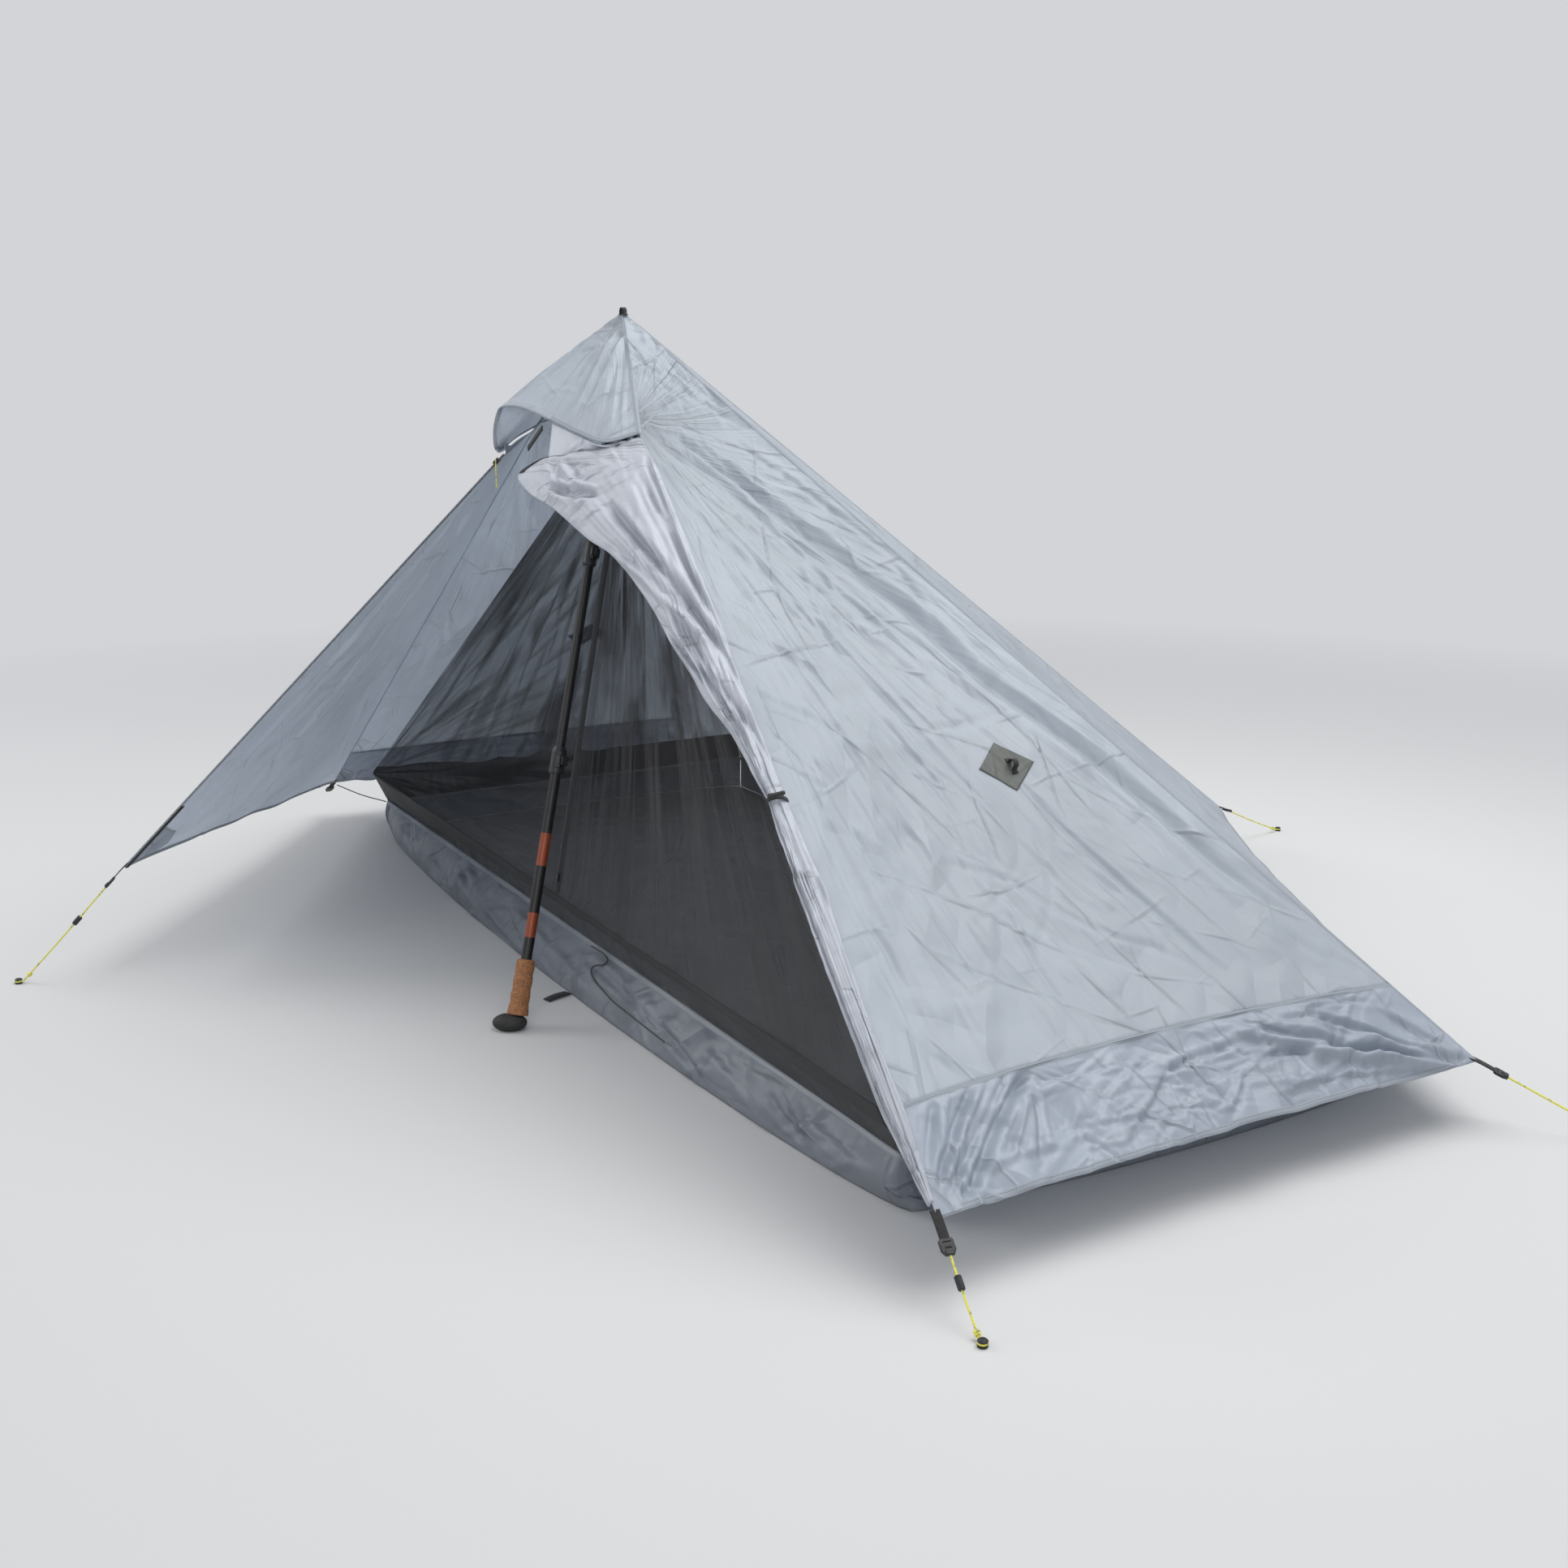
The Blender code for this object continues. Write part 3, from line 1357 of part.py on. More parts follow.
def lever_at(word, collar_r, pivot, pivot_x, pivot_y):
    """The curved cam lever, with its origin on the pin it turns about."""
    inner, outer = collar_r + 0.0009, collar_r + 0.0037
    start_turn, end_turn = math.radians(52), math.radians(205)
    steps = 14
    arc = [start_turn + (end_turn - start_turn) * i / steps for i in range(steps + 1)]
    ring = [(outer * math.cos(t), outer * math.sin(t)) for t in arc]
    ring += [((outer - 0.0015) * math.cos(end_turn + 0.12), (outer - 0.0015) * math.sin(end_turn + 0.12))]
    ring += [(inner * math.cos(t), inner * math.sin(t)) for t in reversed(arc)]
    count = len(ring)
    half = 0.0074
    offset = Vector((pivot_x, pivot_y, 0))
    points = [Vector((x, y, z)) - offset for z in (-half, half) for x, y in ring]
    faces = [(c, (c + 1) % count, count + (c + 1) % count, count + c) for c in range(count)]
    faces.append(tuple(reversed(range(count))))
    faces.append(tuple(range(count, 2 * count)))
    lever = mesh_object(f"{word}_lever", points, faces, hard_plastic(), smooth=False)
    turn_outward(lever)
    lever.matrix_world = pivot
    barrel_profile = [(0.0, half), (0.0032, half), (0.0032, -half), (0.0, -half)]
    bore_profile = [(0.0, 0.02), (0.0016, 0.02), (0.0016, -0.02), (0.0, -0.02)]
    barrel = turned(f"{word}_barrel", barrel_profile, pivot, None, 16, HELPERS)
    bridge_place = pivot @ Matrix.Translation((-0.0030, 0.0036, 0))
    bridge = box(f"{word}_bridge", (0.0052, 0.0048, half * 2), bridge_place, None, HELPERS)
    combine(lever, barrel, "UNION")
    combine(lever, bridge, "UNION")
    combine(lever, turned(f"{word}_bore", bore_profile, pivot, None, 16, HELPERS), "DIFFERENCE")


def build():
    start()
    end_panels(1)
    end_panels(-1)
    rear_panels()
    left_door()
    hood()
    rolled_door()
    tub()
    mesh_front()
    mesh_sides()
    door_zip()
    mesh_zip()
    peak_pieces()
    guyouts()
    buckles()
    guylines()
    door_tieback()
    vent_strut()
    tie_and_tab()
    grip()
    shafts()
    flip_lock("lower", LOWER_LOCK_AT, MIDDLE_SHAFT_R)
    flip_lock("upper", UPPER_LOCK_AT, TIP_SHAFT_R)


build()
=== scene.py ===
# %% [markdown]
# # A one-person tent pitched on a trekking pole
# The solids of this tent come in as a fixed frame with real sizes and joints.
# On the real thing nearly everything that shows is cloth, net, webbing or cord,
# so each of those is made again here as a thin sheet or a tube in the same place.
# The hard pieces keep their solids and only get a better finish.

# %% Load the frame
import math

import bpy
import numpy as np
from mathutils import Matrix, Vector


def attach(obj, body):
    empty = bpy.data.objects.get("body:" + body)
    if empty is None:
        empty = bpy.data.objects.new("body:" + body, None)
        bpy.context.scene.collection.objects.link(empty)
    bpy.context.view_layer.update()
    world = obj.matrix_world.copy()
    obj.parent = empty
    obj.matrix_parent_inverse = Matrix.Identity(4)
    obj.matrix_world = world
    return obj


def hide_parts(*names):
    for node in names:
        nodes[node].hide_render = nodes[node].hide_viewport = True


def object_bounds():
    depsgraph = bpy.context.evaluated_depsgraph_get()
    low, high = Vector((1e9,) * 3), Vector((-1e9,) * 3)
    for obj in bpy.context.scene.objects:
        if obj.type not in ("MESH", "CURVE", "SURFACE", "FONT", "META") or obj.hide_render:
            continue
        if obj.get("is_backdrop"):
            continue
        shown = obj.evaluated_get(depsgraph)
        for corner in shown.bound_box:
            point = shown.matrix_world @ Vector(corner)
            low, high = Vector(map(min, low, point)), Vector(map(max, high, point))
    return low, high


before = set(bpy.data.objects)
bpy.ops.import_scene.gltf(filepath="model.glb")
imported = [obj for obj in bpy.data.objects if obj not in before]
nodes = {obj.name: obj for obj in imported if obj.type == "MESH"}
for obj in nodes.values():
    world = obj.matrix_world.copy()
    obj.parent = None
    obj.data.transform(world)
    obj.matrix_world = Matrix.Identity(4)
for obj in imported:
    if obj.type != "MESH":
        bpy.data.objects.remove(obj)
cad_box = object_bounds()

# %% [markdown]
# The camera stands where the photographer stood: in front of the near right end,
# a little above the peak's height. Points are written from the middle of the
# floor, and the same small shift that centres the tent is added to each.

# %% Camera and points
LENS_MM, SENSOR_MM = 39.0, 36.0
LOOK_DOWN, LOOK_ROUND = 13.45, 59.99
SHIFT_Y = 0.0256
UP = np.array([0.0, 0.0, 1.0])
SEED = 11


def at(x, y, z):
    return np.array([x, y + SHIFT_Y, z])


lens = bpy.data.cameras.new("camera")
lens.lens, lens.sensor_width = LENS_MM, SENSOR_MM
camera = bpy.data.objects.new("camera", lens)
camera.location = at(2.742, -1.608, 1.047)
camera.rotation_euler = (math.radians(90 - LOOK_DOWN), 0, math.radians(LOOK_ROUND))
bpy.context.scene.collection.objects.link(camera)
bpy.context.scene.camera = camera
bpy.context.scene.view_settings.view_transform = "Standard"
print("camera at", [round(v, 3) for v in camera.location])

# %% [markdown]
# Folds are put where the photograph shows them. A fold is written as the few
# pixels that it passes, and the point of the cloth that the camera sees there
# is looked up, so a fold always lies on its own panel.

# %% Where a point shows
PHOTO_SIDE = 1932
FOCAL_PX = lens.lens / lens.sensor_width * PHOTO_SIDE
EYE = np.array(camera.location)
RIGHTWARD, UPWARD, BACKWARD = np.array(camera.rotation_euler.to_matrix()).T


def shown_at(points):
    """Where points show in the photograph, in pixels from its top left corner."""
    rel = np.asarray(points) - EYE
    depth = -(rel @ BACKWARD)
    across = PHOTO_SIDE / 2 + FOCAL_PX * (rel @ RIGHTWARD) / depth
    down = PHOTO_SIDE / 2 - FOCAL_PX * (rel @ UPWARD) / depth
    return np.stack([across, down], axis=-1)


def cells_seen(grid, pixels):
    """The row and column, with fractions, of the spot on the grid that shows at each pixel."""
    shown = shown_at(grid)
    by_row, by_column = np.gradient(shown, axis=(0, 1))
    found = []
    for pixel in pixels:
        cell = np.unravel_index(((shown - pixel) ** 2).sum(-1).argmin(), shown.shape[:2])
        slope = np.stack([by_row[cell], by_column[cell]], axis=1)
        move = np.linalg.lstsq(slope, pixel - shown[cell], rcond=None)[0]
        found.append(np.array(cell) + np.clip(move, -0.6, 0.6))
    return np.array(found)


print("peak shows at", shown_at(at(-0.036, -0.325, 1.157)).round().tolist())

# %% [markdown]
# Materials are built from a few nodes each. A short helper adds a node, sets its
# values by name and links what feeds it, so that each finish reads as a recipe.

# %% Node helpers


def new_finish(name, colour, roughness, metallic=0.0, sheen=0.0):
    made = bpy.data.materials.new(name)
    made.use_nodes = True
    skin = made.node_tree.nodes["Principled BSDF"]
    skin.inputs["Base Color"].default_value = (*colour, 1)
    skin.inputs["Roughness"].default_value = roughness
    skin.inputs["Metallic"].default_value = metallic
    skin.inputs["Sheen Weight"].default_value = sheen
    return made, made.node_tree, skin


def add(tree, kind, feeds=None, **values):
    made = tree.nodes.new("ShaderNode" + kind)
    for key, value in values.items():
        if hasattr(made, key):
            setattr(made, key, value)
        else:
            made.inputs[key.replace("_", " ")].default_value = value
    for key, source in (feeds or {}).items():
        tree.links.new(source, made.inputs[key])
    return made


def maths(tree, operation, first, second=0.0, third=0.0):
    made = tree.nodes.new("ShaderNodeMath")
    made.operation = operation
    for number, value in enumerate((first, second, third)):
        if isinstance(value, (int, float)):
            made.inputs[number].default_value = value
        else:
            tree.links.new(value, made.inputs[number])
    return made.outputs[0]


def two_tones(tree, share, first, second):
    """A colour between two, by the share."""
    made = tree.nodes.new("ShaderNodeMix")
    made.data_type = "RGBA"
    tree.links.new(share, made.inputs[0])
    for number, colour in ((6, first), (7, second)):
        if isinstance(colour, tuple):
            made.inputs[number].default_value = (*colour, 1)
        else:
            tree.links.new(colour, made.inputs[number])
    return made.outputs[2]


def spread(tree, value, low, high, to_low=0.0, to_high=1.0):
    """Maps a value's range onto another, and holds it there."""
    made = tree.nodes.new("ShaderNodeMapRange")
    tree.links.new(value, made.inputs[0])
    for number, limit in enumerate((low, high, to_low, to_high), 1):
        made.inputs[number].default_value = limit
    return made.outputs[0]


def cut_place(tree, scale=(1, 1, 1)):
    """Places in metres on the flat cut of the cloth."""
    where = add(tree, "UVMap", uv_map="Cut")
    return add(tree, "Mapping", {"Vector": where.outputs[0]}, Scale=scale).outputs[0]


def coloured(tree, skin, share, first, second):
    """Gives the surface a colour between two, by the share."""
    tone = two_tones(tree, share, first, second)
    tree.links.new(tone, skin.inputs["Base Color"])
    return tone


def roughened(tree, skin, value, low, high, least, most):
    """Lets the roughness follow a value."""
    tree.links.new(spread(tree, value, low, high, least, most), skin.inputs["Roughness"])


def bumps(tree, skin, heights):
    """Chains bump nodes: each height is (socket, distance in metres, strength)."""
    last = None
    for height, distance, strength in heights:
        made = add(tree, "Bump", {"Height": height}, Distance=distance, Strength=strength)
        if last:
            tree.links.new(last, made.inputs["Normal"])
        last = made.outputs[0]
    tree.links.new(last, skin.inputs["Normal"])


print("node helpers ready")

# %% [markdown]
# Coated nylon is thin: it shines softly, lets some light through and keeps two
# kinds of creases. Long soft ones come from the pull of the guylines, and the
# larger packing creases are sharp: both are made in the mesh. The finest creases
# are made in the bump, from straight folded waves that show only in patches. The
# weave is a fine grid of threads, a little under a millimetre apart.

# %% Coated nylon


def crease_wave(tree, place, turn, apart, wander, seed):
    """A folded wave: straight creases about a distance apart, turned and bent a little."""
    bent = add(tree, "TexNoise", {"Vector": place}, noise_dimensions="4D", W=seed, Scale=2.6, Detail=1.0)
    turned = add(tree, "Mapping", {"Vector": place}, Rotation=(0, 0, turn), Scale=(1 / apart, 1 / apart, 1))
    across = add(tree, "SeparateXYZ", {0: turned.outputs[0]}).outputs[0]
    moved = maths(tree, "MULTIPLY_ADD", bent.outputs[0], wander, across)
    wave = maths(tree, "PINGPONG", moved, 0.5)
    patches = add(
        tree, "TexNoise", {"Vector": place}, noise_dimensions="4D", W=seed + 5, Scale=7.5, Detail=1.0,
    )
    return wave, spread(tree, patches.outputs[0], 0.50, 0.66)


def glow_through(tree, skin, tone, through):
    """Lets a share of the light through the cloth, in the cloth's own colour."""
    bump = skin.inputs["Normal"].links[0].from_socket
    glow = add(tree, "BsdfTranslucent", {"Color": tone, "Normal": bump})
    both = add(tree, "MixShader", {1: skin.outputs[0], 2: glow.outputs[0]})
    both.inputs[0].default_value = through
    tree.links.new(both.outputs[0], tree.nodes["Material Output"].inputs["Surface"])


def coated_cloth(name, colour, shade, roughness, through, folded, streaked=1.0):
    made, tree, skin = new_finish(name, colour, roughness, sheen=0.05)
    place = cut_place(tree)
    cloud = add(tree, "TexNoise", {"Vector": place}, Scale=2.2, Detail=3.0)
    tone = coloured(tree, skin, spread(tree, cloud.outputs[0], 0.35, 0.68), colour, shade)
    heights = []
    for number, (turn, apart, depth, sharp) in enumerate(PACKING):
        wave, shown = crease_wave(tree, place, turn, apart, 1.4, 1.7 * number)
        if sharp:
            wave = spread(tree, wave, 0.0, sharp / apart, 0.5, 0.0)
        heights.append((maths(tree, "MULTIPLY", wave, shown), 2 * depth * folded, 0.9))
    pull = add(tree, "UVMap", uv_map="Pull").outputs[0]
    for across, along, depth in PULL_STREAKS:
        lane = add(tree, "Mapping", {"Vector": pull}, Scale=(across, along, 1)).outputs[0]
        streak = add(
            tree, "TexNoise", {"Vector": lane},
            noise_type="RIDGED_MULTIFRACTAL", Scale=1.0, Detail=2.0, Roughness=0.4,
        )
        heights.append((streak.outputs[0], depth * streaked, 0.8))
    crinkle = add(
        tree, "TexNoise", {"Vector": place},
        noise_type="RIDGED_MULTIFRACTAL", Scale=24.0, Detail=4.0, Roughness=0.55, Distortion=0.8,
    )
    threads = add(tree, "SeparateXYZ", {0: cut_place(tree, (THREADS, THREADS, 1))})
    warp = maths(tree, "SINE", threads.outputs[0])
    weft = maths(tree, "SINE", threads.outputs[1])
    weave = maths(tree, "MULTIPLY", warp, weft)
    shine = add(tree, "TexNoise", {"Vector": place}, Scale=9.0, Detail=2.0)
    roughened(tree, skin, shine.outputs[0], 0.3, 0.7, roughness - 0.06, roughness + 0.07)
    bumps(tree, skin, heights + [(crinkle.outputs[0], 0.0007 * folded, 0.8), (weave, 0.00012, 0.3)])
    glow_through(tree, skin, tone, through)
    return made


THREADS = 7200
# how fine across and along the pull, and height
PULL_STREAKS = ((34, 1.6, 0.0022), (90, 3.0, 0.0010))
# turn, metres apart, height, and the width of a sharp crease or 0 for flat facets
PACKING = (
    (0.45, 0.085, 0.0048, 0.0), (-0.85, 0.120, 0.0060, 0.0), (1.35, 0.120, 0.0016, 0.005),
    (-0.35, 0.090, 0.0014, 0.004), (2.20, 0.100, 0.0016, 0.005), (0.10, 0.140, 0.0014, 0.004),
)
fly_cloth = coated_cloth("fly nylon", (0.69, 0.738, 0.795), (0.615, 0.662, 0.718), 0.38, 0.53, 1.6, 1.7)
# The lower bands use the fly's own nylon with a darker colour: painted shade for their steeper, less lit
# cloth.
shaded_skirt_cloth = coated_cloth("skirt nylon painted shade", (0.53, 0.585, 0.67), (0.40, 0.45, 0.53), 0.34, 0.34, 1.9, 1.2)
roll_cloth = coated_cloth("rolled nylon", (0.68, 0.712, 0.78), (0.59, 0.62, 0.69), 0.36, 0.30, 1.3, 1.2)
tub_cloth = coated_cloth("floor nylon", (0.29, 0.32, 0.37), (0.20, 0.222, 0.265), 0.36, 0.26, 1.8)
floor_cloth = coated_cloth("floor nylon inside", (0.34, 0.33, 0.325), (0.26, 0.252, 0.247), 0.5, 0.0, 1.3)
patch_cloth = coated_cloth("patch nylon", (0.068, 0.078, 0.070), (0.055, 0.064, 0.058), 0.5, 0.0, 0.4)
print("cloth:", fly_cloth.name, shaded_skirt_cloth.name, roll_cloth.name, tub_cloth.name, patch_cloth.name)

# %% [markdown]
# A seam is folded cloth with two rows of stitches. On a ribbon whose map runs
# along its length, a sine makes each row of thread: it dips at every needle hole,
# and the cloth puckers a little more widely around it. Where the two folded edges
# meet in the middle, a thin line of painted shade is drawn in the thread's colour.

# %% Stitched seams


STITCH = 0.0034


def stitched(name, colour, thread, roughness=0.5, rows_apart=STITCH, gap=0.0, through=0.40):
    made, tree, skin = new_finish(name, colour, roughness, sheen=0.1)
    where = add(tree, "SeparateXYZ", {0: cut_place(tree)})
    along, across = where.outputs[0], where.outputs[1]
    off = maths(tree, "ABSOLUTE", maths(tree, "SUBTRACT", maths(tree, "ABSOLUTE", across), rows_apart))
    line = spread(tree, off, 0.0004, 0.0009, 1.0, 0.0)
    wave = maths(tree, "SINE", maths(tree, "MULTIPLY", along, math.tau / STITCH))
    stitch = maths(tree, "MULTIPLY", line, spread(tree, wave, -0.5, 0.1))
    # painted shade: a thin dark line, in the thread's colour, along the middle where the two edges meet
    gap_painted_shade = spread(tree, maths(tree, "ABSOLUTE", across), gap * 0.5, gap + 0.0002, 1.0, 0.0)
    tone = coloured(tree, skin, maths(tree, "MAXIMUM", stitch, gap_painted_shade), colour, thread)
    pucker = add(tree, "TexNoise", {"Vector": cut_place(tree, (110, 20, 1))}, Scale=1.0, Detail=2.0)
    dip = spread(tree, off, 0.0, 0.0024, 0.0, 1.0)
    bumps(tree, skin, [(pucker.outputs[0], 0.0016, 0.5), (dip, 0.0006, 0.5), (stitch, 0.0004, 0.6)])
    glow_through(tree, skin, tone, through)
    return made


seam_finish = stitched("fly seam", (0.53, 0.58, 0.64), (0.30, 0.33, 0.38), rows_apart=0.0022, gap=0.0005)
line_finish = stitched("fly stitch line", (0.52, 0.57, 0.63), (0.27, 0.30, 0.35), rows_apart=0.0)
hem_finish = stitched("fly hem", (0.46, 0.505, 0.565), (0.26, 0.285, 0.33), rows_apart=0.0026)
tub_hem_finish = stitched(
    "floor hem", (0.33, 0.36, 0.405), (0.20, 0.22, 0.25), rows_apart=0.0030, through=0.2,
)
lip_finish = stitched(
    "hood lip", (0.50, 0.54, 0.60), (0.28, 0.30, 0.34), 0.7, rows_apart=0.0045, through=0.3,
)
print("stitches every", STITCH * 1000, "mm")

# %% [markdown]
# Insect net is mostly holes. The weight of the look is in how much it hides. The
# holes are round gaps between two sets of threads, 0.85 mm apart, and where the
# net lies in folds it hides more. Webbing has slanted ribs, and the guylines are
# a bright braid with darker flecks.

# %% Net, webbing and cord
HOLE, RIB, PLAIT = 0.00085, 0.0011, 0.0042
NET_FOLDS = ((13, 1.4, 0.50, 0.66), (42, 2.2, 0.52, 0.70))


def insect_net(name, colour, hides, folds_hide):
    made, tree, skin = new_finish(name, colour, 0.62, sheen=0.05)
    step = math.tau / (2 * HOLE)
    where = add(tree, "SeparateXYZ", {0: cut_place(tree, (step, step, 1))})
    rows = maths(tree, "ABSOLUTE", maths(tree, "SINE", where.outputs[0]))
    lines = maths(tree, "ABSOLUTE", maths(tree, "SINE", where.outputs[1]))
    hole = maths(tree, "MULTIPLY", rows, lines)
    pull = add(tree, "UVMap", uv_map="Pull").outputs[0]
    hidden = []
    for across, along, low, high in NET_FOLDS:
        lane = add(tree, "Mapping", {"Vector": pull}, Scale=(across, along, 1)).outputs[0]
        noise = add(
            tree, "TexNoise", {"Vector": lane}, Scale=1.0, Detail=3.0, Roughness=0.55, Distortion=0.3,
        )
        hidden.append(spread(tree, noise.outputs[0], low, high, 0.0, folds_hide))
    limit = maths(tree, "ADD", maths(tree, "ADD", hidden[0], hidden[1]), hides)
    thread = spread(tree, maths(tree, "SUBTRACT", limit, hole), -0.04, 0.04)
    tree.links.new(thread, skin.inputs["Alpha"])
    bumps(tree, skin, [(hidden[1], 0.002, 0.6)])
    return made


def woven_tape(name, colour):
    made, tree, skin = new_finish(name, colour, 0.7, sheen=0.08)
    step = math.tau / RIB
    where = add(tree, "SeparateXYZ", {0: cut_place(tree, (step, step, 1))})
    zig = maths(tree, "ABSOLUTE", maths(tree, "SINE", maths(tree, "MULTIPLY", where.outputs[1], 0.28)))
    ribs = maths(tree, "SINE", maths(tree, "ADD", where.outputs[0], maths(tree, "MULTIPLY", zig, 2.2)))
    worn = add(tree, "TexNoise", {"Vector": cut_place(tree)}, Scale=160.0, Detail=3.0)
    lighter = tuple(min(1.0, c * 2.1 + 0.006) for c in colour)
    coloured(tree, skin, spread(tree, worn.outputs[0], 0.45, 0.75), colour, lighter)
    bumps(tree, skin, [(ribs, 0.0003, 0.5), (worn.outputs[0], 0.0003, 0.4)])
    return made


def braid(name, colour, fleck):
    made, tree, skin = new_finish(name, colour, 0.62, sheen=0.2)
    place = add(tree, "TexCoord").outputs["Object"]
    twist = add(
        tree, "TexWave", {"Vector": place}, bands_direction="DIAGONAL", Scale=0.31 / PLAIT, Distortion=0.6,
    )
    grain = add(tree, "TexVoronoi", {"Vector": place}, Scale=420.0)
    flecks = add(tree, "TexNoise", {"Vector": place}, Scale=150.0, Detail=1.0)
    share = spread(tree, flecks.outputs[0], 0.58, 0.66)
    coloured(tree, skin, share, colour, fleck)
    bumps(tree, skin, [(twist.outputs[1], 0.0004, 0.6), (grain.outputs[0], 0.0003, 0.5)])
    return made


net_finish = insect_net("black net", (0.032, 0.032, 0.035), 0.09, 0.33)
band_finish = insect_net("black net doubled", (0.010, 0.010, 0.011), 0.86, 0.10)
tape_finish = woven_tape("black webbing", (0.007, 0.007, 0.008))
storm_finish = woven_tape("grey zip tape", (0.34, 0.37, 0.41))
yellow_braid = braid("yellow braid", (0.72, 0.68, 0.10), (0.34, 0.33, 0.10))
black_braid = braid("black braid", (0.014, 0.014, 0.015), (0.03, 0.03, 0.032))
print("net, webbing and braid ready")

# %% [markdown]
# The hard finishes are plain plastic, cork, rubber and anodised tube. Cork is
# pressed granules, so cells of a Voronoi pattern take slightly different browns
# and the gaps go dark. The tube is black with orange bands, placed by distance
# along the pole.

# %% Hard finishes
ORANGE_BANDS = ((0.153, 0.194), (0.273, 0.328))
POLE_FOOT = at(0.2375, -0.6745, 0.0)
POLE_TOP = at(-0.0305, -0.3155, 1.157)
POLE_WAY = (POLE_TOP - POLE_FOOT) / np.linalg.norm(POLE_TOP - POLE_FOOT)


def moulded(name, colour, roughness, grain=900.0, depth=0.00012):
    made, tree, skin = new_finish(name, colour, roughness)
    place = add(tree, "TexCoord").outputs["Object"]
    fine = add(tree, "TexNoise", {"Vector": place}, Scale=grain, Detail=2.0)
    scuffs = add(tree, "TexNoise", {"Vector": place}, Scale=120.0, Detail=4.0)
    roughened(tree, skin, scuffs.outputs[0], 0.3, 0.75, roughness - 0.08, roughness + 0.15)
    lighter = tuple(c * 1.9 + 0.004 for c in colour)
    coloured(tree, skin, spread(tree, scuffs.outputs[0], 0.55, 0.8), colour, lighter)
    bumps(tree, skin, [(fine.outputs[0], depth, 0.5)])
    return made


def pressed_cork():
    made, tree, skin = new_finish("pressed cork", (0.34, 0.15, 0.06), 0.78)
    place = add(tree, "TexCoord").outputs["Object"]
    grains = add(tree, "TexVoronoi", {"Vector": place}, Scale=330.0)
    gaps = add(tree, "TexVoronoi", {"Vector": place}, feature="DISTANCE_TO_EDGE", Scale=330.0)
    specks = add(tree, "TexNoise", {"Vector": place}, Scale=210.0, Detail=3.0)
    shade = add(tree, "SeparateXYZ", {0: grains.outputs["Color"]}).outputs[0]
    brown = two_tones(tree, shade, (0.27, 0.115, 0.045), (0.40, 0.185, 0.08))
    between = spread(tree, gaps.outputs["Distance"], 0.0, 0.06, 0.8, 0.0)
    pits = maths(tree, "MAXIMUM", between, spread(tree, specks.outputs[0], 0.62, 0.68))
    coloured(tree, skin, pits, brown, (0.05, 0.022, 0.010))
    bumps(tree, skin, [(pits, 0.0004, -0.6), (grains.outputs["Distance"], 0.0003, 0.4)])
    return made


def banded_tube():
    made, tree, skin = new_finish("anodised tube", (0.012, 0.012, 0.013), 0.36, 0.25)
    place = add(tree, "TexCoord").outputs["Object"]
    from_foot = add(tree, "VectorMath", {0: place}, operation="SUBTRACT")
    from_foot.inputs[1].default_value = tuple(POLE_FOOT)
    run = add(tree, "VectorMath", {0: from_foot.outputs[0]}, operation="DOT_PRODUCT")
    run.inputs[1].default_value = tuple(POLE_WAY)
    bands = []
    for low, high in ORANGE_BANDS:
        past = maths(tree, "GREATER_THAN", run.outputs["Value"], low)
        short_of = maths(tree, "LESS_THAN", run.outputs["Value"], high)
        bands.append(maths(tree, "MULTIPLY", past, short_of))
    worn = add(tree, "TexNoise", {"Vector": place}, Scale=90.0, Detail=5.0)
    rubbed = spread(tree, worn.outputs[0], 0.6, 0.8)
    black = two_tones(tree, rubbed, (0.012, 0.012, 0.013), (0.034, 0.034, 0.037))
    coloured(tree, skin, maths(tree, "ADD", *bands), black, (0.24, 0.050, 0.018))
    roughened(tree, skin, worn.outputs[0], 0.3, 0.8, 0.28, 0.46)
    drawn = add(tree, "TexNoise", {"Vector": place}, Scale=700.0, Detail=2.0)
    bumps(tree, skin, [(drawn.outputs[0], 0.00005, 0.4)])
    return made


plastic_finish = moulded("black moulding", (0.014, 0.014, 0.016), 0.38)
rubber_finish = moulded("black rubber", (0.016, 0.016, 0.016), 0.62, 420.0, 0.0004)
coil_finish = moulded("grey coil", (0.24, 0.26, 0.29), 0.42)
cork_finish = pressed_cork()
tube_finish = banded_tube()
HARD = {
    plastic_finish: (
        "zip_slider", "mesh_slider", "anchor_door", "anchor_front_right", "anchor_back_right", "anchor_rear",
        "tensioner_door", "tensioner_front_right", "toggle_bar", "lower_clamp", "lower_lever",
        "upper_clamp", "upper_lever",
    ),
    rubber_finish: ("grip_head",),
    cork_finish: ("cork_grip",),
    tube_finish: ("grip_shaft", "middle_shaft", "tip_shaft"),
}
for finish, names in HARD.items():
    for name in names:
        nodes[name].material_slots[0].material = finish
print("hard solids refinished:", sum(len(names) for names in HARD.values()))

# %% [markdown]
# Every sheet starts as a grid of points. These helpers turn a grid into a thin
# closed mesh with a map in metres, press creases into it, and run a folded ribbon
# along an edge for a hem or a seam. Most of the creases of the real cloth can't be
# copied one by one, so the small ones are drawn at random from a fixed seed.

# %% Cloth helpers
CLOTH = 0.0006
INSIDE = np.array([0.0, 0.0, 0.3])
RIPPLE_WAVES = 9


def unit(vectors):
    vectors = np.asarray(vectors, float)
    return vectors / np.maximum(np.linalg.norm(vectors, axis=-1, keepdims=True), 1e-12)


def run_of(line):
    """The distance along a line at each of its points."""
    return np.concatenate([[0], np.cumsum(np.linalg.norm(np.diff(line, axis=0), axis=1))])


def read_off(spots, marks, table):
    """Each column of a table, given at some marks, read off at other spots."""
    table = np.asarray(table, float)
    return np.stack([np.interp(spots, marks, table[:, i]) for i in range(table.shape[1])], axis=1)


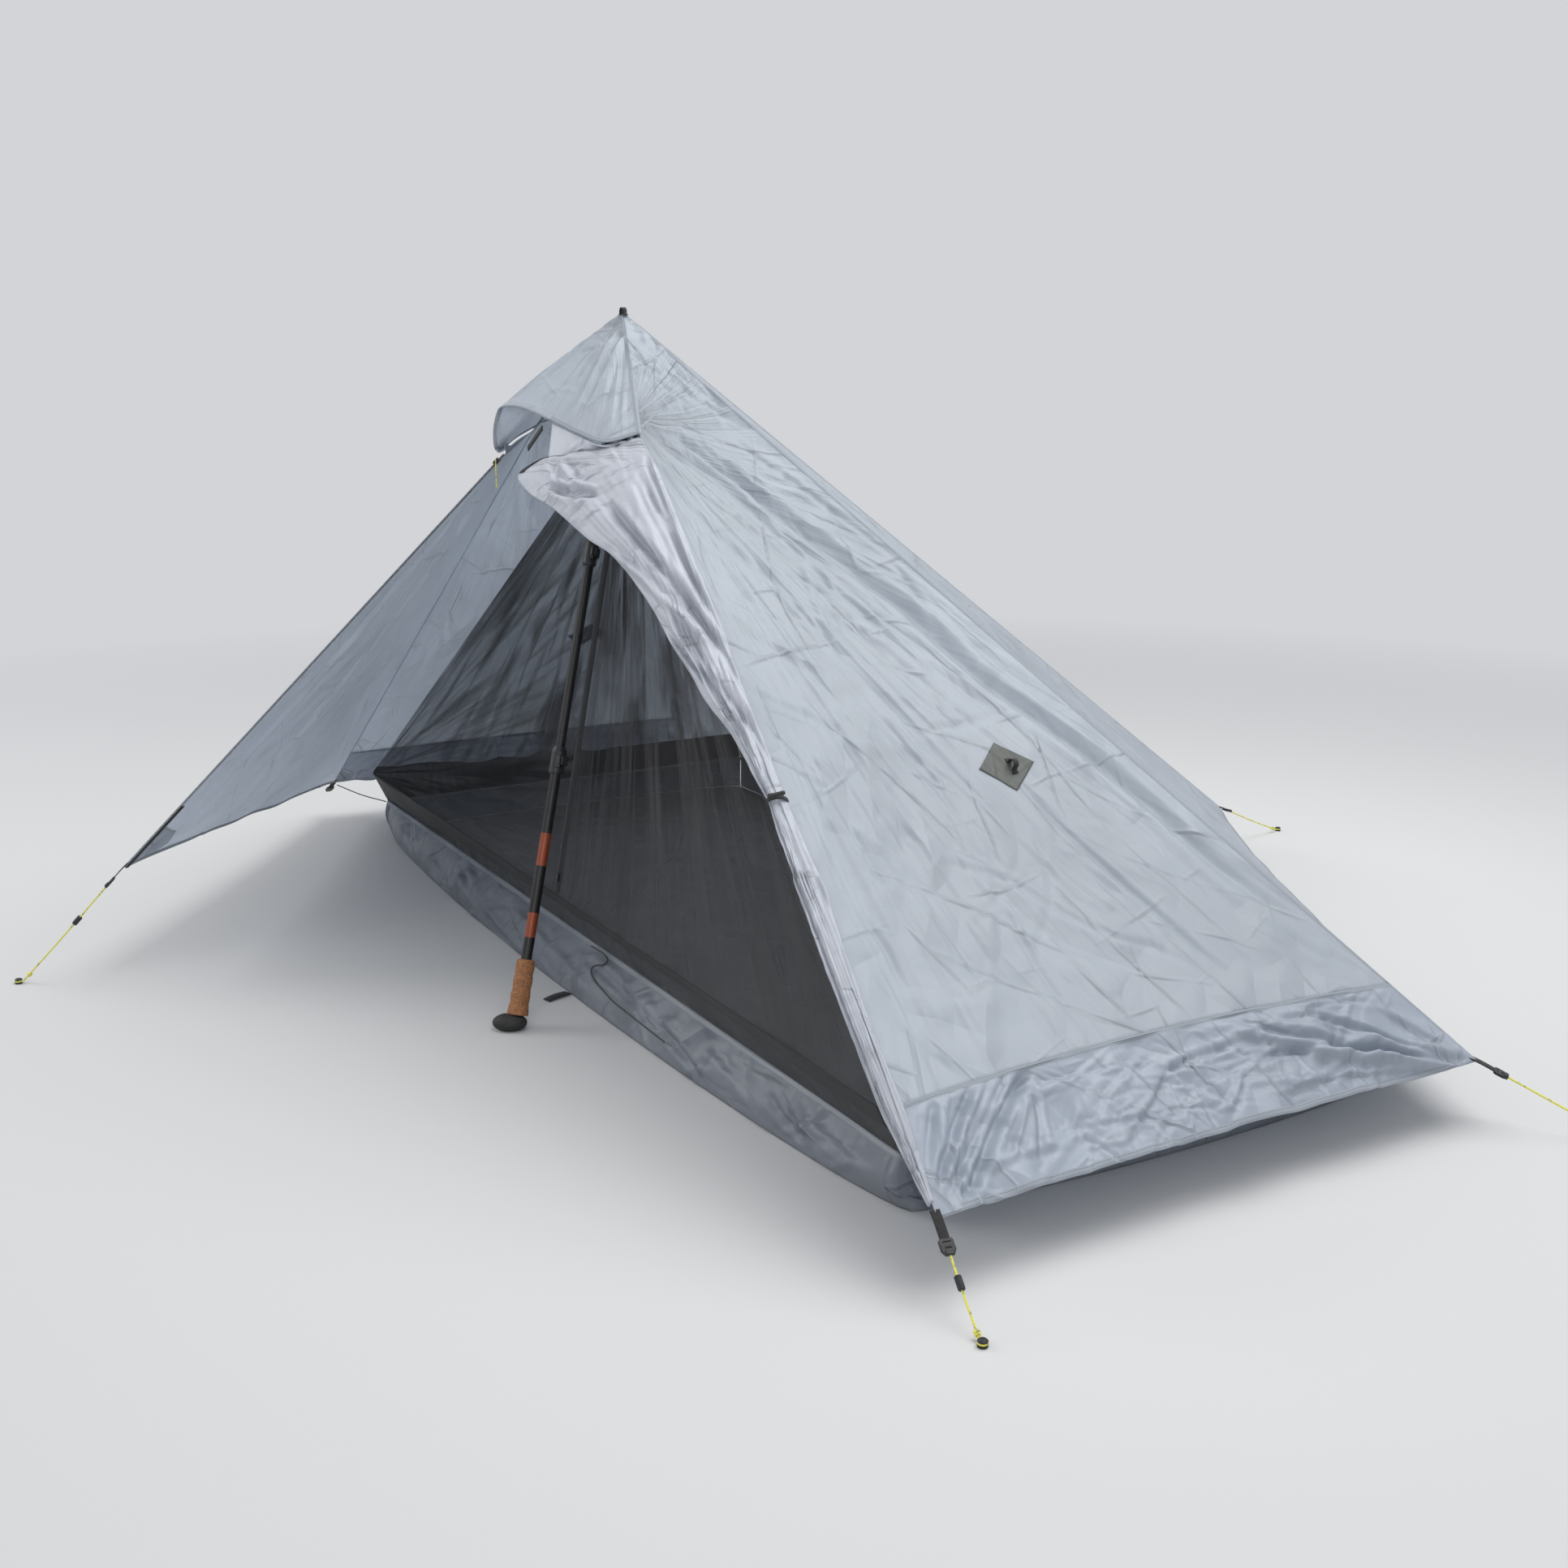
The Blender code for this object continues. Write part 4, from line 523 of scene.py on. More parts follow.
def respaced(line, count):
    """A line with another number of points, at even shares of its own."""
    return read_off(np.linspace(0, 1, count), np.linspace(0, 1, len(line)), line)


def facing(grid):
    """The grid's normals, turned away from the inside of the tent."""
    rows = np.gradient(grid, axis=0)
    columns = np.gradient(grid, axis=1)
    normal = unit(np.cross(columns, rows))
    middle = grid.shape[0] // 2, grid.shape[1] // 2
    if normal[middle] @ (grid[middle] - INSIDE) < 0:
        normal = -normal
    return normal


def lie_of(grid):
    """The directions that run across and up a panel."""
    across = unit(grid[-1, -1] - grid[-1, 0])
    up = unit(grid[0].mean(0) - grid[-1].mean(0))
    return across, unit(up - across * (up @ across))


def flat_map(grid):
    """Places in metres on the panel laid flat, with the second one running up the panel."""
    across, up = lie_of(grid)
    spots = grid - grid[-1, 0]
    return np.stack([spots @ across, spots @ up], axis=-1)


def cut_of(grid):
    """A panel's flat cut: its width, its length and its area, measured without the small creases."""
    rows = np.linspace(0, grid.shape[0] - 1, 13).round().astype(int)
    columns = np.linspace(0, grid.shape[1] - 1, 13).round().astype(int)
    smooth = grid[rows][:, columns]
    flat = flat_map(smooth).reshape(-1, 2)
    wide, long_ = flat.max(0) - flat.min(0)
    first = np.cross(smooth[1:, :-1] - smooth[:-1, :-1], smooth[:-1, 1:] - smooth[:-1, :-1])
    second = np.cross(smooth[1:, :-1] - smooth[1:, 1:], smooth[:-1, 1:] - smooth[1:, 1:])
    area = (np.linalg.norm(first, axis=-1).sum() + np.linalg.norm(second, axis=-1).sum()) / 2
    long_ = max(long_, area / wide)
    return (math.ceil(wide * 1000) / 1000, math.ceil(long_ * 1000) / 1000), round(float(area), 4)


def grid_mesh(name, grid, places=None, closed=False):
    """A mesh of quads over a grid of points, with its map named Cut."""
    high, wide = grid.shape[:2]
    ids = np.arange(high * wide).reshape(high, wide)
    if closed:
        ids = np.concatenate([ids, ids[:, :1]], axis=1)
    quads = np.stack([ids[:-1, :-1], ids[:-1, 1:], ids[1:, 1:], ids[1:, :-1]], axis=-1).reshape(-1, 4)
    mesh = bpy.data.meshes.new(name)
    mesh.from_pydata(grid.reshape(-1, 3).tolist(), [], quads.tolist())
    if places is not None:
        layer = mesh.uv_layers.new(name="Cut")
        layer.data.foreach_set("uv", places.reshape(-1, 2)[quads.ravel()].ravel())
    mesh.shade_smooth()
    return mesh


def place_piece(name, mesh, paint, stands_for=(), body="tent"):
    piece = bpy.data.objects.new(name, mesh)
    bpy.context.scene.collection.objects.link(piece)
    if not mesh.materials:
        mesh.materials.append(paint)
    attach(piece, body)
    if stands_for:
        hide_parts(*stands_for)
    return piece


def thickened(piece, thickness):
    shell = piece.modifiers.new("thickness", "SOLIDIFY")
    shell.thickness, shell.offset = thickness, 0.0
    return piece


def pull_map(grid, centre):
    """The angle and distance of each point about the point that the sheet hangs from."""
    across, up = lie_of(grid)
    rel = grid - centre
    return np.stack([np.arctan2(rel @ across, -(rel @ up)), np.linalg.norm(rel, axis=-1)], axis=-1)


def cloth_piece(name, grid, paint, stands_for=(), thickness=CLOTH, places=None, pull=None):
    """A sheet of cloth as a closed thin shell."""
    mesh = grid_mesh(name, grid, flat_map(grid) if places is None else places)
    if pull is not None:
        corners = np.array([loop.vertex_index for loop in mesh.loops])
        layer = mesh.uv_layers.new(name="Pull")
        layer.data.foreach_set("uv", pull_map(grid, pull).reshape(-1, 2)[corners].ravel())
    return thickened(place_piece(name, mesh, paint, stands_for), thickness)


def smooth_line(knots, count):
    """Points along a smooth curve through knots."""
    knots = np.asarray(knots, float)
    found = []
    for share in np.linspace(0, len(knots) - 1, count):
        k = min(int(share), len(knots) - 2)
        t = share - k
        p1, p2 = knots[k], knots[k + 1]
        p0 = knots[k - 1] if k else 2 * p1 - p2
        p3 = knots[k + 2] if k + 2 < len(knots) else 2 * p2 - p1
        bend, turn = 2 * p0 - 5 * p1 + 4 * p2 - p3, 3 * p1 - p0 - 3 * p2 + p3
        found.append((2 * p1 + (p2 - p0) * t + bend * t**2 + turn * t**3) / 2)
    return np.array(found)


def ripple(points, size, seed, along, stretch):
    """Smooth random relief about 1 high, from a few sine waves, longer along one direction."""
    draw = np.random.default_rng(SEED + seed)
    total = np.zeros(points.shape[:-1])
    for _ in range(RIPPLE_WAVES):
        way = unit(draw.normal(size=3))
        way = way - along * (way @ along) * (1 - 1 / stretch)
        pace = math.tau / size * draw.uniform(0.6, 1.5)
        total += np.sin((points @ way) * pace + draw.uniform(0, math.tau))
    return total / math.sqrt(RIPPLE_WAVES)


def on_grid(grid, across, down):
    """Points of a grid by their shares across and down."""
    row = np.clip(np.asarray(down, float), 0, 1) * (grid.shape[0] - 1)
    column = np.clip(np.asarray(across, float), 0, 1) * (grid.shape[1] - 1)
    r = np.minimum(row.astype(int), grid.shape[0] - 2)
    c = np.minimum(column.astype(int), grid.shape[1] - 2)
    v, u = (row - r)[..., None], (column - c)[..., None]
    top = grid[r, c] * (1 - u) + grid[r, c + 1] * u
    foot = grid[r + 1, c] * (1 - u) + grid[r + 1, c + 1] * u
    return top * (1 - v) + foot * v


def from_line(grid, normal, line):
    """How far each point lies to one side of a line, and the share of the line that it is beside."""
    lengths = np.linalg.norm(np.diff(line, axis=0), axis=1)
    starts = np.concatenate([[0], np.cumsum(lengths)])
    near = np.full(grid.shape[:2], 9.0)
    signed, run = near.copy(), np.zeros_like(near)
    for first, last, length, before in zip(line[:-1], line[1:], lengths, starts):
        if length < 1e-6:
            continue
        way = (last - first) / length
        along = np.clip((grid - first) @ way, 0, length)
        gap = grid - first - along[..., None] * way
        distance = np.linalg.norm(gap, axis=-1)
        side = np.sign(np.einsum("ijk,ijk->ij", gap, np.cross(way, normal)))
        closer = distance < near
        near = np.where(closer, distance, near)
        signed = np.where(closer, distance * side, signed)
        run = np.where(closer, before + along, run)
    return signed, run / starts[-1]


def fold_relief(grid, normal, line, width, depth, kind):
    """A fold along a line: a valley between low ridges, a ridge, or a step that turns the light."""
    off, share = from_line(grid, normal, line)
    off = off / width
    fade = np.clip(share / 0.10, 0, 1) * np.clip((1 - share) / 0.30, 0, 1)
    fade = fade * fade * (3 - 2 * fade)
    if kind == "step":
        return depth * np.tanh(off * 1.2) * np.exp(-np.abs(off) / 3.2) * fade
    shape = np.exp(-(off**2)) - 0.40 * np.exp(-((np.abs(off) - 2.0) ** 2))
    return (depth if kind == "ridge" else -depth) * shape * fade


def folds_on(grid, folds, cells=None):
    """The relief of traced folds. Cells found on one panel can be used again on its twin."""
    normal = facing(grid)
    last = np.array(grid.shape[:2]) - 1
    cells = cells or [cells_seen(grid, pixels) / last for pixels, *_ in folds]
    total = np.zeros(grid.shape[:2])
    for (pixels, width, depth, kind), cell in zip(folds, cells):
        line = smooth_line(on_grid(grid, cell[:, 1], cell[:, 0]), 4 * len(pixels))
        total += fold_relief(grid, normal, line, width, depth, kind)
    return total, cells


def folds_by_share(grid, folds):
    """The relief of folds that are given by their ends' shares across and down."""
    normal = facing(grid)
    total = np.zeros(grid.shape[:2])
    for start, end, width, depth, kind in folds:
        middle = ((start[0] + end[0]) / 2 + 0.012, (start[1] + end[1]) / 2)
        line = smooth_line([on_grid(grid, *spot) for spot in (start, middle, end)], 12)
        total += fold_relief(grid, normal, line, width, depth, kind)
    return total


def packed(grid, seed, pull, creases=60, stars=10, depth=0.0012):
    """Small sharp creases from packing: most run with the pull, and some meet in stars."""
    draw = np.random.default_rng(SEED + seed)
    normal = facing(grid)
    total = np.zeros(grid.shape[:2])
    strokes = []
    for number in range(creases + stars):
        across, down = draw.uniform(0.05, 0.95, 2)
        spot, out = on_grid(grid, across, down), on_grid(normal, across, down)
        along = unit(pull - out * (pull @ out))
        aside = np.cross(out, along)
        if number < creases:
            turn = draw.normal(0, 0.30) if draw.random() < 0.65 else draw.uniform(0, math.pi)
            reach = draw.uniform(0.03, 0.13)
            way = along * math.cos(turn) + aside * math.sin(turn)
            bend = np.cross(out, way) * draw.normal(0, 0.10) * reach
            line = [spot - way * reach, spot + bend, spot + way * reach]
            strokes.append((line, draw.uniform(0.0022, 0.0060)))
            continue
        for turn in np.linspace(0, math.tau, 6)[:-1] + draw.uniform(0, math.tau) + draw.normal(0, 0.25, 5):
            way = along * math.cos(turn) + aside * math.sin(turn)
            reach = draw.uniform(0.02, 0.07)
            strokes.append(([spot - way * 0.002, spot + way * reach * 0.5, spot + way * reach], 0.0028))
    for line, width in strokes:
        kind = ("step", "valley", "ridge", "step")[draw.integers(4)]
        high = depth * draw.uniform(0.5, 1.4) * width / 0.004
        total += fold_relief(grid, normal, np.array(line), width, high, kind)
    return total


def fan(grid, tip, count, reach, depth):
    """Pleats that spread from a pulled corner and die out."""
    across = unit(grid[-1, -1] - grid[-1, 0])
    up = unit(np.cross(across, facing(grid)[grid.shape[0] // 2, grid.shape[1] // 2]))
    rel = grid - tip
    distance = np.linalg.norm(rel, axis=-1)
    angle = np.arctan2(rel @ up, rel @ across)
    share = distance / reach
    pleats = np.sin(angle * count + 0.8 * np.sin(3 * angle))
    return depth * pleats * share * np.exp(1 - share) * (share < 6)


def edge_mask(grid, free=()):
    """1 inside, easing to 0 at the sewn edges, so that seams stay closed."""
    down = np.linspace(0, 1, grid.shape[0])[:, None]
    across = np.linspace(0, 1, grid.shape[1])[None, :]
    mask = np.ones(grid.shape[:2])
    for word, share in (("left", across), ("right", 1 - across), ("head", down), ("foot", 1 - down)):
        if word not in free:
            mask = mask * (1 - np.exp(-((share / 0.035) ** 1.5)))
    return mask


def pressed(grid, relief, free=()):
    """The grid moved out along its normals by a relief in metres, but not at its seams."""
    return grid + facing(grid) * (relief * edge_mask(grid, free))[..., None]


def edge_strip(grid, side, width):
    """Rows of points on the cloth, from one edge inward."""
    turned = grid.transpose(1, 0, 2)
    lines = {"left": grid, "right": grid[:, ::-1], "head": turned, "foot": turned[:, ::-1]}[side]
    return np.array([read_off(np.linspace(0, width, 5), run_of(line), line) for line in lines])


def evenly(strip, count):
    """The strip with its rows spaced evenly along its first column."""
    run = run_of(strip[:, 0])
    flat = strip.reshape(len(strip), -1)
    return read_off(np.linspace(0, run[-1], count), run, flat).reshape(count, -1, 3)


def sewn_strip(name, strip, paint, thickness, lift=0.0):
    """A folded band that lies on the cloth, with its map along and across it."""
    along = run_of(strip[:, strip.shape[1] // 2])
    across = np.concatenate([[0], np.cumsum(np.linalg.norm(np.diff(strip, axis=1), axis=2).mean(0))])
    across = across - across[len(across) // 2]
    normal = unit(np.cross(np.gradient(strip, axis=0), np.gradient(strip, axis=1)))
    flip = np.sign(np.einsum("ijk,ijk->ij", normal, strip - INSIDE).sum(1))[:, None, None]
    places = np.stack(np.broadcast_arrays(along[:, None], across[None, :]), axis=-1)
    mesh = grid_mesh(name, strip + normal * flip * lift, places)
    return thickened(place_piece(name, mesh, paint), thickness)


def seam(name, grid_a, side_a, grid_b, side_b, width=0.0042, count=150):
    """The felled seam where two panels meet."""
    first = evenly(edge_strip(grid_a, side_a, width), count)
    second = evenly(edge_strip(grid_b, side_b, width), count)
    if np.linalg.norm(second[0, 0] - first[0, 0]) > np.linalg.norm(second[-1, 0] - first[0, 0]):
        second = second[::-1]
    strip = np.concatenate([first[:, ::-1], second[:, 1:]], axis=1)
    return sewn_strip(name, strip, seam_finish, 0.0006, 0.0004)


def hem(name, grid, paint=hem_finish, width=0.010, thickness=0.0011, count=220):
    """The hem folded back along a panel's lower edge."""
    strip = evenly(edge_strip(grid, "foot", width), count)
    return sewn_strip(name, strip, paint, thickness)


def radial_folds(grid, seed, centre, high, waves=(19, 31, 53, 83)):
    """Long folds that run out from the point that the sheet is pulled to."""
    angle, distance = np.moveaxis(pull_map(grid, centre), -1, 0)
    draw = np.random.default_rng(SEED + seed)
    total = np.zeros(angle.shape)
    for number, wave in enumerate(waves):
        bend = draw.uniform(0.3, 0.8) * np.sin(distance * draw.uniform(3, 6) + draw.uniform(0, 6))
        faint = 0.5 + 0.5 * np.sin(angle * draw.uniform(5, 9) + distance * 4 + draw.uniform(0, 6))
        total += 0.9 ** number * np.sin(angle * wave + bend + draw.uniform(0, math.tau)) ** 3 * faint
    return high * total * np.clip(distance / 0.35, 0.15, 1)


def share_patch(name, grid, corners, paint, stands_for=(), lift=CLOTH, thickness=CLOTH):
    """A second layer of cloth on a panel, between four corners given by shares across and down."""
    first, second, third, fourth = [np.array(corner) for corner in corners]
    share = np.linspace(0, 1, 25)
    s, t = share[:, None, None], share[None, :, None]
    spots = (first * (1 - t) + second * t) * (1 - s) + (fourth * (1 - t) + third * t) * s
    lifted = grid + facing(grid) * lift
    square = on_grid(lifted, spots[..., 0], spots[..., 1])
    return cloth_piece(name, square, paint, stands_for, thickness)


def sewn_line(name, grid, passes, width=0.004, count=90):
    """A band of stitching across a panel, past spots given by shares across and down."""
    marks = np.linspace(0, 1, len(passes))
    share = np.linspace(0, 1, count)
    spots = read_off(share, marks, passes)
    u, v = spots.T
    step = 0.004
    first = (on_grid(grid, u + step, v) - on_grid(grid, u - step, v)) / (2 * step)
    second = (on_grid(grid, u, v + step) - on_grid(grid, u, v - step)) / (2 * step)
    way = unit(np.gradient(on_grid(grid, u, v), axis=0))
    side = unit(np.cross(way, np.cross(unit(first), unit(second))))
    move = np.array([
        np.linalg.lstsq(np.stack(slopes, axis=1), aside, rcond=None)[0]
        for *slopes, aside in zip(first, second, side)
    ])
    places = spots[:, None] + move[:, None] * (np.linspace(-0.5, 0.5, 5) * width)[None, :, None]
    strip = on_grid(grid, places[..., 0], places[..., 1])
    return sewn_strip(name, strip, line_finish, 0.0007, 0.0005)


print("cloth helpers ready")

# %% [markdown]
# The fly is an irregular pyramid of six corners. Each panel is a loft between two
# straight seams, pulled in a little at its middle because cloth under tension
# takes a saddle shape. The corners are the same named points as in the solids.

# %% Corners of the fly
PEAK = at(-0.036, -0.325, 1.157)
FRONT_CORNER = at(1.268, -0.550, 0.094)
BACK_CORNER = at(1.268, 0.392, 0.094)
DOOR_TIP = at(-0.345, -1.176, 0.203)
REAR_TIP = at(0.003, 1.115, 0.100)
KNEE_RIGHT = at(0.190, -0.405, 0.958)
KNEE_LEFT = at(-0.262, -0.405, 0.958)
HOOD_NOSE = at(-0.112, -0.535, 0.986)
ZIP_TOP = at(-0.108, -0.523, 0.921)
BAND_SEAM_Z = 0.185
TRIM = 0.006


def other_end(point):
    return point * np.array([-1, 1, 1])


def at_height(top, bottom, z):
    return top + (bottom - top) * (top[2] - z) / (top[2] - bottom[2])


def below_peak(corner, distance=TRIM):
    return PEAK + unit(corner - PEAK) * distance


def seam_points(corners, rows, downs):
    return read_off(downs, np.cumsum([0, *rows]) / sum(rows), corners)


def sewn_panel(left, right, rows=(1,), sag=0.0, hem_sag=0.0, arch=(0.0, 0.0), folds=None, size=(64, 64)):
    """A panel between two seams, each listed from the top down, in the shape of its solid."""
    downs = np.linspace(0, 1, size[0] + 1)
    across = np.linspace(0, 1, size[1] + 1)[None, :, None]
    first = seam_points(left, rows, downs)[:, None]
    last = seam_points(right, rows, downs)[:, None]
    down = downs[:, None, None]
    inward = unit(np.cross(left[-1] - left[0], right[-1] - left[0]))
    if inward @ (INSIDE - left[0]) < 0:
        inward = -inward
    bow = 4 * across * (1 - across)
    depth = bow * (sag * 4 * down * (1 - down) + hem_sag * down)
    if folds:
        depth = depth + folds(across, down)
    lift = bow * (arch[0] * (1 - down) + arch[1] * down)
    up = unit(left[0] - left[-1])
    return first + (last - first) * across + inward * depth + up * lift


print("fly corners:", {"peak": PEAK.round(3).tolist(), "front": FRONT_CORNER.round(3).tolist()})

# %% [markdown]
# The two end panels are the largest. Creases run from the peak and from the bend
# under the hood down to the corners, and each lower band fans out in short pleats
# from its pulled corner. The far end mirrors the near one, with other creases.

# %% End panels and their lower bands
KNEE_SHARE = 3 / 13
# rows and columns of cells in the upper panel and in the band
END_SIZES = {"right": ((208, 232), (54, 380)), "left": ((104, 110), (24, 150))}
# each fold's pixels, its width, its depth and its kind
END_FOLDS = (
    (((801, 520), (854, 552), (912, 594), (980, 647), (1054, 705), (1107, 742), (1160, 789), (1217, 842),
      (1286, 889), (1380, 960), (1440, 1010), (1500, 1065), (1550, 1105), (1625, 1160), (1690, 1220)),
     0.0115, 0.0098, "valley"),
    (((790, 575), (850, 640), (905, 705), (960, 775), (1010, 850)), 0.0060, 0.0032, "step"),
    (((830, 545), (900, 600), (985, 680), (1060, 745), (1130, 810), (1200, 880)), 0.0055, 0.0036, "ridge"),
    (((1000, 640), (1100, 715), (1200, 800), (1300, 880), (1400, 950), (1500, 1030)),
     0.0060, 0.0038, "step"),
    (((900, 540), (1000, 610), (1120, 700), (1250, 800)), 0.0050, 0.0030, "valley"),
    (((1250, 960), (1330, 1040), (1420, 1120), (1500, 1190), (1560, 1225)), 0.0060, 0.0040, "valley"),
    (((1100, 880), (1180, 960), (1270, 1040), (1350, 1110), (1420, 1160)), 0.0060, 0.0036, "step"),
    (((875, 573), (917, 599), (959, 652), (991, 684), (1012, 721), (1054, 736), (1086, 768), (1096, 789)),
     0.0052, 0.0044, "step"),
    (((812, 573), (849, 626), (896, 673), (954, 715), (1007, 763)), 0.0080, 0.0040, "valley"),
    (((1150, 1060), (1240, 1085), (1320, 1130), (1380, 1155), (1450, 1180), (1520, 1230)),
     0.0065, 0.0030, "valley"),
    (((1215, 1095), (1300, 1160), (1380, 1210), (1450, 1260)), 0.0060, 0.0026, "step"),
    (((1080, 1030), (1150, 1140), (1215, 1210)), 0.0045, 0.0018, "step"),
    (((1205, 1010), (1215, 1070), (1222, 1160), (1220, 1230), (1225, 1300)), 0.0055, 0.0020, "ridge"),
    (((1270, 1010), (1295, 1095), (1280, 1160), (1260, 1240)), 0.0055, 0.0018, "valley"),
    (((1220, 1230), (1140, 1225)), 0.0045, 0.0016, "valley"),
    (((1220, 1230), (1137, 1275)), 0.0045, 0.0016, "step"),
    (((1145, 1130), (1122, 1195)), 0.0045, 0.0016, "step"),
    (((1065, 1015), (1050, 1110)), 0.0045, 0.0014, "ridge"),
    (((1110, 950), (1075, 1000), (1060, 1070)), 0.0045, 0.0014, "step"),
)
BAND_FOLDS = (
    (((1130, 1370), (1132, 1420), (1140, 1480)), 0.004, 0.0030, "step"),
    (((1150, 1355), (1143, 1420), (1144, 1485)), 0.005, 0.0040, "valley"),
    (((1173, 1347), (1158, 1420), (1148, 1488)), 0.005, 0.0046, "step"),
    (((1196, 1333), (1170, 1410), (1151, 1488)), 0.005, 0.0046, "valley"),
    (((1216, 1327), (1183, 1415), (1155, 1490)), 0.005, 0.0050, "step"),
    (((1240, 1318), (1197, 1415), (1160, 1492)), 0.005, 0.0044, "valley"),
    (((1266, 1309), (1228, 1382), (1202, 1452), (1168, 1495)), 0.007, 0.0070, "valley"),
    (((1263, 1356), (1248, 1434)), 0.004, 0.0030, "ridge"),
    (((1277, 1353), (1283, 1437)), 0.005, 0.0030, "valley"),
    (((1379, 1335), (1429, 1298)), 0.005, 0.0028, "step"),
    (((1437, 1318), (1408, 1376), (1373, 1423)), 0.006, 0.0036, "step"),
    (((1437, 1318), (1480, 1300), (1533, 1280)), 0.005, 0.0032, "valley"),
    (((1437, 1318), (1480, 1344), (1533, 1370)), 0.005, 0.0032, "step"),
    (((1548, 1313), (1587, 1286)), 0.005, 0.0028, "valley"),
    (((1509, 1370), (1521, 1349), (1533, 1310)), 0.005, 0.0028, "ridge"),
    (((1632, 1340), (1662, 1316)), 0.005, 0.0028, "step"),
    (((1821, 1310), (1740, 1289), (1650, 1259), (1590, 1238)), 0.005, 0.0042, "valley"),
    (((1815, 1304), (1770, 1282), (1720, 1254), (1690, 1238)), 0.005, 0.0040, "step"),
    (((1815, 1312), (1735, 1300), (1640, 1290), (1560, 1300), (1500, 1318)), 0.005, 0.0040, "valley"),
    (((1810, 1316), (1720, 1318), (1630, 1330), (1560, 1352)), 0.005, 0.0038, "step"),
    (((1821, 1310), (1710, 1295), (1620, 1280), (1500, 1250)), 0.007, 0.0056, "valley"),
    (((1821, 1310), (1740, 1307), (1650, 1304), (1566, 1280), (1455, 1271)), 0.007, 0.0056, "step"),
)
found = {}


def end_panels(side):
    word = "right" if side > 0 else "left"
    front = FRONT_CORNER if side > 0 else other_end(FRONT_CORNER)
    back = BACK_CORNER if side > 0 else other_end(BACK_CORNER)
    knee = KNEE_RIGHT if side > 0 else KNEE_LEFT
    seam_front = at_height(knee, front, BAND_SEAM_Z)
    seam_back = at_height(PEAK, back, BAND_SEAM_Z)
    knee_back = at_height(PEAK, back, knee[2])
    pull = unit(seam_back - PEAK)
    upper = sewn_panel(
        [below_peak(knee), knee, seam_front], [below_peak(back), knee_back, seam_back], (3, 10),
        sag=0.016, hem_sag=0.008, arch=(0.0, 0.020), size=END_SIZES[word][0],
    )
    relief, found["end"] = folds_on(upper, END_FOLDS, found.get("end"))
    relief += 0.0014 * ripple(upper, 0.20, 3 + side, pull, 5.0)
    relief += packed(upper, 5 + side, pull, 130, 26, 0.0017)
    relief += radial_folds(upper, 4 + side, knee + UP * 0.06, 0.0017, (43, 67, 101, 139))
    relief += fan(upper, knee, 15.0, 0.11, 0.0016) + fan(upper, seam_back, 16.0, 0.09, 0.0014)
    upper = pressed(upper, relief)
    skirt_folds = lambda across, down: (
        0.008 * 4 * across * (1 - across) * (1 - down)
        + 0.0030 * np.sin(across * 31.0) * np.sin(math.pi * across)
    )
    skirt = sewn_panel(
        [seam_front, front], [seam_back, back], (1,),
        hem_sag=0.010, arch=(0.020, 0.008), folds=skirt_folds, size=END_SIZES[word][1],
    )
    relief, found["band"] = folds_on(skirt, BAND_FOLDS, found.get("band"))
    relief += 0.0016 * ripple(skirt, 0.085, 7 + side, UP, 1.6)
    relief = 1.75 * relief + packed(skirt, 9 + side, unit(seam_back - seam_front), 90, 16, 0.0019)
    skirt = pressed(skirt, relief, ("foot",))
    return word, upper, skirt


ends = {}
for side in (1, -1):
    word, upper, skirt = end_panels(side)
    hung = KNEE_RIGHT if side > 0 else KNEE_LEFT
    top = cloth_piece(
        f"end_panel_{word}", upper, fly_cloth, [f"fly_{word}_upper"], pull=hung + UP * 0.06,
    )
    knee_row = round(KNEE_SHARE * (len(upper) - 1))
    band = cloth_piece(f"end_band_{word}", skirt, shaded_skirt_cloth, [f"fly_{word}_skirt"])
    join = seam(f"end_seam_{word}", upper, "foot", skirt, "head", width=0.0032, count=300)
    edge = hem(f"end_hem_{word}", skirt, count=240)
    ends[word] = (upper[:knee_row + 1], upper[knee_row:], skirt, upper)
    print(word, "end panel", upper.shape[:2], "band", skirt.shape[:2])

# %% [markdown]
# Behind, two panels meet on one long ridge. They are the plainest part of the
# fly, with an arched hem that lifts clear of the ground between the corners.

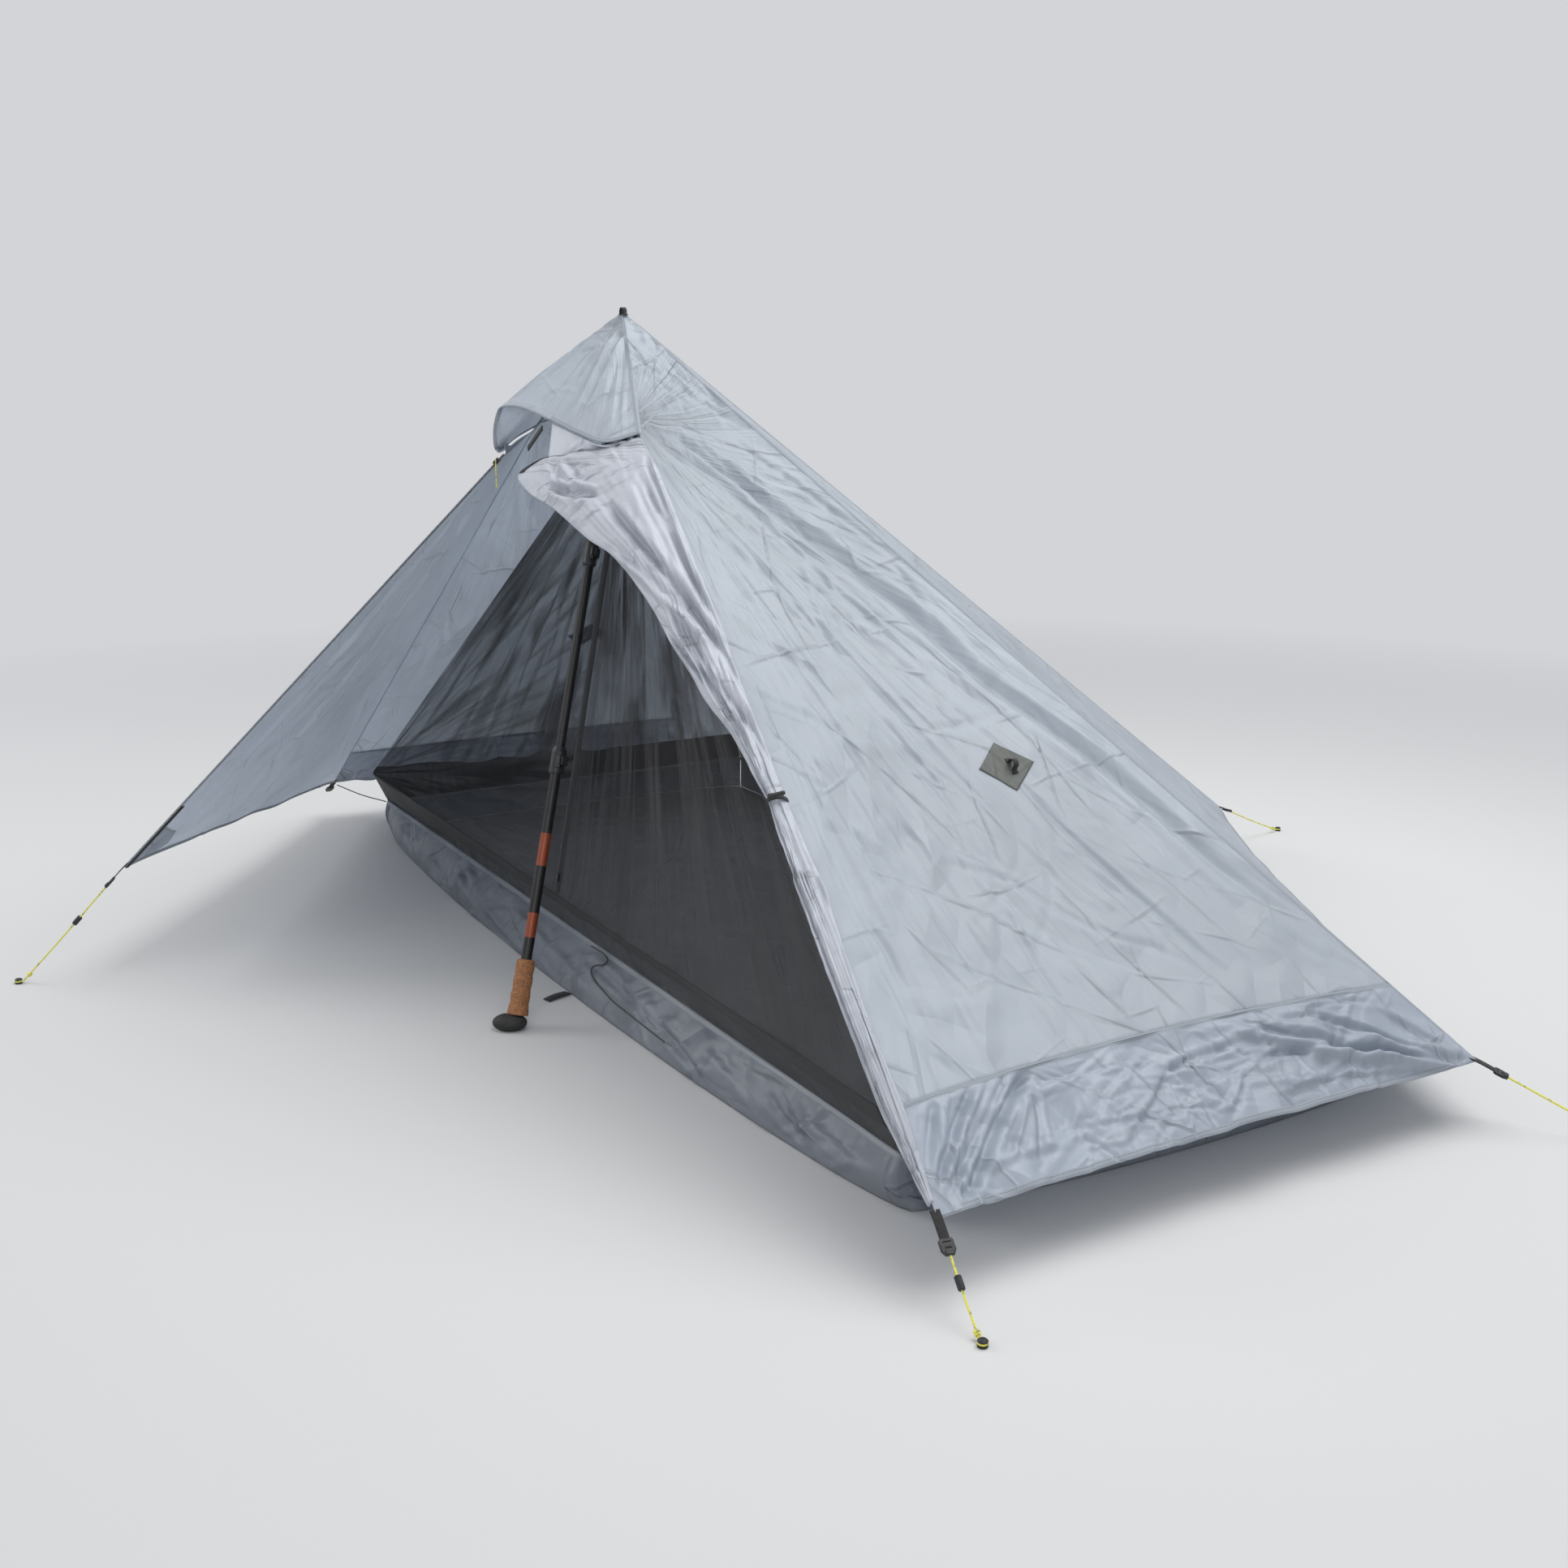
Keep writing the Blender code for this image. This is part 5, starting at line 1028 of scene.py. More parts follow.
# %% Back panels
# each fold's two ends by shares across and down, its width, its depth and its kind
BACK_FOLDS = (
    ((0.50, 0.10), (0.30, 0.92), 0.012, 0.0060, "valley"),
    ((0.60, 0.12), (0.72, 0.95), 0.008, 0.0040, "valley"),
    ((0.10, 0.20), (0.12, 0.90), 0.008, 0.0040, "step"),
    ((0.90, 0.25), (0.88, 0.95), 0.008, 0.0040, "valley"),
)
backs = {}
for side, word in ((1, "right"), (-1, "left")):
    corner = BACK_CORNER if side > 0 else other_end(BACK_CORNER)
    grid = sewn_panel(
        [below_peak(corner), corner], [below_peak(REAR_TIP), REAR_TIP], (1,),
        sag=0.020, hem_sag=0.018, arch=(0.0, 0.045), size=(112, 100),
    )
    pull = unit(grid[-1, 50] - PEAK)
    relief = folds_by_share(grid, BACK_FOLDS)
    relief += 0.0014 * ripple(grid, 0.20, 20 + side, pull, 5.0) + packed(grid, 22 + side, pull)
    relief += fan(grid, corner, 13.0, 0.12, 0.0022) + fan(grid, REAR_TIP, 13.0, 0.12, 0.0022)
    grid = pressed(grid, relief, ("foot",))
    backs[word] = grid
    piece = cloth_piece(f"back_panel_{word}", grid, fly_cloth, [f"fly_back_{word}"], pull=PEAK)
    edge = hem(f"back_hem_{word}", grid)
    ridge = seam(f"back_ridge_{word}", ends[word][3], "right", grid[:103], "left")
    seam(f"back_ridge_low_{word}", ends[word][2], "right", grid[102:], "left", count=30)
    print("back panel", word, grid.shape[:2])
seam("rear_ridge", backs["right"], "right", backs["left"], "right")

# %% [markdown]
# The closed half of the door hangs from the far ridge to its zip. The zip is a
# tape with a coil on its edge. The coil is modelled as a real spiral of wire,
# because up close that is what catches the light.

# %% Closed door and its zip
ZIP_TAPE = 0.013
DOOR_FOLDS = (
    ((0.15, 0.12), (0.10, 0.96), 0.010, 0.0044, "valley"),
    ((0.40, 0.10), (0.32, 0.94), 0.011, 0.0048, "valley"),
    ((0.80, 0.06), (0.86, 0.95), 0.009, 0.0040, "step"),
    ((0.60, 0.50), (0.95, 0.96), 0.009, 0.0034, "valley"),
    ((0.10, 0.80), (0.50, 0.55), 0.010, 0.0030, "step"),
)
zip_way = unit(DOOR_TIP - ZIP_TOP)
zip_into = other_end(FRONT_CORNER) - ZIP_TOP
zip_into = unit(zip_into - zip_way * (zip_into @ zip_way))
zip_out = np.cross(zip_way, zip_into)
zip_out = zip_out * (1 if zip_out[1] < 0 else -1)
far_corner = other_end(FRONT_CORNER)
door = sewn_panel(
    [ZIP_TOP + zip_into * (ZIP_TAPE - 0.002), DOOR_TIP + zip_into * (ZIP_TAPE - 0.002)],
    [KNEE_LEFT + (far_corner - KNEE_LEFT) * 0.006, far_corner], (1,),
    sag=0.018, hem_sag=0.004, arch=(0.0, 0.014), size=(120, 110),
)
relief = folds_by_share(door, DOOR_FOLDS)
relief += 0.0014 * ripple(door, 0.20, 31, zip_way, 5.0) + packed(door, 32, zip_way)
relief += fan(door, DOOR_TIP, 13.0, 0.10, 0.0024) + fan(door, far_corner, 13.0, 0.10, 0.0024)
door = pressed(door, relief, ("foot", "head"))
door_piece = cloth_piece("door_closed", door, fly_cloth, ["door_left"], pull=ZIP_TOP + UP * 0.1)
door_hem = hem("door_closed_hem", door)
door_ridge = seam("door_ridge_left", door[:108], "right", ends["left"][1], "left", width=0.0016)
seam("door_ridge_left_low", door[107:], "right", ends["left"][2], "left", width=0.0016, count=30)


def straight(first, last, count):
    return first + (last - first) * np.linspace(0, 1, count)[:, None]


def strap(
    name, line, sideways, width, thickness,
    stands_for=(), paint=tape_finish, body="tent",
):
    """A flat strap along a line, with rounded edges."""
    line, sideways = np.asarray(line, float), unit(sideways)
    if sideways.ndim == 1:
        sideways = np.tile(sideways, (len(line), 1))
    run = run_of(line)
    out = unit(np.cross(np.gradient(line, axis=0), sideways))
    half, thick = width / 2, thickness / 2
    ring = [
        (-half, 0), (-half + thick * 0.6, thick), (0, thick), (half - thick * 0.6, thick),
        (half, 0), (half - thick * 0.6, -thick), (0, -thick), (-half + thick * 0.6, -thick),
    ]
    grid = np.stack([line + sideways * a + out * b for a, b in ring], axis=1)
    places = np.stack([np.stack([run, np.full_like(run, a)], axis=1) for a, _ in ring], axis=1)
    mesh = grid_mesh(name, grid, places, closed=True)
    corners = list(range(len(ring)))
    ends_of_strap = [corners[::-1], [(len(line) - 1) * len(ring) + corner for corner in corners]]
    points = [v.co[:] for v in mesh.vertices]
    faces = [p.vertices[:] for p in mesh.polygons] + ends_of_strap
    closed = bpy.data.meshes.new(name)
    closed.from_pydata(points, [], faces)
    layer = closed.uv_layers.new(name="Cut")
    flat = places.reshape(-1, 2)
    layer.data.foreach_set("uv", flat[np.array([l.vertex_index for l in closed.loops])].ravel())
    closed.shade_smooth()
    bpy.data.meshes.remove(mesh)
    return place_piece(name, closed, paint, stands_for, body)


def add_line(curve, spots):
    line = curve.splines.new("POLY")
    line.points.add(len(spots) - 1)
    for knot, spot in zip(line.points, spots):
        knot.co = (*spot, 1)
    return line


def zip_coil(name, start, end, across, out, radius, pitch, wire, paint):
    """The spiral of a coil zip as one curve."""
    turns = int(np.linalg.norm(end - start) / pitch)
    angle = np.linspace(0, turns * math.tau, turns * 8 + 1)[:, None]
    round_it = across * np.cos(angle) * radius + out * np.sin(angle) * radius * 0.62
    curve = bpy.data.curves.new(name, "CURVE")
    curve.dimensions = "3D"
    curve.bevel_depth, curve.bevel_resolution = wire, 0
    add_line(curve, straight(start, end, len(angle)) + round_it)
    return place_piece(name, curve, paint)


zip_from, zip_to = ZIP_TOP + zip_way * 0.004, DOOR_TIP - zip_way * 0.004
tape_line = straight(zip_from, zip_to, 60) + zip_into * 0.0065
strap("door_zip_tape", tape_line, zip_into, 0.0135, 0.0010, ["door_zip"], storm_finish)
zip_coil("door_zip_coil", zip_from, zip_to, zip_into, zip_out, 0.0014, 0.0026, 0.00042, coil_finish)
print("zip of", round(float(np.linalg.norm(zip_to - zip_from)), 3), "m")

# %% [markdown]
# The hood is a fan of straight lines from the peak to a curved lip. The lip is
# rolled and stiffened, so it holds its arch over the vent and hides the zip's top.

# %% Vent hood
LIP = [
    KNEE_RIGHT, at(0.155, -0.451, 0.944), at(0.080, -0.467, 0.957), at(0.008, -0.483, 0.976),
    at(-0.060, -0.508, 0.996), at(-0.098, -0.530, 0.998), HOOD_NOSE, at(-0.118, -0.540, 0.955),
    at(-0.118, -0.537, 0.924), at(-0.150, -0.506, 0.929), at(-0.205, -0.463, 0.942), KNEE_LEFT,
]
HOOD_FOLDS = (
    (((768, 405), (745, 450), (716, 505), (700, 530)), 0.0070, 0.0075, "valley"),
    (((770, 410), (755, 460), (735, 525)), 0.0055, 0.0050, "step"),
    (((773, 415), (766, 470), (757, 535)), 0.0050, 0.0036, "valley"),
    (((760, 400), (715, 445), (672, 500), (650, 540)), 0.0070, 0.0050, "valley"),
    (((772, 420), (772, 480), (770, 535)), 0.0045, 0.0034, "step"),
)
HOOD_SIDE_FOLDS = (
    ((0.62, 0.20), (0.60, 0.90), 0.006, 0.0030, "valley"),
    ((0.84, 0.20), (0.80, 0.95), 0.006, 0.0030, "step"),
)
lip = smooth_line(LIP, 161)
downs = np.linspace(0.030, 0.998, 56)[:, None, None]
share = np.linspace(0, 1, len(lip))[None, :, None]
puff = np.array([0.0, -0.4, 0.9]) * 0.003 * np.sin(math.pi * share) * np.sin(math.pi * downs)
hood = PEAK + (lip[None] - PEAK) * downs + puff
relief, _ = folds_on(hood, HOOD_FOLDS)
relief += folds_by_share(hood, HOOD_SIDE_FOLDS)
relief += packed(hood, 41, unit(lip[54] - PEAK), 40, 6, 0.0009)
hood = pressed(hood, relief, ("foot",))
hood_piece = cloth_piece("vent_hood", hood, fly_cloth, ["peak_hood"], pull=PEAK)
hood_hem = hem("vent_hood_hem", hood, width=0.008, thickness=0.0010, count=260)
lip_strip = evenly(edge_strip(hood[:, 44:98], "foot", 0.0125), 90)
hood_lip = sewn_strip("vent_hood_lip", lip_strip, lip_finish, 0.0022)
seam("hood_seam_right", hood, "left", ends["right"][0], "left", count=60)
seam("hood_seam_left", hood, "right", ends["left"][0], "left", count=60)
print("hood lip", round(float(np.linalg.norm(np.diff(lip, axis=0), axis=1).sum()), 3), "m")

# %% [markdown]
# The open half of the door is gathered along the near ridge and held by a toggle.
# It is one sheet laid in zigzag pleats. Each section across it starts at the ridge
# seam and goes back and forth to the free edge, and the layers spread apart in the
# middle and pinch together at the ends, as cloth does in a roll.

# %% Gathered door
# the free edge, the share down the ridge, the lap on the end panel and half the thickness
ROLL_STATIONS = [
    (at(0.037, -0.500, 0.917), 0.013, 0.000, 0.0012), (at(0.008, -0.522, 0.905), 0.022, 0.000, 0.0040),
    (at(-0.004, -0.543, 0.882), 0.045, 0.001, 0.0070), (at(0.035, -0.538, 0.856), 0.070, 0.002, 0.0095),
    (at(0.109, -0.527, 0.836), 0.105, 0.003, 0.0110), (at(0.214, -0.512, 0.794), 0.160, 0.004, 0.0130),
    (at(0.285, -0.498, 0.770), 0.205, 0.005, 0.0135), (at(0.394, -0.491, 0.712), 0.275, 0.007, 0.0145),
    (at(0.477, -0.493, 0.658), 0.335, 0.009, 0.0145), (at(0.540, -0.492, 0.621), 0.380, 0.010, 0.0140),
    (at(0.599, -0.493, 0.584), 0.425, 0.011, 0.0130), (at(0.658, -0.489, 0.553), 0.465, 0.011, 0.0120),
    (at(0.724, -0.491, 0.510), 0.515, 0.010, 0.0105), (at(0.778, -0.494, 0.474), 0.555, 0.010, 0.0095),
    (at(0.812, -0.500, 0.444), 0.590, 0.012, 0.0105), (at(0.910, -0.515, 0.362), 0.680, 0.017, 0.0120),
    (at(0.984, -0.526, 0.302), 0.748, 0.011, 0.0120), (at(1.059, -0.535, 0.242), 0.818, 0.009, 0.0110),
    (at(1.141, -0.546, 0.178), 0.892, 0.011, 0.0090), (at(1.194, -0.548, 0.142), 0.938, 0.008, 0.0060),
    (at(1.222, -0.551, 0.121), 0.963, 0.004, 0.0040), (at(1.252, -0.552, 0.103), 0.985, 0.002, 0.0026),
]
TOGGLE_STATION = 13
RIDGE_LENGTH = 1.39
ROLL_TURN = 0.22
ROLL_OFF = 0.0022
LAYERS = 4
ROLL_FOLDS = (
    (((793, 560), (804, 585), (824, 634), (840, 679), (861, 724), (885, 773), (906, 814), (926, 859),
      (955, 949)), 0.0050, 0.0040, "valley"),
    (((779, 593), (795, 630), (812, 662), (824, 695), (845, 728)), 0.0045, 0.0032, "step"),
    (((795, 585), (804, 613), (820, 642), (845, 695), (869, 748), (894, 805)), 0.0045, 0.0032, "valley"),
    (((742, 613), (763, 638), (804, 683), (836, 724), (869, 773), (902, 822), (935, 887), (957, 953)),
     0.0070, 0.0075, "valley"),
    (((746, 687), (783, 705), (824, 744), (853, 769), (885, 801), (906, 842), (943, 920), (957, 957)),
     0.0060, 0.0050, "ridge"),
    (((820, 773), (853, 818), (885, 855), (918, 908), (947, 953)), 0.0050, 0.0045, "valley"),
    (((869, 822), (902, 863), (935, 912), (955, 957)), 0.0045, 0.0036, "valley"),
    (((681, 601), (701, 607), (722, 608), (742, 609)), 0.0070, 0.0090, "valley"),
    (((689, 568), (705, 589), (734, 605)), 0.0050, 0.0040, "ridge"),
    (((676, 568), (692, 604)), 0.0045, 0.0036, "step"),
    (((1022, 1100), (1065, 1230), (1105, 1320), (1140, 1425)), 0.0060, 0.0055, "valley"),
    (((1000, 1060), (1045, 1190), (1085, 1300), (1130, 1410)), 0.0050, 0.0040, "valley"),
    (((1040, 1110), (1080, 1220), (1115, 1310), (1150, 1400)), 0.0045, 0.0034, "step"),
)
ridge_way = unit(FRONT_CORNER - KNEE_RIGHT)
door_out = unit(np.cross(DOOR_TIP - KNEE_RIGHT, ridge_way))
door_out = door_out * (1 if door_out[1] < 0 else -1)
panel_out = unit(np.cross(BACK_CORNER - PEAK, FRONT_CORNER - PEAK))
panel_out = panel_out * (1 if panel_out[2] > 0 else -1)


def roll_seat(free_edge, along, lap, t):
    """The line that the roll lies on, from its lap on the end panel round the ridge to its free edge."""
    seam_spot = KNEE_RIGHT + (FRONT_CORNER - KNEE_RIGHT) * along
    knee = seam_spot + unit(door_out + panel_out) * ROLL_OFF
    begin = seam_spot + np.array([0, lap, 0]) + panel_out * ROLL_OFF
    first = begin + (knee - begin) * (t / ROLL_TURN)[:, None]
    second = knee + (free_edge - knee) * ((t - ROLL_TURN) / (1 - ROLL_TURN))[:, None]
    return np.where((t < ROLL_TURN)[:, None], first, second)


def roll_out(t):
    blend = np.minimum(1.0, t * 2.2)[:, None]
    return unit(panel_out * (1 - blend) + door_out * blend)


def roll_height(t, half, station):
    """How far the gathered cloth stands up, with its pleats."""
    stand = np.sin(math.pi * np.clip(t, 0, 1))
    phase = math.tau * 3 * t
    pleat = 0.30 * half * np.sin(phase + 0.7 * np.sin(phase)) * stand
    narrow = 0.10 * half * np.sin(math.tau * 7 * t + 0.9 * math.sin(station * 0.9)) * stand
    narrow = narrow + 0.07 * half * np.sin(math.tau * 15 * t + 1.6 * math.sin(station * 0.5)) * stand
    return 1.75 * half * stand**0.5 * 0.95 + pleat + narrow - 0.06 * half * stand


station_count = 201
knots = np.array([[*spot, along, lap, half] for spot, along, lap, half in ROLL_STATIONS])
stations = smooth_line(knots, station_count)
levels = np.linspace(0, len(ROLL_STATIONS) - 1, station_count)
outer_t = np.linspace(0.03, 0.985, 96)
seats, outs, rises = [], [], []
for station, (x, y, z, along, lap, half) in zip(levels, stations):
    half = max(half, 0.0012)
    seats.append(roll_seat(np.array([x, y, z]), along, lap, outer_t))
    outs.append(roll_out(outer_t))
    rises.append(roll_height(outer_t, half, station) + 0.0004)
seats, outs, rises = np.array(seats), np.array(outs), np.array(rises)
outer = seats + outs * rises[..., None]
relief, _ = folds_on(outer, ROLL_FOLDS)
relief = 1.9 * relief + packed(outer, 45, ridge_way, 90, 8, 0.0020)
relief += 0.0013 * ripple(outer, 0.05, 46, ridge_way, 7.0)
strapped = np.exp(-(((levels - TOGGLE_STATION) / 0.7) ** 2))[:, None]
rises = np.maximum(rises + relief * (1 - 0.8 * strapped), rises * 0.35)
inner_t = np.linspace(0.05, 0.97, 26)
sheets_in = []
for layer in range(LAYERS):
    t = inner_t if layer % 2 == 0 else inner_t[::-1]
    share = layer / LAYERS
    rows = []
    for number, (x, y, z, along, lap, half) in enumerate(stations):
        half = max(half, 0.0012)
        low = -0.45 * half * np.sin(math.pi * t) * np.maximum(0, t - 0.25) / 0.75
        high = np.interp(t, outer_t, rises[number]) - 0.0012
        height = low + (high - low) * share
        rows.append(roll_seat(np.array([x, y, z]), along, lap, t) + roll_out(t) * height[:, None])
    sheets_in.append(np.array(rows))
outer = seats + outs * rises[..., None]
roll = np.concatenate([*sheets_in, outer], axis=1)
run = np.array([run_of(section) for section in roll])
places = np.stack(np.broadcast_arrays(run, stations[:, 3:4] * RIDGE_LENGTH), axis=-1)
cells = np.cross(np.diff(roll, axis=0)[:, 1:], np.diff(roll, axis=1)[1:])
roll_area = float(np.linalg.norm(cells, axis=-1).sum())
roll_piece = cloth_piece(
    "door_gathered", roll, roll_cloth, ["door_right_rolled"], 0.0005, places,
)
tape_rows = cells_seen(outer, [(990, 1032), (1022, 1100)])[:, 0].round().astype(int)
for word, low, high in (("wing", 3, 17), ("middle", *sorted(tape_rows))):
    strip = evenly(edge_strip(outer[low:high + 1], "right", 0.010), 30)
    sewn_strip(f"door_free_tape_{word}", strip, tape_finish, 0.0012, 0.0009)
print("gathered door holds", round(roll_area, 3), "square metres of cloth")

# %% [markdown]
# Between the hood's lip and the top of the gathered door the door's own upper
# edge still spans, a small gusset just inside the hood.

# %% Gusset under the hood
GUSSET_FOLDS = (
    (((782, 545), (760, 570), (735, 595)), 0.0050, 0.0044, "valley"),
    (((776, 547), (735, 560), (700, 575)), 0.0050, 0.0040, "step"),
    (((722, 545), (705, 560), (690, 585)), 0.0045, 0.0030, "valley"),
)
gusset_top = lip[:45] - UP * 0.004 + np.array([0.0, 0.0035, 0.0])
gusset_foot = respaced(outer[1, 16:], 45)
share = np.linspace(0, 1, 22)[:, None, None]
gusset = gusset_top[None] * (1 - share) + gusset_foot[None] * share
relief, _ = folds_on(gusset, GUSSET_FOLDS)
gusset = pressed(gusset, relief, ("foot",))
cloth_piece("door_gusset", gusset, roll_cloth)
lip_far = lip[88:] - UP * 0.003 + np.array([0.0, 0.004, 0.0])
door_line = respaced(door[0], 73)
share = np.linspace(0, 1, 10)[:, None, None]
gusset_far = lip_far[None] * (1 - share) + door_line[None] * share
cloth_piece("door_gusset_closed", gusset_far, fly_cloth)
print("gussets", cut_of(gusset), cut_of(gusset_far))

# %% [markdown]
# The inner tent stands in a bathtub of coated cloth. Its front wall is slack and
# slumps forward in broad folds, and its other walls stand. A line of piping joins
# it to the net above.

# %% Bathtub floor
TUB_HALF_X, TUB_HALF_Y, TUB_WALL_Z, TUB_BULGE = 1.083, 0.470, 0.080, 0.066
TUB_END_BULGE, TUB_BELLY, TUB_BACK_SLACK = 0.048, 0.012, 0.010


def tub_front_y(x):
    slack = np.maximum(0.0, 1 - (x / TUB_HALF_X) ** 2) ** 0.6
    return -(TUB_HALF_Y - 0.006) - TUB_BULGE * slack


def tub_front(x, share, fold=0.0):
    low, high = tub_front_y(x), -TUB_HALF_Y - 0.005
    y = low + (high - low) * share - 0.012 * np.sin(math.pi * share) + fold
    return np.stack([x + 0 * y, y + SHIFT_Y, 0.0012 + (TUB_WALL_Z - 0.0012) * share + 0 * y], axis=-1)


TUB_FOLDS = (
    (((567, 1067), (614, 1151), (651, 1215)), 0.0070, 0.0046, "valley"),
    (((640, 1120), (690, 1175), (735, 1225)), 0.0060, 0.0034, "step"),
    (((720, 1180), (770, 1225), (812, 1275)), 0.0060, 0.0030, "valley"),
    (((810, 1262), (842, 1299), (879, 1347)), 0.0060, 0.0042, "valley"),
    (((870, 1290), (905, 1330), (935, 1370)), 0.0060, 0.0030, "step"),
    (((947, 1347), (974, 1389), (1000, 1410)), 0.0060, 0.0040, "valley"),
    (((990, 1371), (1021, 1400), (1058, 1432), (1101, 1442)), 0.0060, 0.0040, "step"),
)
half_x = TUB_HALF_X - 0.0010
x = np.linspace(-half_x, half_x, 361)[None, :]
share = np.linspace(0, 1, 23)[:, None]
fold = 0.004 * np.sin(x * 17.0 + 1.3 * np.sin(x * 5.0)) * np.sin(math.pi * share)
front_wall = tub_front(x, share, fold)
relief, _ = folds_on(front_wall, TUB_FOLDS)
relief += 0.0012 * ripple(front_wall, 0.10, 51, np.array([1.0, 0, 0]), 2.0)
relief = 1.7 * relief + packed(front_wall, 52, np.array([1.0, 0, 0]), 90, 10, 0.0018)
front_wall = pressed(front_wall, relief)
front_piece = cloth_piece("tub_front_slack", front_wall, tub_cloth, ["tub_wall_front"])


def tub_end_x(y):
    slack = np.maximum(0.0, 1 - (y / TUB_HALF_Y) ** 2) ** 0.6
    return TUB_HALF_X + TUB_END_BULGE * slack


def tub_end(side):
    """An end wall, slumped outward, from its front corner to its back corner."""
    share = np.linspace(0, 1, 15)[:, None]
    across = np.linspace(0, 1, 121)[None, :]
    front = tub_front(np.array(TUB_HALF_X), share)
    y = front[..., 1] + (TUB_HALF_Y - 0.001 + SHIFT_Y - front[..., 1]) * across
    foot = tub_end_x(y - SHIFT_Y)
    belly = TUB_BELLY * np.sin(math.pi * share) * np.sin(math.pi * across)
    x = foot + (TUB_HALF_X - foot) * share + belly
    return np.stack([side * x, y, front[..., 2] + 0 * y], axis=-1)


def tub_back():
    """The back wall, a little slack at half height."""
    share = np.linspace(0, 1, 15)[:, None]
    x = np.linspace(-half_x, half_x, 161)[None, :]
    y = TUB_HALF_Y + TUB_BACK_SLACK * np.sin(math.pi * share) * np.sin(math.pi * (x / half_x + 1) / 2)
    return np.stack([x + 0 * y, y + SHIFT_Y, 0.0012 + (TUB_WALL_Z - 0.0012) * share + 0 * y], axis=-1)


walls = {"front": front_wall}
for word, grid in (("right", tub_end(1)), ("left", tub_end(-1)), ("back", tub_back())):
    way = unit(grid[0, -1] - grid[0, 0])
    relief = 0.0010 * ripple(grid, 0.09, 60 + len(word), way, 2.0)
    relief += packed(grid, 62 + len(word), way, 40, 4, 0.0010)
    walls[word] = pressed(grid, relief)
    piece = cloth_piece(f"tub_{word}", walls[word], tub_cloth, [f"tub_wall_{word}"])
for word, grid in walls.items():
    hem(f"tub_piping_{word}", grid, tub_hem_finish, 0.009, 0.0022, 240)
for word, column in (("right", -1), ("left", 0)):
    rows = np.linspace(0, 22, 15)
    corner = front_wall[:, [-4, -2, -1]] if column else front_wall[:, [3, 1, 0]]
    corner = read_off(rows, np.arange(23), corner.reshape(23, 9)).reshape(15, 3, 3)
    strip = np.concatenate([corner, walls[word][:, [0, 1, 3]]], axis=1)
    sewn_strip(f"tub_corner_{word}", strip, tub_cloth, 0.0010, 0.0004)
y_share = np.linspace(0, 1, 25)[:, None]
x_share = np.linspace(-1, 1, 121)[None, :]
depth_at = np.linspace(TUB_HALF_Y - 0.003, -TUB_HALF_Y + 0.006, 25)[:, None]
x = x_share * (tub_end_x(depth_at) - 0.0022)
front_edge = tub_front_y(np.clip(np.abs(x), 0, TUB_HALF_X)) + 0.0016
y = front_edge + (TUB_HALF_Y - 0.003 - front_edge) * (1 - y_share)
base = np.stack([x + 0 * y, y + SHIFT_Y, 0.0006 + 0 * (x + y)], axis=-1)
base_piece = cloth_piece("tub_base", base, floor_cloth, ["tub_floor"], 0.0008)
print("tub walls", sorted(walls))

# %% [markdown]
# The net hangs from the peak and is sewn to the tub below a doubled black band.
# It is light and never quite tight, so it carries many long shallow folds.

# %% Net walls
NET_THICKNESS = 0.0004
SILL_TOP_Y, SILL_TOP_Z = -0.507, 0.150
INNER_PEAK = at(-0.036, -0.316, 1.003)
ZIP_FOOT_X = 0.022
SILL_END_X = TUB_HALF_X - 0.003
net_front_foot_y = -TUB_HALF_Y - 0.005


def near_inner_peak(corner, distance):
    return INNER_PEAK + unit(corner - INNER_PEAK) * distance


def net_piece(name, left, right, rows, sag, node, seed, size=(56, 56), pull=INNER_PEAK):
    grid = sewn_panel(left, right, rows, sag=sag, size=size)
    grid = pressed(grid, radial_folds(grid, seed, pull, 0.0046))
    return grid, cloth_piece(name, grid, net_finish, [node], NET_THICKNESS, pull=pull)


zip_foot = at(ZIP_FOOT_X, SILL_TOP_Y, SILL_TOP_Z)
zip_head = near_inner_peak(zip_foot, 0.045)
sheets = {}
for side, word in ((-1, "left"), (1, "right")):
    corner = at(side * SILL_END_X, SILL_TOP_Y, SILL_TOP_Z)
    beside = np.array([side * 0.011, 0, 0])
    sheets[f"front_{word}"] = net_piece(
        f"net_front_{word}", [near_inner_peak(corner, 0.040), corner],
        [zip_head + beside, zip_foot + beside], (1,), 0.016,
        f"mesh_front_{word}", 70 + side, (90, 90), corner if side < 0 else INNER_PEAK,
    )
    front_top = at(side * TUB_HALF_X, SILL_TOP_Y, SILL_TOP_Z)
    front_foot = at(side * TUB_HALF_X, net_front_foot_y, TUB_WALL_Z)
    back_foot = at(side * TUB_HALF_X, TUB_HALF_Y, TUB_WALL_Z)
    back_top = at_height(INNER_PEAK, back_foot, SILL_TOP_Z)
    sheets[f"end_{word}"] = net_piece(
        f"net_end_{word}", [near_inner_peak(front_top, 0.03), front_top, front_foot],
        [near_inner_peak(back_foot, 0.03), back_top, back_foot], (7, 1), 0.016,
        f"mesh_{word}_end", 74 + side,
    )
back_corners = [at(side * TUB_HALF_X, TUB_HALF_Y, TUB_WALL_Z) for side in (-1, 1)]
sheets["back"] = net_piece(
    "net_back", [near_inner_peak(back_corners[0], 0.03), back_corners[0]],
    [near_inner_peak(back_corners[1], 0.03), back_corners[1]], (1,), 0.020, "mesh_back", 80,
)
print("net walls:", sorted(sheets))

# %% [markdown]
# A doubled black band runs round the foot of the net. It is stiffer and hides
# nearly everything behind it. It lies a millimetre outside the net, and along the
# front its lower edge rises and falls with the slack tub.

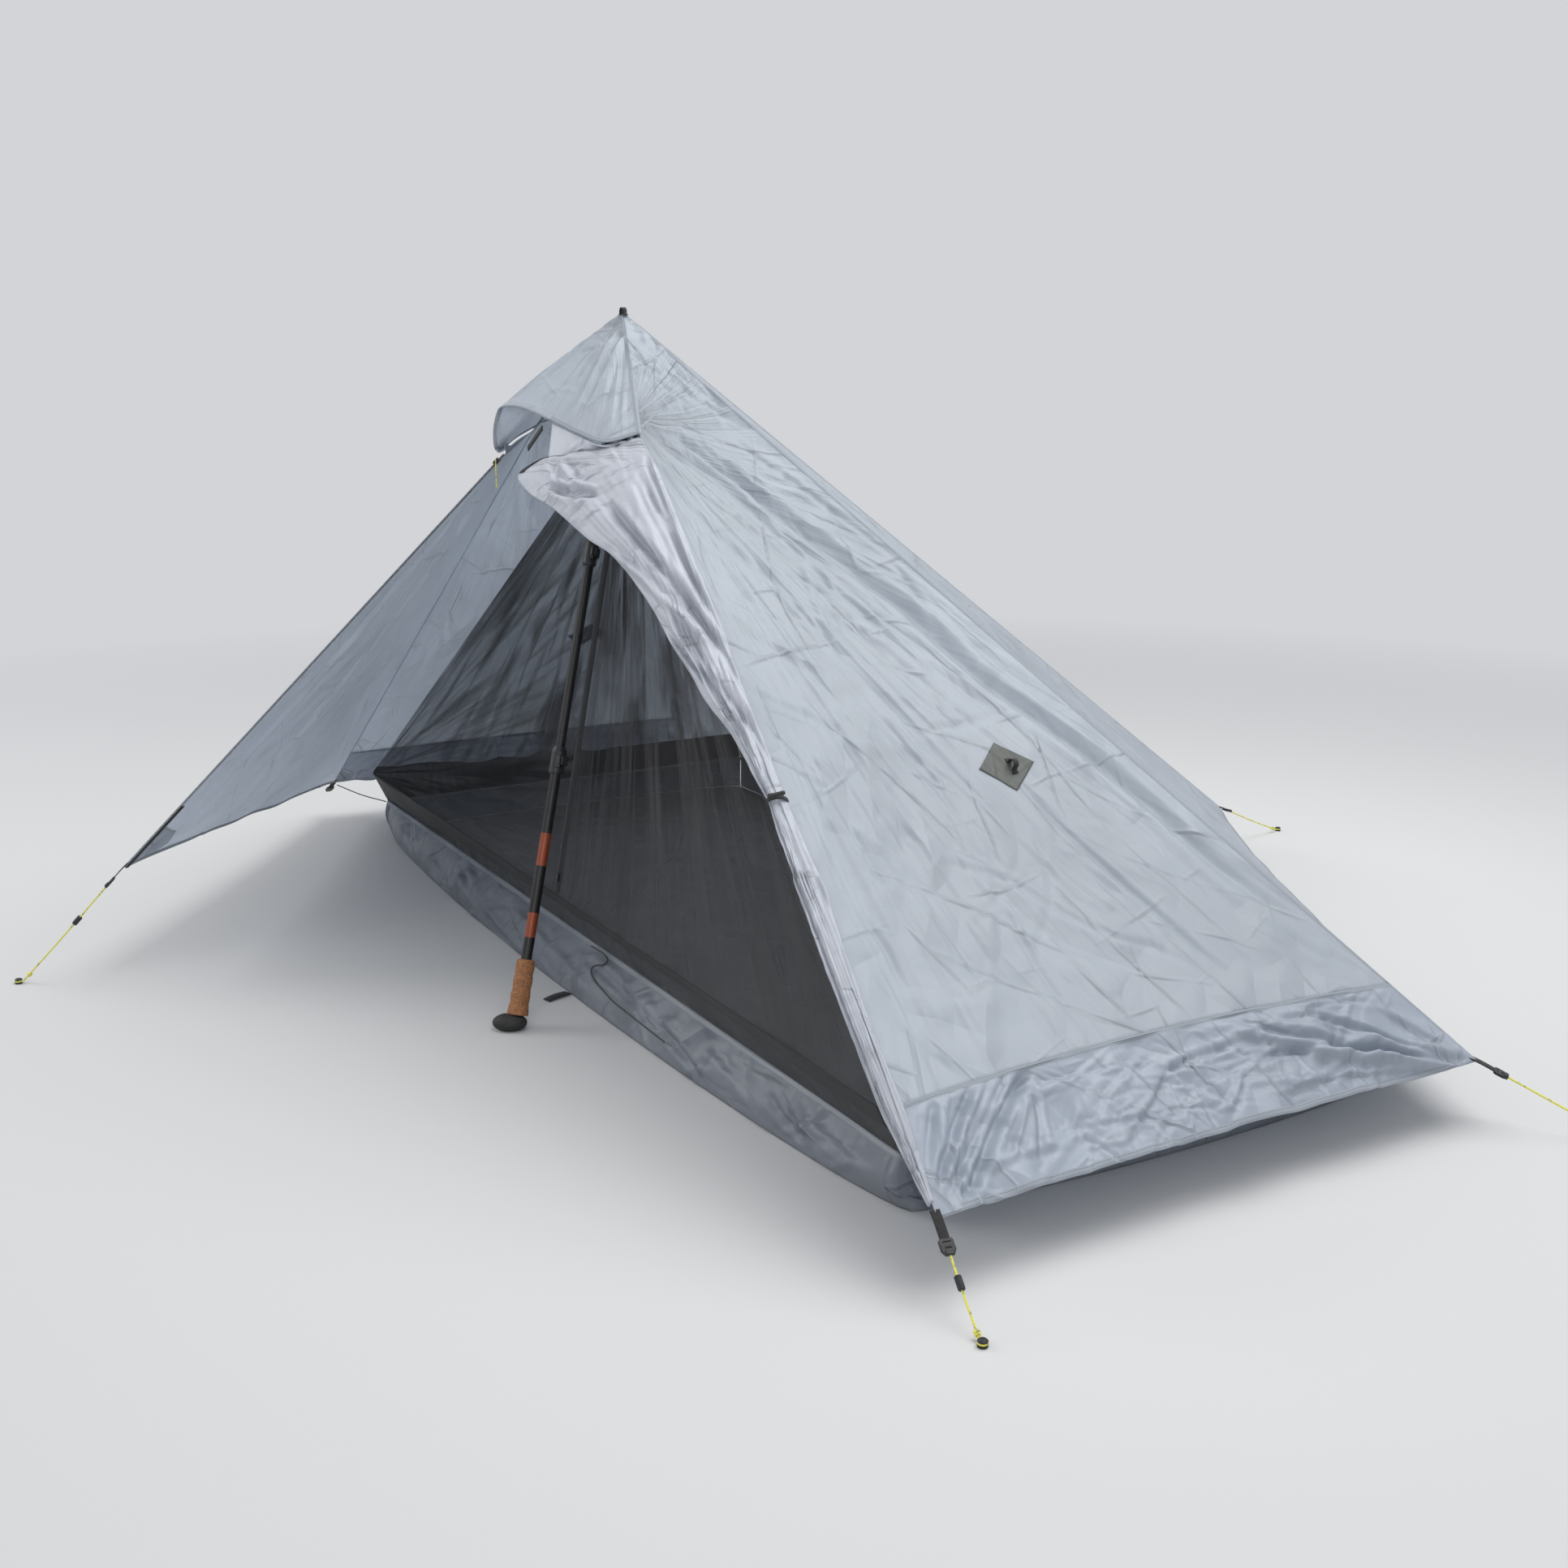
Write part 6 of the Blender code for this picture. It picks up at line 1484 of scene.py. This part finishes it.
# %% Net band
# shares along the sill, and how much of its height the band covers there
BAND_DEPTHS = ((0, 0.25, 0.5, 0.8, 1), (0.90, 0.62, 0.32, 0.38, 0.48))
sill_side = [at(-SILL_END_X, SILL_TOP_Y, SILL_TOP_Z), at(-SILL_END_X, net_front_foot_y, TUB_WALL_Z + 0.001)]
sill = sewn_panel(sill_side, [other_end(corner) for corner in sill_side], (1,), size=(10, 160))
sill = pressed(sill, 0.0014 * ripple(sill, 0.12, 90, np.array([1.0, 0, 0]), 2.0))
sill_piece = cloth_piece("net_sill", sill, net_finish, ["mesh_sill"], NET_THICKNESS, pull=INNER_PEAK)
x_share = np.linspace(0, 1, 161)
depth = np.interp(x_share, *BAND_DEPTHS)
lifted = sill + facing(sill) * 0.0010
band_rows = np.linspace(0, 1, 8)[:, None] * depth[None, :]
front_band = on_grid(lifted, np.broadcast_to(x_share, band_rows.shape), band_rows)
band_piece = cloth_piece("net_band_front", front_band, band_finish, (), 0.0008, pull=INNER_PEAK)
for word in ("end_left", "end_right", "back"):
    grid = sheets[word][0]
    rows = 9 if word.startswith("end") else 4
    low = grid[-rows:] + facing(grid)[-rows:] * 0.0012
    piece = cloth_piece(f"net_band_{word}", low, band_finish, (), 0.0006, pull=INNER_PEAK)
print("band rows done")

# %% [markdown]
# A straight zip divides the net front. It has a wide woven tape on each side of
# its coil and hangs from the peak strap.

# %% Net zip
net_way = unit(zip_head - zip_foot)
net_across = unit(np.array([1.0, 0, 0]) - net_way * net_way[0])
net_out = np.cross(net_way, net_across)
net_out = net_out * (1 if net_out[1] < 0 else -1)
start, end = zip_foot + net_way * 0.002, zip_head - net_way * 0.004
strap("net_zip_tape", straight(start, end, 60), net_across, 0.0235, 0.0009, ["mesh_zip"])
zip_coil("net_zip_coil", start, end, net_across, net_out, 0.0018, 0.0030, 0.00045, plastic_finish)
print("net zip", round(float(np.linalg.norm(end - start)), 3), "m")

# %% [markdown]
# The peak carries a small loop above, and inside it a capped strap holds up the
# net. Straps are ribbons of webbing along a path, so a loop is only a bent path.

# %% Peak loop and strap
top = PEAK + np.array([0, 0, -0.0048])
arch = [(-0.0125, 0.0007), (-0.0075, 0.0008), (-0.0061, 0.0035)]
arch += [(0.0061 * -math.cos(a), 0.0065 + 0.0062 * math.sin(a)) for a in np.linspace(0.1, math.pi - 0.1, 13)]
arch += [(0.0061, 0.0035), (0.0075, 0.0008), (0.0125, 0.0007)]
loop_line = np.array([top + np.array([a, 0.0, b]) for a, b in arch])
strap("apex_loop_webbing", loop_line, [0, 1, 0], 0.0090, 0.0014, ["apex_loop"])
cap_corners = [
    (at(-SILL_END_X, SILL_TOP_Y, SILL_TOP_Z), (-0.0015, -0.0040, 0.0020)),
    (zip_foot, (0.0, -0.0052, 0.0015)),
    (at(SILL_END_X, SILL_TOP_Y, SILL_TOP_Z), (0.0015, -0.0040, 0.0020)),
    (at(TUB_HALF_X, TUB_HALF_Y, TUB_WALL_Z), (0.0015, 0.0010, 0.0045)),
    (at(-TUB_HALF_X, TUB_HALF_Y, TUB_WALL_Z), (-0.0015, 0.0010, 0.0045)),
]
rim = np.array([near_inner_peak(corner, 0.062) + np.array(shift) for corner, shift in cap_corners])
rim = np.concatenate([rim, rim[:1]])
rim = read_off(np.linspace(0, 5, 41), np.arange(6), rim)
cap_top = INNER_PEAK + np.array([0, -0.001, 0.006])
cap = cap_top + (rim[None] - cap_top) * np.linspace(0.02, 1, 9)[:, None, None]
cloth_piece("peak_cap", cap, tape_finish, ["peak_strap"], 0.0010)
foot, hook = INNER_PEAK + np.array([0, 0.0006, 0.0050]), PEAK + np.array([0.0008, 0.0270, -0.0275])
strap("peak_hanging_strap", straight(foot, hook, 24), [1, 0, 0], 0.0100, 0.0013)
print("peak strap", round(float(np.linalg.norm(hook - foot)), 3), "m")

# %% [markdown]
# At every corner a tail of webbing ends in a line lock, a small moulded frame that
# grips the guyline. The frame is a flat outline with two slots, filled between its
# curves, extruded and rounded by the curve's own bevel.

# %% Corner straps and line locks
# where each guyline leaves the fly, and the foot of its anchor
ANCHORS = {
    "door": (DOOR_TIP, at(-0.411, -1.358, 0.0)),
    "front_right": (FRONT_CORNER, at(1.388, -0.571, 0.0)),
    "back_right": (BACK_CORNER, at(1.460, 0.520, 0.0)),
    "rear": (REAR_TIP, at(-0.050, 1.360, 0.0)),
}
BUCKLE_LENGTH, STRAP_LENGTH, LINE_R = 0.042, 0.026, 0.0015
DOOR_TIP_WEBBING = 0.150


def placed(origin, x, z):
    """A placement from its X and Z directions."""
    x = unit(x)
    z = unit(z - x * (z @ x))
    matrix = Matrix((x, np.cross(z, x), z)).transposed().to_4x4()
    return Matrix.Translation(Vector(origin)) @ matrix


def slotted_plate(name, outline, holes, thickness, rounding, matrix):
    """A moulded plate with holes, as a filled curve that is extruded and rounded."""
    curve = bpy.data.curves.new(name, "CURVE")
    curve.dimensions, curve.fill_mode = "2D", "BOTH"
    curve.extrude, curve.bevel_depth, curve.bevel_resolution = thickness / 2 - rounding, rounding, 2
    for loop in (outline, *holes):
        add_line(curve, [(*spot, 0) for spot in loop]).use_cyclic_u = True
    shape = bpy.data.objects.new(name + "_outline", curve)
    bpy.context.scene.collection.objects.link(shape)
    mesh = bpy.data.meshes.new_from_object(shape.evaluated_get(bpy.context.evaluated_depsgraph_get()))
    bpy.data.objects.remove(shape)
    mesh.transform(matrix)
    mesh.materials.clear()
    return place_piece(name, mesh, plastic_finish)


def cut_box(x0, x1, y1, cut):
    """A box about the middle line with its corners cut off."""
    far_side = [(x1, y1 - cut), (x1 - cut, y1), (x0 + cut, y1), (x0, y1 - cut)]
    return [(x, -y) for x, y in far_side[::-1]] + far_side


LOCK_SIDE = [(0.0098, 0.0048), (0.0040, 0.0085), (-0.0075, 0.0085), (-0.0095, 0.0068)]
LOCK_OUTLINE = [(-0.0095, -0.0068), (-0.0075, -0.0085), (0.0040, -0.0085), (0.0095, -0.0048), *LOCK_SIDE]
LOCK_SLOTS = [cut_box(-0.0070, -0.0046, 0.0058, 0.0007), cut_box(0.0000, 0.0030, 0.0046, 0.0008)]
LOCK_LIP = cut_box(-0.0026, 0.0026, 0.0046, 0.0012)
LOCK_START = STRAP_LENGTH - 0.001


ways = {word: (tip, unit(foot - tip)) for word, (tip, foot) in ANCHORS.items()}
for word, twin in (("front_left", "front_right"), ("back_left", "back_right")):
    tip, way = ways[twin]
    ways[word] = (other_end(tip), other_end(way))
for word, (tip, way) in ways.items():
    side = unit(np.cross(UP, way))
    out = np.cross(way, side)
    bow = np.sin(np.linspace(0, 3, 18))[:, None] * 0.0007
    line = straight(tip - way * 0.012, tip + way * (STRAP_LENGTH + 0.003), 18) + out * bow
    strap(f"corner_strap_{word}", line, side, 0.0135, 0.0016, [f"buckle_{word}"])
    frame_at = placed(tip + way * (LOCK_START + 0.010), way, UP)
    slotted_plate(f"line_lock_{word}", LOCK_OUTLINE, LOCK_SLOTS, 0.0046, 0.0009, frame_at)
    lip_at = placed(tip + way * (LOCK_START + 0.0165) + out * 0.0022, way, UP)
    slotted_plate(f"line_lock_lip_{word}", LOCK_LIP, [], 0.0030, 0.0010, lip_at)
for word, lift in (("outside", 0.0016), ("inside", -0.0016)):
    tip = DOOR_TIP + zip_into * 0.0150 + zip_out * lift
    line = straight(tip, tip - zip_way * DOOR_TIP_WEBBING, 12)
    strap(f"door_tip_webbing_{word}", line, zip_into, 0.0135, 0.0012)
print("line locks at", sorted(ways))

# %% [markdown]
# Each corner is reinforced with a second layer of cloth, sewn on as a patch that
# follows the panel. A patch is a piece of the panel's own grid, lifted a little,
# and its sewn edge is a narrow band of stitching laid on the panel.

# %% Reinforcing patches
right_end = ends["right"][3]
top_end = np.array(right_end.shape[:2]) - 1
PATCH_EDGE, PEAK_SEAM = ((776, 456), (823, 430)), ((789, 527), (846, 476))


def shares_seen(ends_px):
    return (cells_seen(right_end, np.linspace(*ends_px, 7)) / top_end)[:, ::-1]


patch_edge, peak_seam = shares_seen(PATCH_EDGE), shares_seen(PEAK_SEAM)
for word in ("right", "left"):
    skirt, upper = ends[word][2:]
    corners = [(0.01, 0.012), (0.99, 0.012), patch_edge[-1], patch_edge[0]]
    share_patch(f"patch_peak_{word}", upper, corners, fly_cloth)
    sewn_line(f"patch_peak_line_{word}", upper, patch_edge)
    sewn_line(f"peak_line_{word}", upper, peak_seam)
    for end, first, second in (("front", 0.0, 0.040), ("back", 1.0, 0.950)):
        corners = [(first, 0.62), (second, 0.76), (second, 0.985), (first, 0.985)]
        share_patch(f"patch_{end}_{word}", skirt, corners, shaded_skirt_cloth)
        sewn_line(f"patch_{end}_edge_{word}", skirt, corners[:2], count=30)
for word, grid in (("rear_right", backs["right"]), ("rear_left", backs["left"]), ("door", door)):
    edge, far = (0.0, 0.10) if word == "door" else (1.0, 0.90)
    corners = [(edge, 0.90), (far, 0.94), (far, 0.995), (edge, 0.995)]
    share_patch(f"patch_{word}", grid, corners, fly_cloth)
    sewn_line(f"patch_{word}_line", grid, corners[:2], count=30)
print("nine patches")

# %% [markdown]
# Half way down each end a square patch carries a loop for one more guyline.

# %% Guy-out loops
PATCH_CORNERS = ((0.680, 0.670), (0.735, 0.700), (0.627, 0.730), (0.575, 0.700))
LOOP_SPOT = (0.668, 0.701)
for side, word in ((1, "right"), (-1, "left")):
    grid = ends[word][3]
    share_patch(
        f"guyout_patch_{word}", grid, PATCH_CORNERS,
        patch_cloth, [f"guyout_{word}"], 0.0013, 0.0009,
    )
    normal = on_grid(facing(grid), *LOOP_SPOT)
    centre = on_grid(grid, *LOOP_SPOT) + normal * 0.0016
    way = unit(np.cross([0, 1, 0], normal)) * side
    line = np.array([centre + way * a * 1.15 + normal * b for a, b in arch])
    sideways = unit(np.cross(way, normal))
    strap(f"guyout_loop_{word}", line, sideways, 0.0100, 0.0014)
print("guy-out loops on both ends")

# %% [markdown]
# The gathered door is held by a strap that wraps it, with a toggle bar pushed
# through. The strap's path follows the roll's own section, a little above it.

# %% Toggle strap, vent strut and tab
spot, along, lap, half = ROLL_STATIONS[TOGGLE_STATION]


def crown(t):
    stand = np.sin(math.pi * np.clip(t, 0, 1))
    return 1.75 * half * stand**0.5 + 0.30 * half * stand


t = np.linspace(0.02, 1.0, 26)
over = roll_seat(spot, along, lap, t) + roll_out(t) * (crown(t) + 0.0028)[:, None]
end_way = unit(over[-1] - over[-6])
t_back = np.array([0.94, 0.86, 0.78, 0.70])
belly = 0.45 * half * np.sin(math.pi * t_back) * (t_back - 0.25) / 0.75
under = roll_seat(spot, along, lap, t_back) - roll_out(t_back) * (belly + 0.0030)[:, None]
turn_spot = roll_seat(spot, along, lap, np.array([1.0])) + end_way * 0.0022
wrap = smooth_line(np.concatenate([over[::3], over[-1:], turn_spot, under]), 60)
strap("toggle_strap_webbing", wrap, ridge_way, 0.0070, 0.0013, ["toggle_strap"])
STRUT_FOOT, STRUT_HEAD = at(-0.046, -0.5045, 0.9290), at(-0.008, -0.4925, 0.9650)
line = straight(STRUT_HEAD, STRUT_FOOT, 16)
strut_face = np.array([0.0, -1.0, 0.4])
strut_side = unit(np.cross(unit(STRUT_FOOT - STRUT_HEAD), strut_face))
strap("vent_strut_webbing", line, strut_side, 0.0125, 0.0022, ["vent_strut"], body="strut")
root = at(0.128, float(tub_front_y(0.128)) - 0.0042, 0.0024)
tab_end = at(0.142, -0.580, 0.0016)
line = straight(root, tab_end, 14) + UP * 0.002 * np.sin(np.linspace(0, math.pi, 14))[:, None]
strap("tub_pull_tab", line, unit(np.cross(UP, tab_end - root)), 0.018, 0.0014, ["tub_tab"])
print("strap, strut and tab ready")

# %% [markdown]
# Guylines are 3 mm braided cord. Each runs straight from its line lock to the
# neck of its anchor. The elastic ties and the loose pull cord of the tub are black.

# %% Cords
ANCHOR_R, ANCHOR_HEIGHT, CLEAR = 0.0065, 0.0090, 0.0004


def cord_curve(name, route, radius, stands_for=(), paint=yellow_braid):
    curve = bpy.data.curves.new(name, "CURVE")
    curve.dimensions = "3D"
    curve.bevel_depth, curve.bevel_resolution, curve.use_fill_caps = radius, 3, True
    add_line(curve, route)
    return place_piece(name, curve, paint, stands_for)


def ring_round(centre, first, second, radius, start=0.0):
    """Points once round a circle, that begins at an angle from its first direction."""
    angle = start + np.linspace(0, math.tau, 33)[:, None]
    return centre + (first * np.cos(angle) + second * np.sin(angle)) * radius


def line_length(route):
    return float(np.linalg.norm(np.diff(route, axis=0), axis=1).sum())


def stopper_knot(name, centre, way, radius):
    """A small overhand knot: a tight spiral round the cord."""
    side = unit(np.cross(way, UP))
    other = np.cross(way, side)
    angle = np.linspace(0, math.tau * 2.5, 40)
    spots = [
        centre + way * (a / math.tau - 1.25) * radius * 1.7
        + (side * math.cos(a) + other * math.sin(a)) * radius * 1.75
        for a in angle
    ]
    return cord_curve(name, spots, radius * 0.95)


for word, (tip, foot) in ANCHORS.items():
    way = unit(foot - tip)
    begin = tip + way * (0.003 + BUCKLE_LENGTH + 0.0004)
    flat = unit(np.array([tip[0] - foot[0], tip[1] - foot[1], 0]))
    last = foot + flat * (ANCHOR_R + LINE_R + CLEAR) + UP * ANCHOR_HEIGHT * 0.45
    middle = (begin + last) / 2 - UP * 0.0015
    route = smooth_line([begin, middle, last], 24)
    cord = cord_curve(f"guyline_{word}_braid", route, LINE_R, [f"guyline_{word}"])
    neck = foot + UP * ANCHOR_HEIGHT * 0.46
    ring = ring_round(neck, np.array([1, 0, 0]), np.array([0, 1, 0]), ANCHOR_R * 0.55 + LINE_R)
    loop = cord_curve(f"guyline_{word}_loop", ring, LINE_R)
    knot_spot = on_grid(np.array([route, route]), 0.93, 0.0)
    knot = stopper_knot(f"guyline_{word}_knot", knot_spot, way, LINE_R)
    print("guyline", word, round(line_length(route), 3), "m")

tub_corner = at(-TUB_HALF_X - 0.006, -TUB_HALF_Y - 0.008, TUB_WALL_Z - 0.004)
fly_corner = other_end(FRONT_CORNER) + np.array([0.012, 0.004, -0.0045])
route = smooth_line([tub_corner, (tub_corner + fly_corner) / 2 - UP * 0.004, fly_corner], 20)
tie = cord_curve("corner_tie_cord", route, 0.0012, ["corner_tie"], black_braid)
PULL_KNOTS = (
    (0.130, 0.96), (0.178, 0.97), (0.205, 0.93), (0.205, 0.84), (0.186, 0.76), (0.184, 0.66),
    (0.212, 0.56), (0.258, 0.50), (0.300, 0.45), (0.360, 0.43), (0.425, 0.41), (0.490, 0.39),
)
route = [tub_front(np.array(x), np.array(s)) + np.array([0, -0.0095, 0.004]) for x, s in PULL_KNOTS]
route = smooth_line(route, 40)
pull = cord_curve("tub_pull_cord", route, 0.0014, ["pull_cord"], black_braid)
print("pull cord", round(line_length(route), 3), "m")

# %% [markdown]
# The zip's pull is a short piece of thinner yellow cord, looped through the
# slider's wire and knotted near its end, so it swings on its own body.

# %% Zip pull
slider_spot = ZIP_TOP + zip_way * 0.022
pin = slider_spot - zip_into * 0.0075
swing = unit(np.array([zip_way[0], zip_way[1], 0]))
drop = pin - UP * 0.0006
side = unit(np.cross(swing, UP))
ring = ring_round(drop, side, UP, 0.0030, -math.pi / 2)
ring_piece = cord_curve("zip_pull_ring", ring, 0.0007)
wobble = side * 0.0004 * np.sin(np.linspace(0, 9, 18))[:, None]
tail_top = drop - UP * 0.0032
tail = straight(tail_top, tail_top - UP * 0.0425, 18) + wobble
pull_cord = cord_curve("zip_pull_cord", tail, 0.0010, ["zip_pull"])
bead = stopper_knot("zip_pull_knot", drop - UP * 0.034, -UP, 0.0011)
for piece in (ring_piece, pull_cord, bead):
    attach(piece, "door_pull")
print("zip pull", round(line_length(tail), 3), "m")

# %% [markdown]
# The floor is plain and pale and fades into the backdrop far away, so there is no
# horizon. One wide softbox overhead and behind gives the soft shadow under the
# tent, two smaller ones in front show the folds of the cloth, and the world fills
# the rest.

# %% Floor, light and backdrop
BACKDROP = (0.652, 0.658, 0.684)
FLOOR_REACH, FLOOR_Z = 60, -0.0004
floor_mesh = bpy.data.meshes.new("studio_floor")
floor_corners = [
    (x * FLOOR_REACH, y * FLOOR_REACH, FLOOR_Z) for x, y in ((-1, -1), (1, -1), (1, 1), (-1, 1))
]
floor_mesh.from_pydata(floor_corners, [], [(0, 1, 2, 3)])
floor = bpy.data.objects.new("studio_floor", floor_mesh)
bpy.context.scene.collection.objects.link(floor)
made, tree, skin = new_finish("studio floor", (0.61, 0.615, 0.625), 0.8)
skin.inputs["Specular IOR Level"].default_value = 0.1
place = add(tree, "TexCoord").outputs["Object"]
far = add(tree, "VectorMath", {0: place}, operation="LENGTH")
fade = spread(tree, far.outputs["Value"], 1.5, 4.6)
glow = add(tree, "Emission", Color=(*BACKDROP, 1), Strength=1.0)
both = add(tree, "MixShader", {0: fade, 1: skin.outputs[0], 2: glow.outputs[0]})
tree.links.new(both.outputs[0], tree.nodes["Material Output"].inputs["Surface"])
floor_mesh.materials.append(made)
floor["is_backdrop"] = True

world = bpy.data.worlds.new("studio")
bpy.context.scene.world = world
world.use_nodes = True
tree = world.node_tree
light = tree.nodes["Background"]
light.inputs[0].default_value, light.inputs[1].default_value = (0.95, 0.97, 1.0, 1), 0.54
seen = add(tree, "Background")
seen.inputs[0].default_value, seen.inputs[1].default_value = (*BACKDROP, 1), 1.0
path = add(tree, "LightPath")
reflected = maths(tree, "MAXIMUM", path.outputs["Is Glossy Ray"], path.outputs["Is Transmission Ray"])
shown = maths(tree, "MAXIMUM", path.outputs["Is Camera Ray"], reflected)
both = add(tree, "MixShader", {0: shown, 1: light.outputs[0], 2: seen.outputs[0]})
tree.links.new(both.outputs[0], tree.nodes["World Output"].inputs["Surface"])

LAMPS = (
    ("softbox_top", (0.7, 0.9, 3.4), (0.0, 0, 0.4), 3.0, 104),
    ("softbox_right", (4.2, -2.8, 2.0), (0.5, -0.5, 0.2), 2.6, 40),
    ("softbox_left", (-2.9, -3.4, 2.6), (-0.5, -0.6, 0.5), 2.4, 70),
)
for name, spot, target, size, power in LAMPS:
    lamp = bpy.data.lights.new(name, "AREA")
    lamp.size, lamp.energy, lamp.color = size, power, (1.0, 0.99, 0.97)
    stand = bpy.data.objects.new(name, lamp)
    stand.location = spot
    stand.rotation_euler = (Vector(target) - Vector(spot)).to_track_quat("-Z", "Y").to_euler()
    bpy.context.scene.collection.objects.link(stand)
print("lamps:", [name for name, *_ in LAMPS])

# %% Measure
low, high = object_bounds()
for word, box in (("CAD box", cad_box), ("visual box", (low, high))):
    print(word, [[round(x, 4) for x in corner] for corner in box])
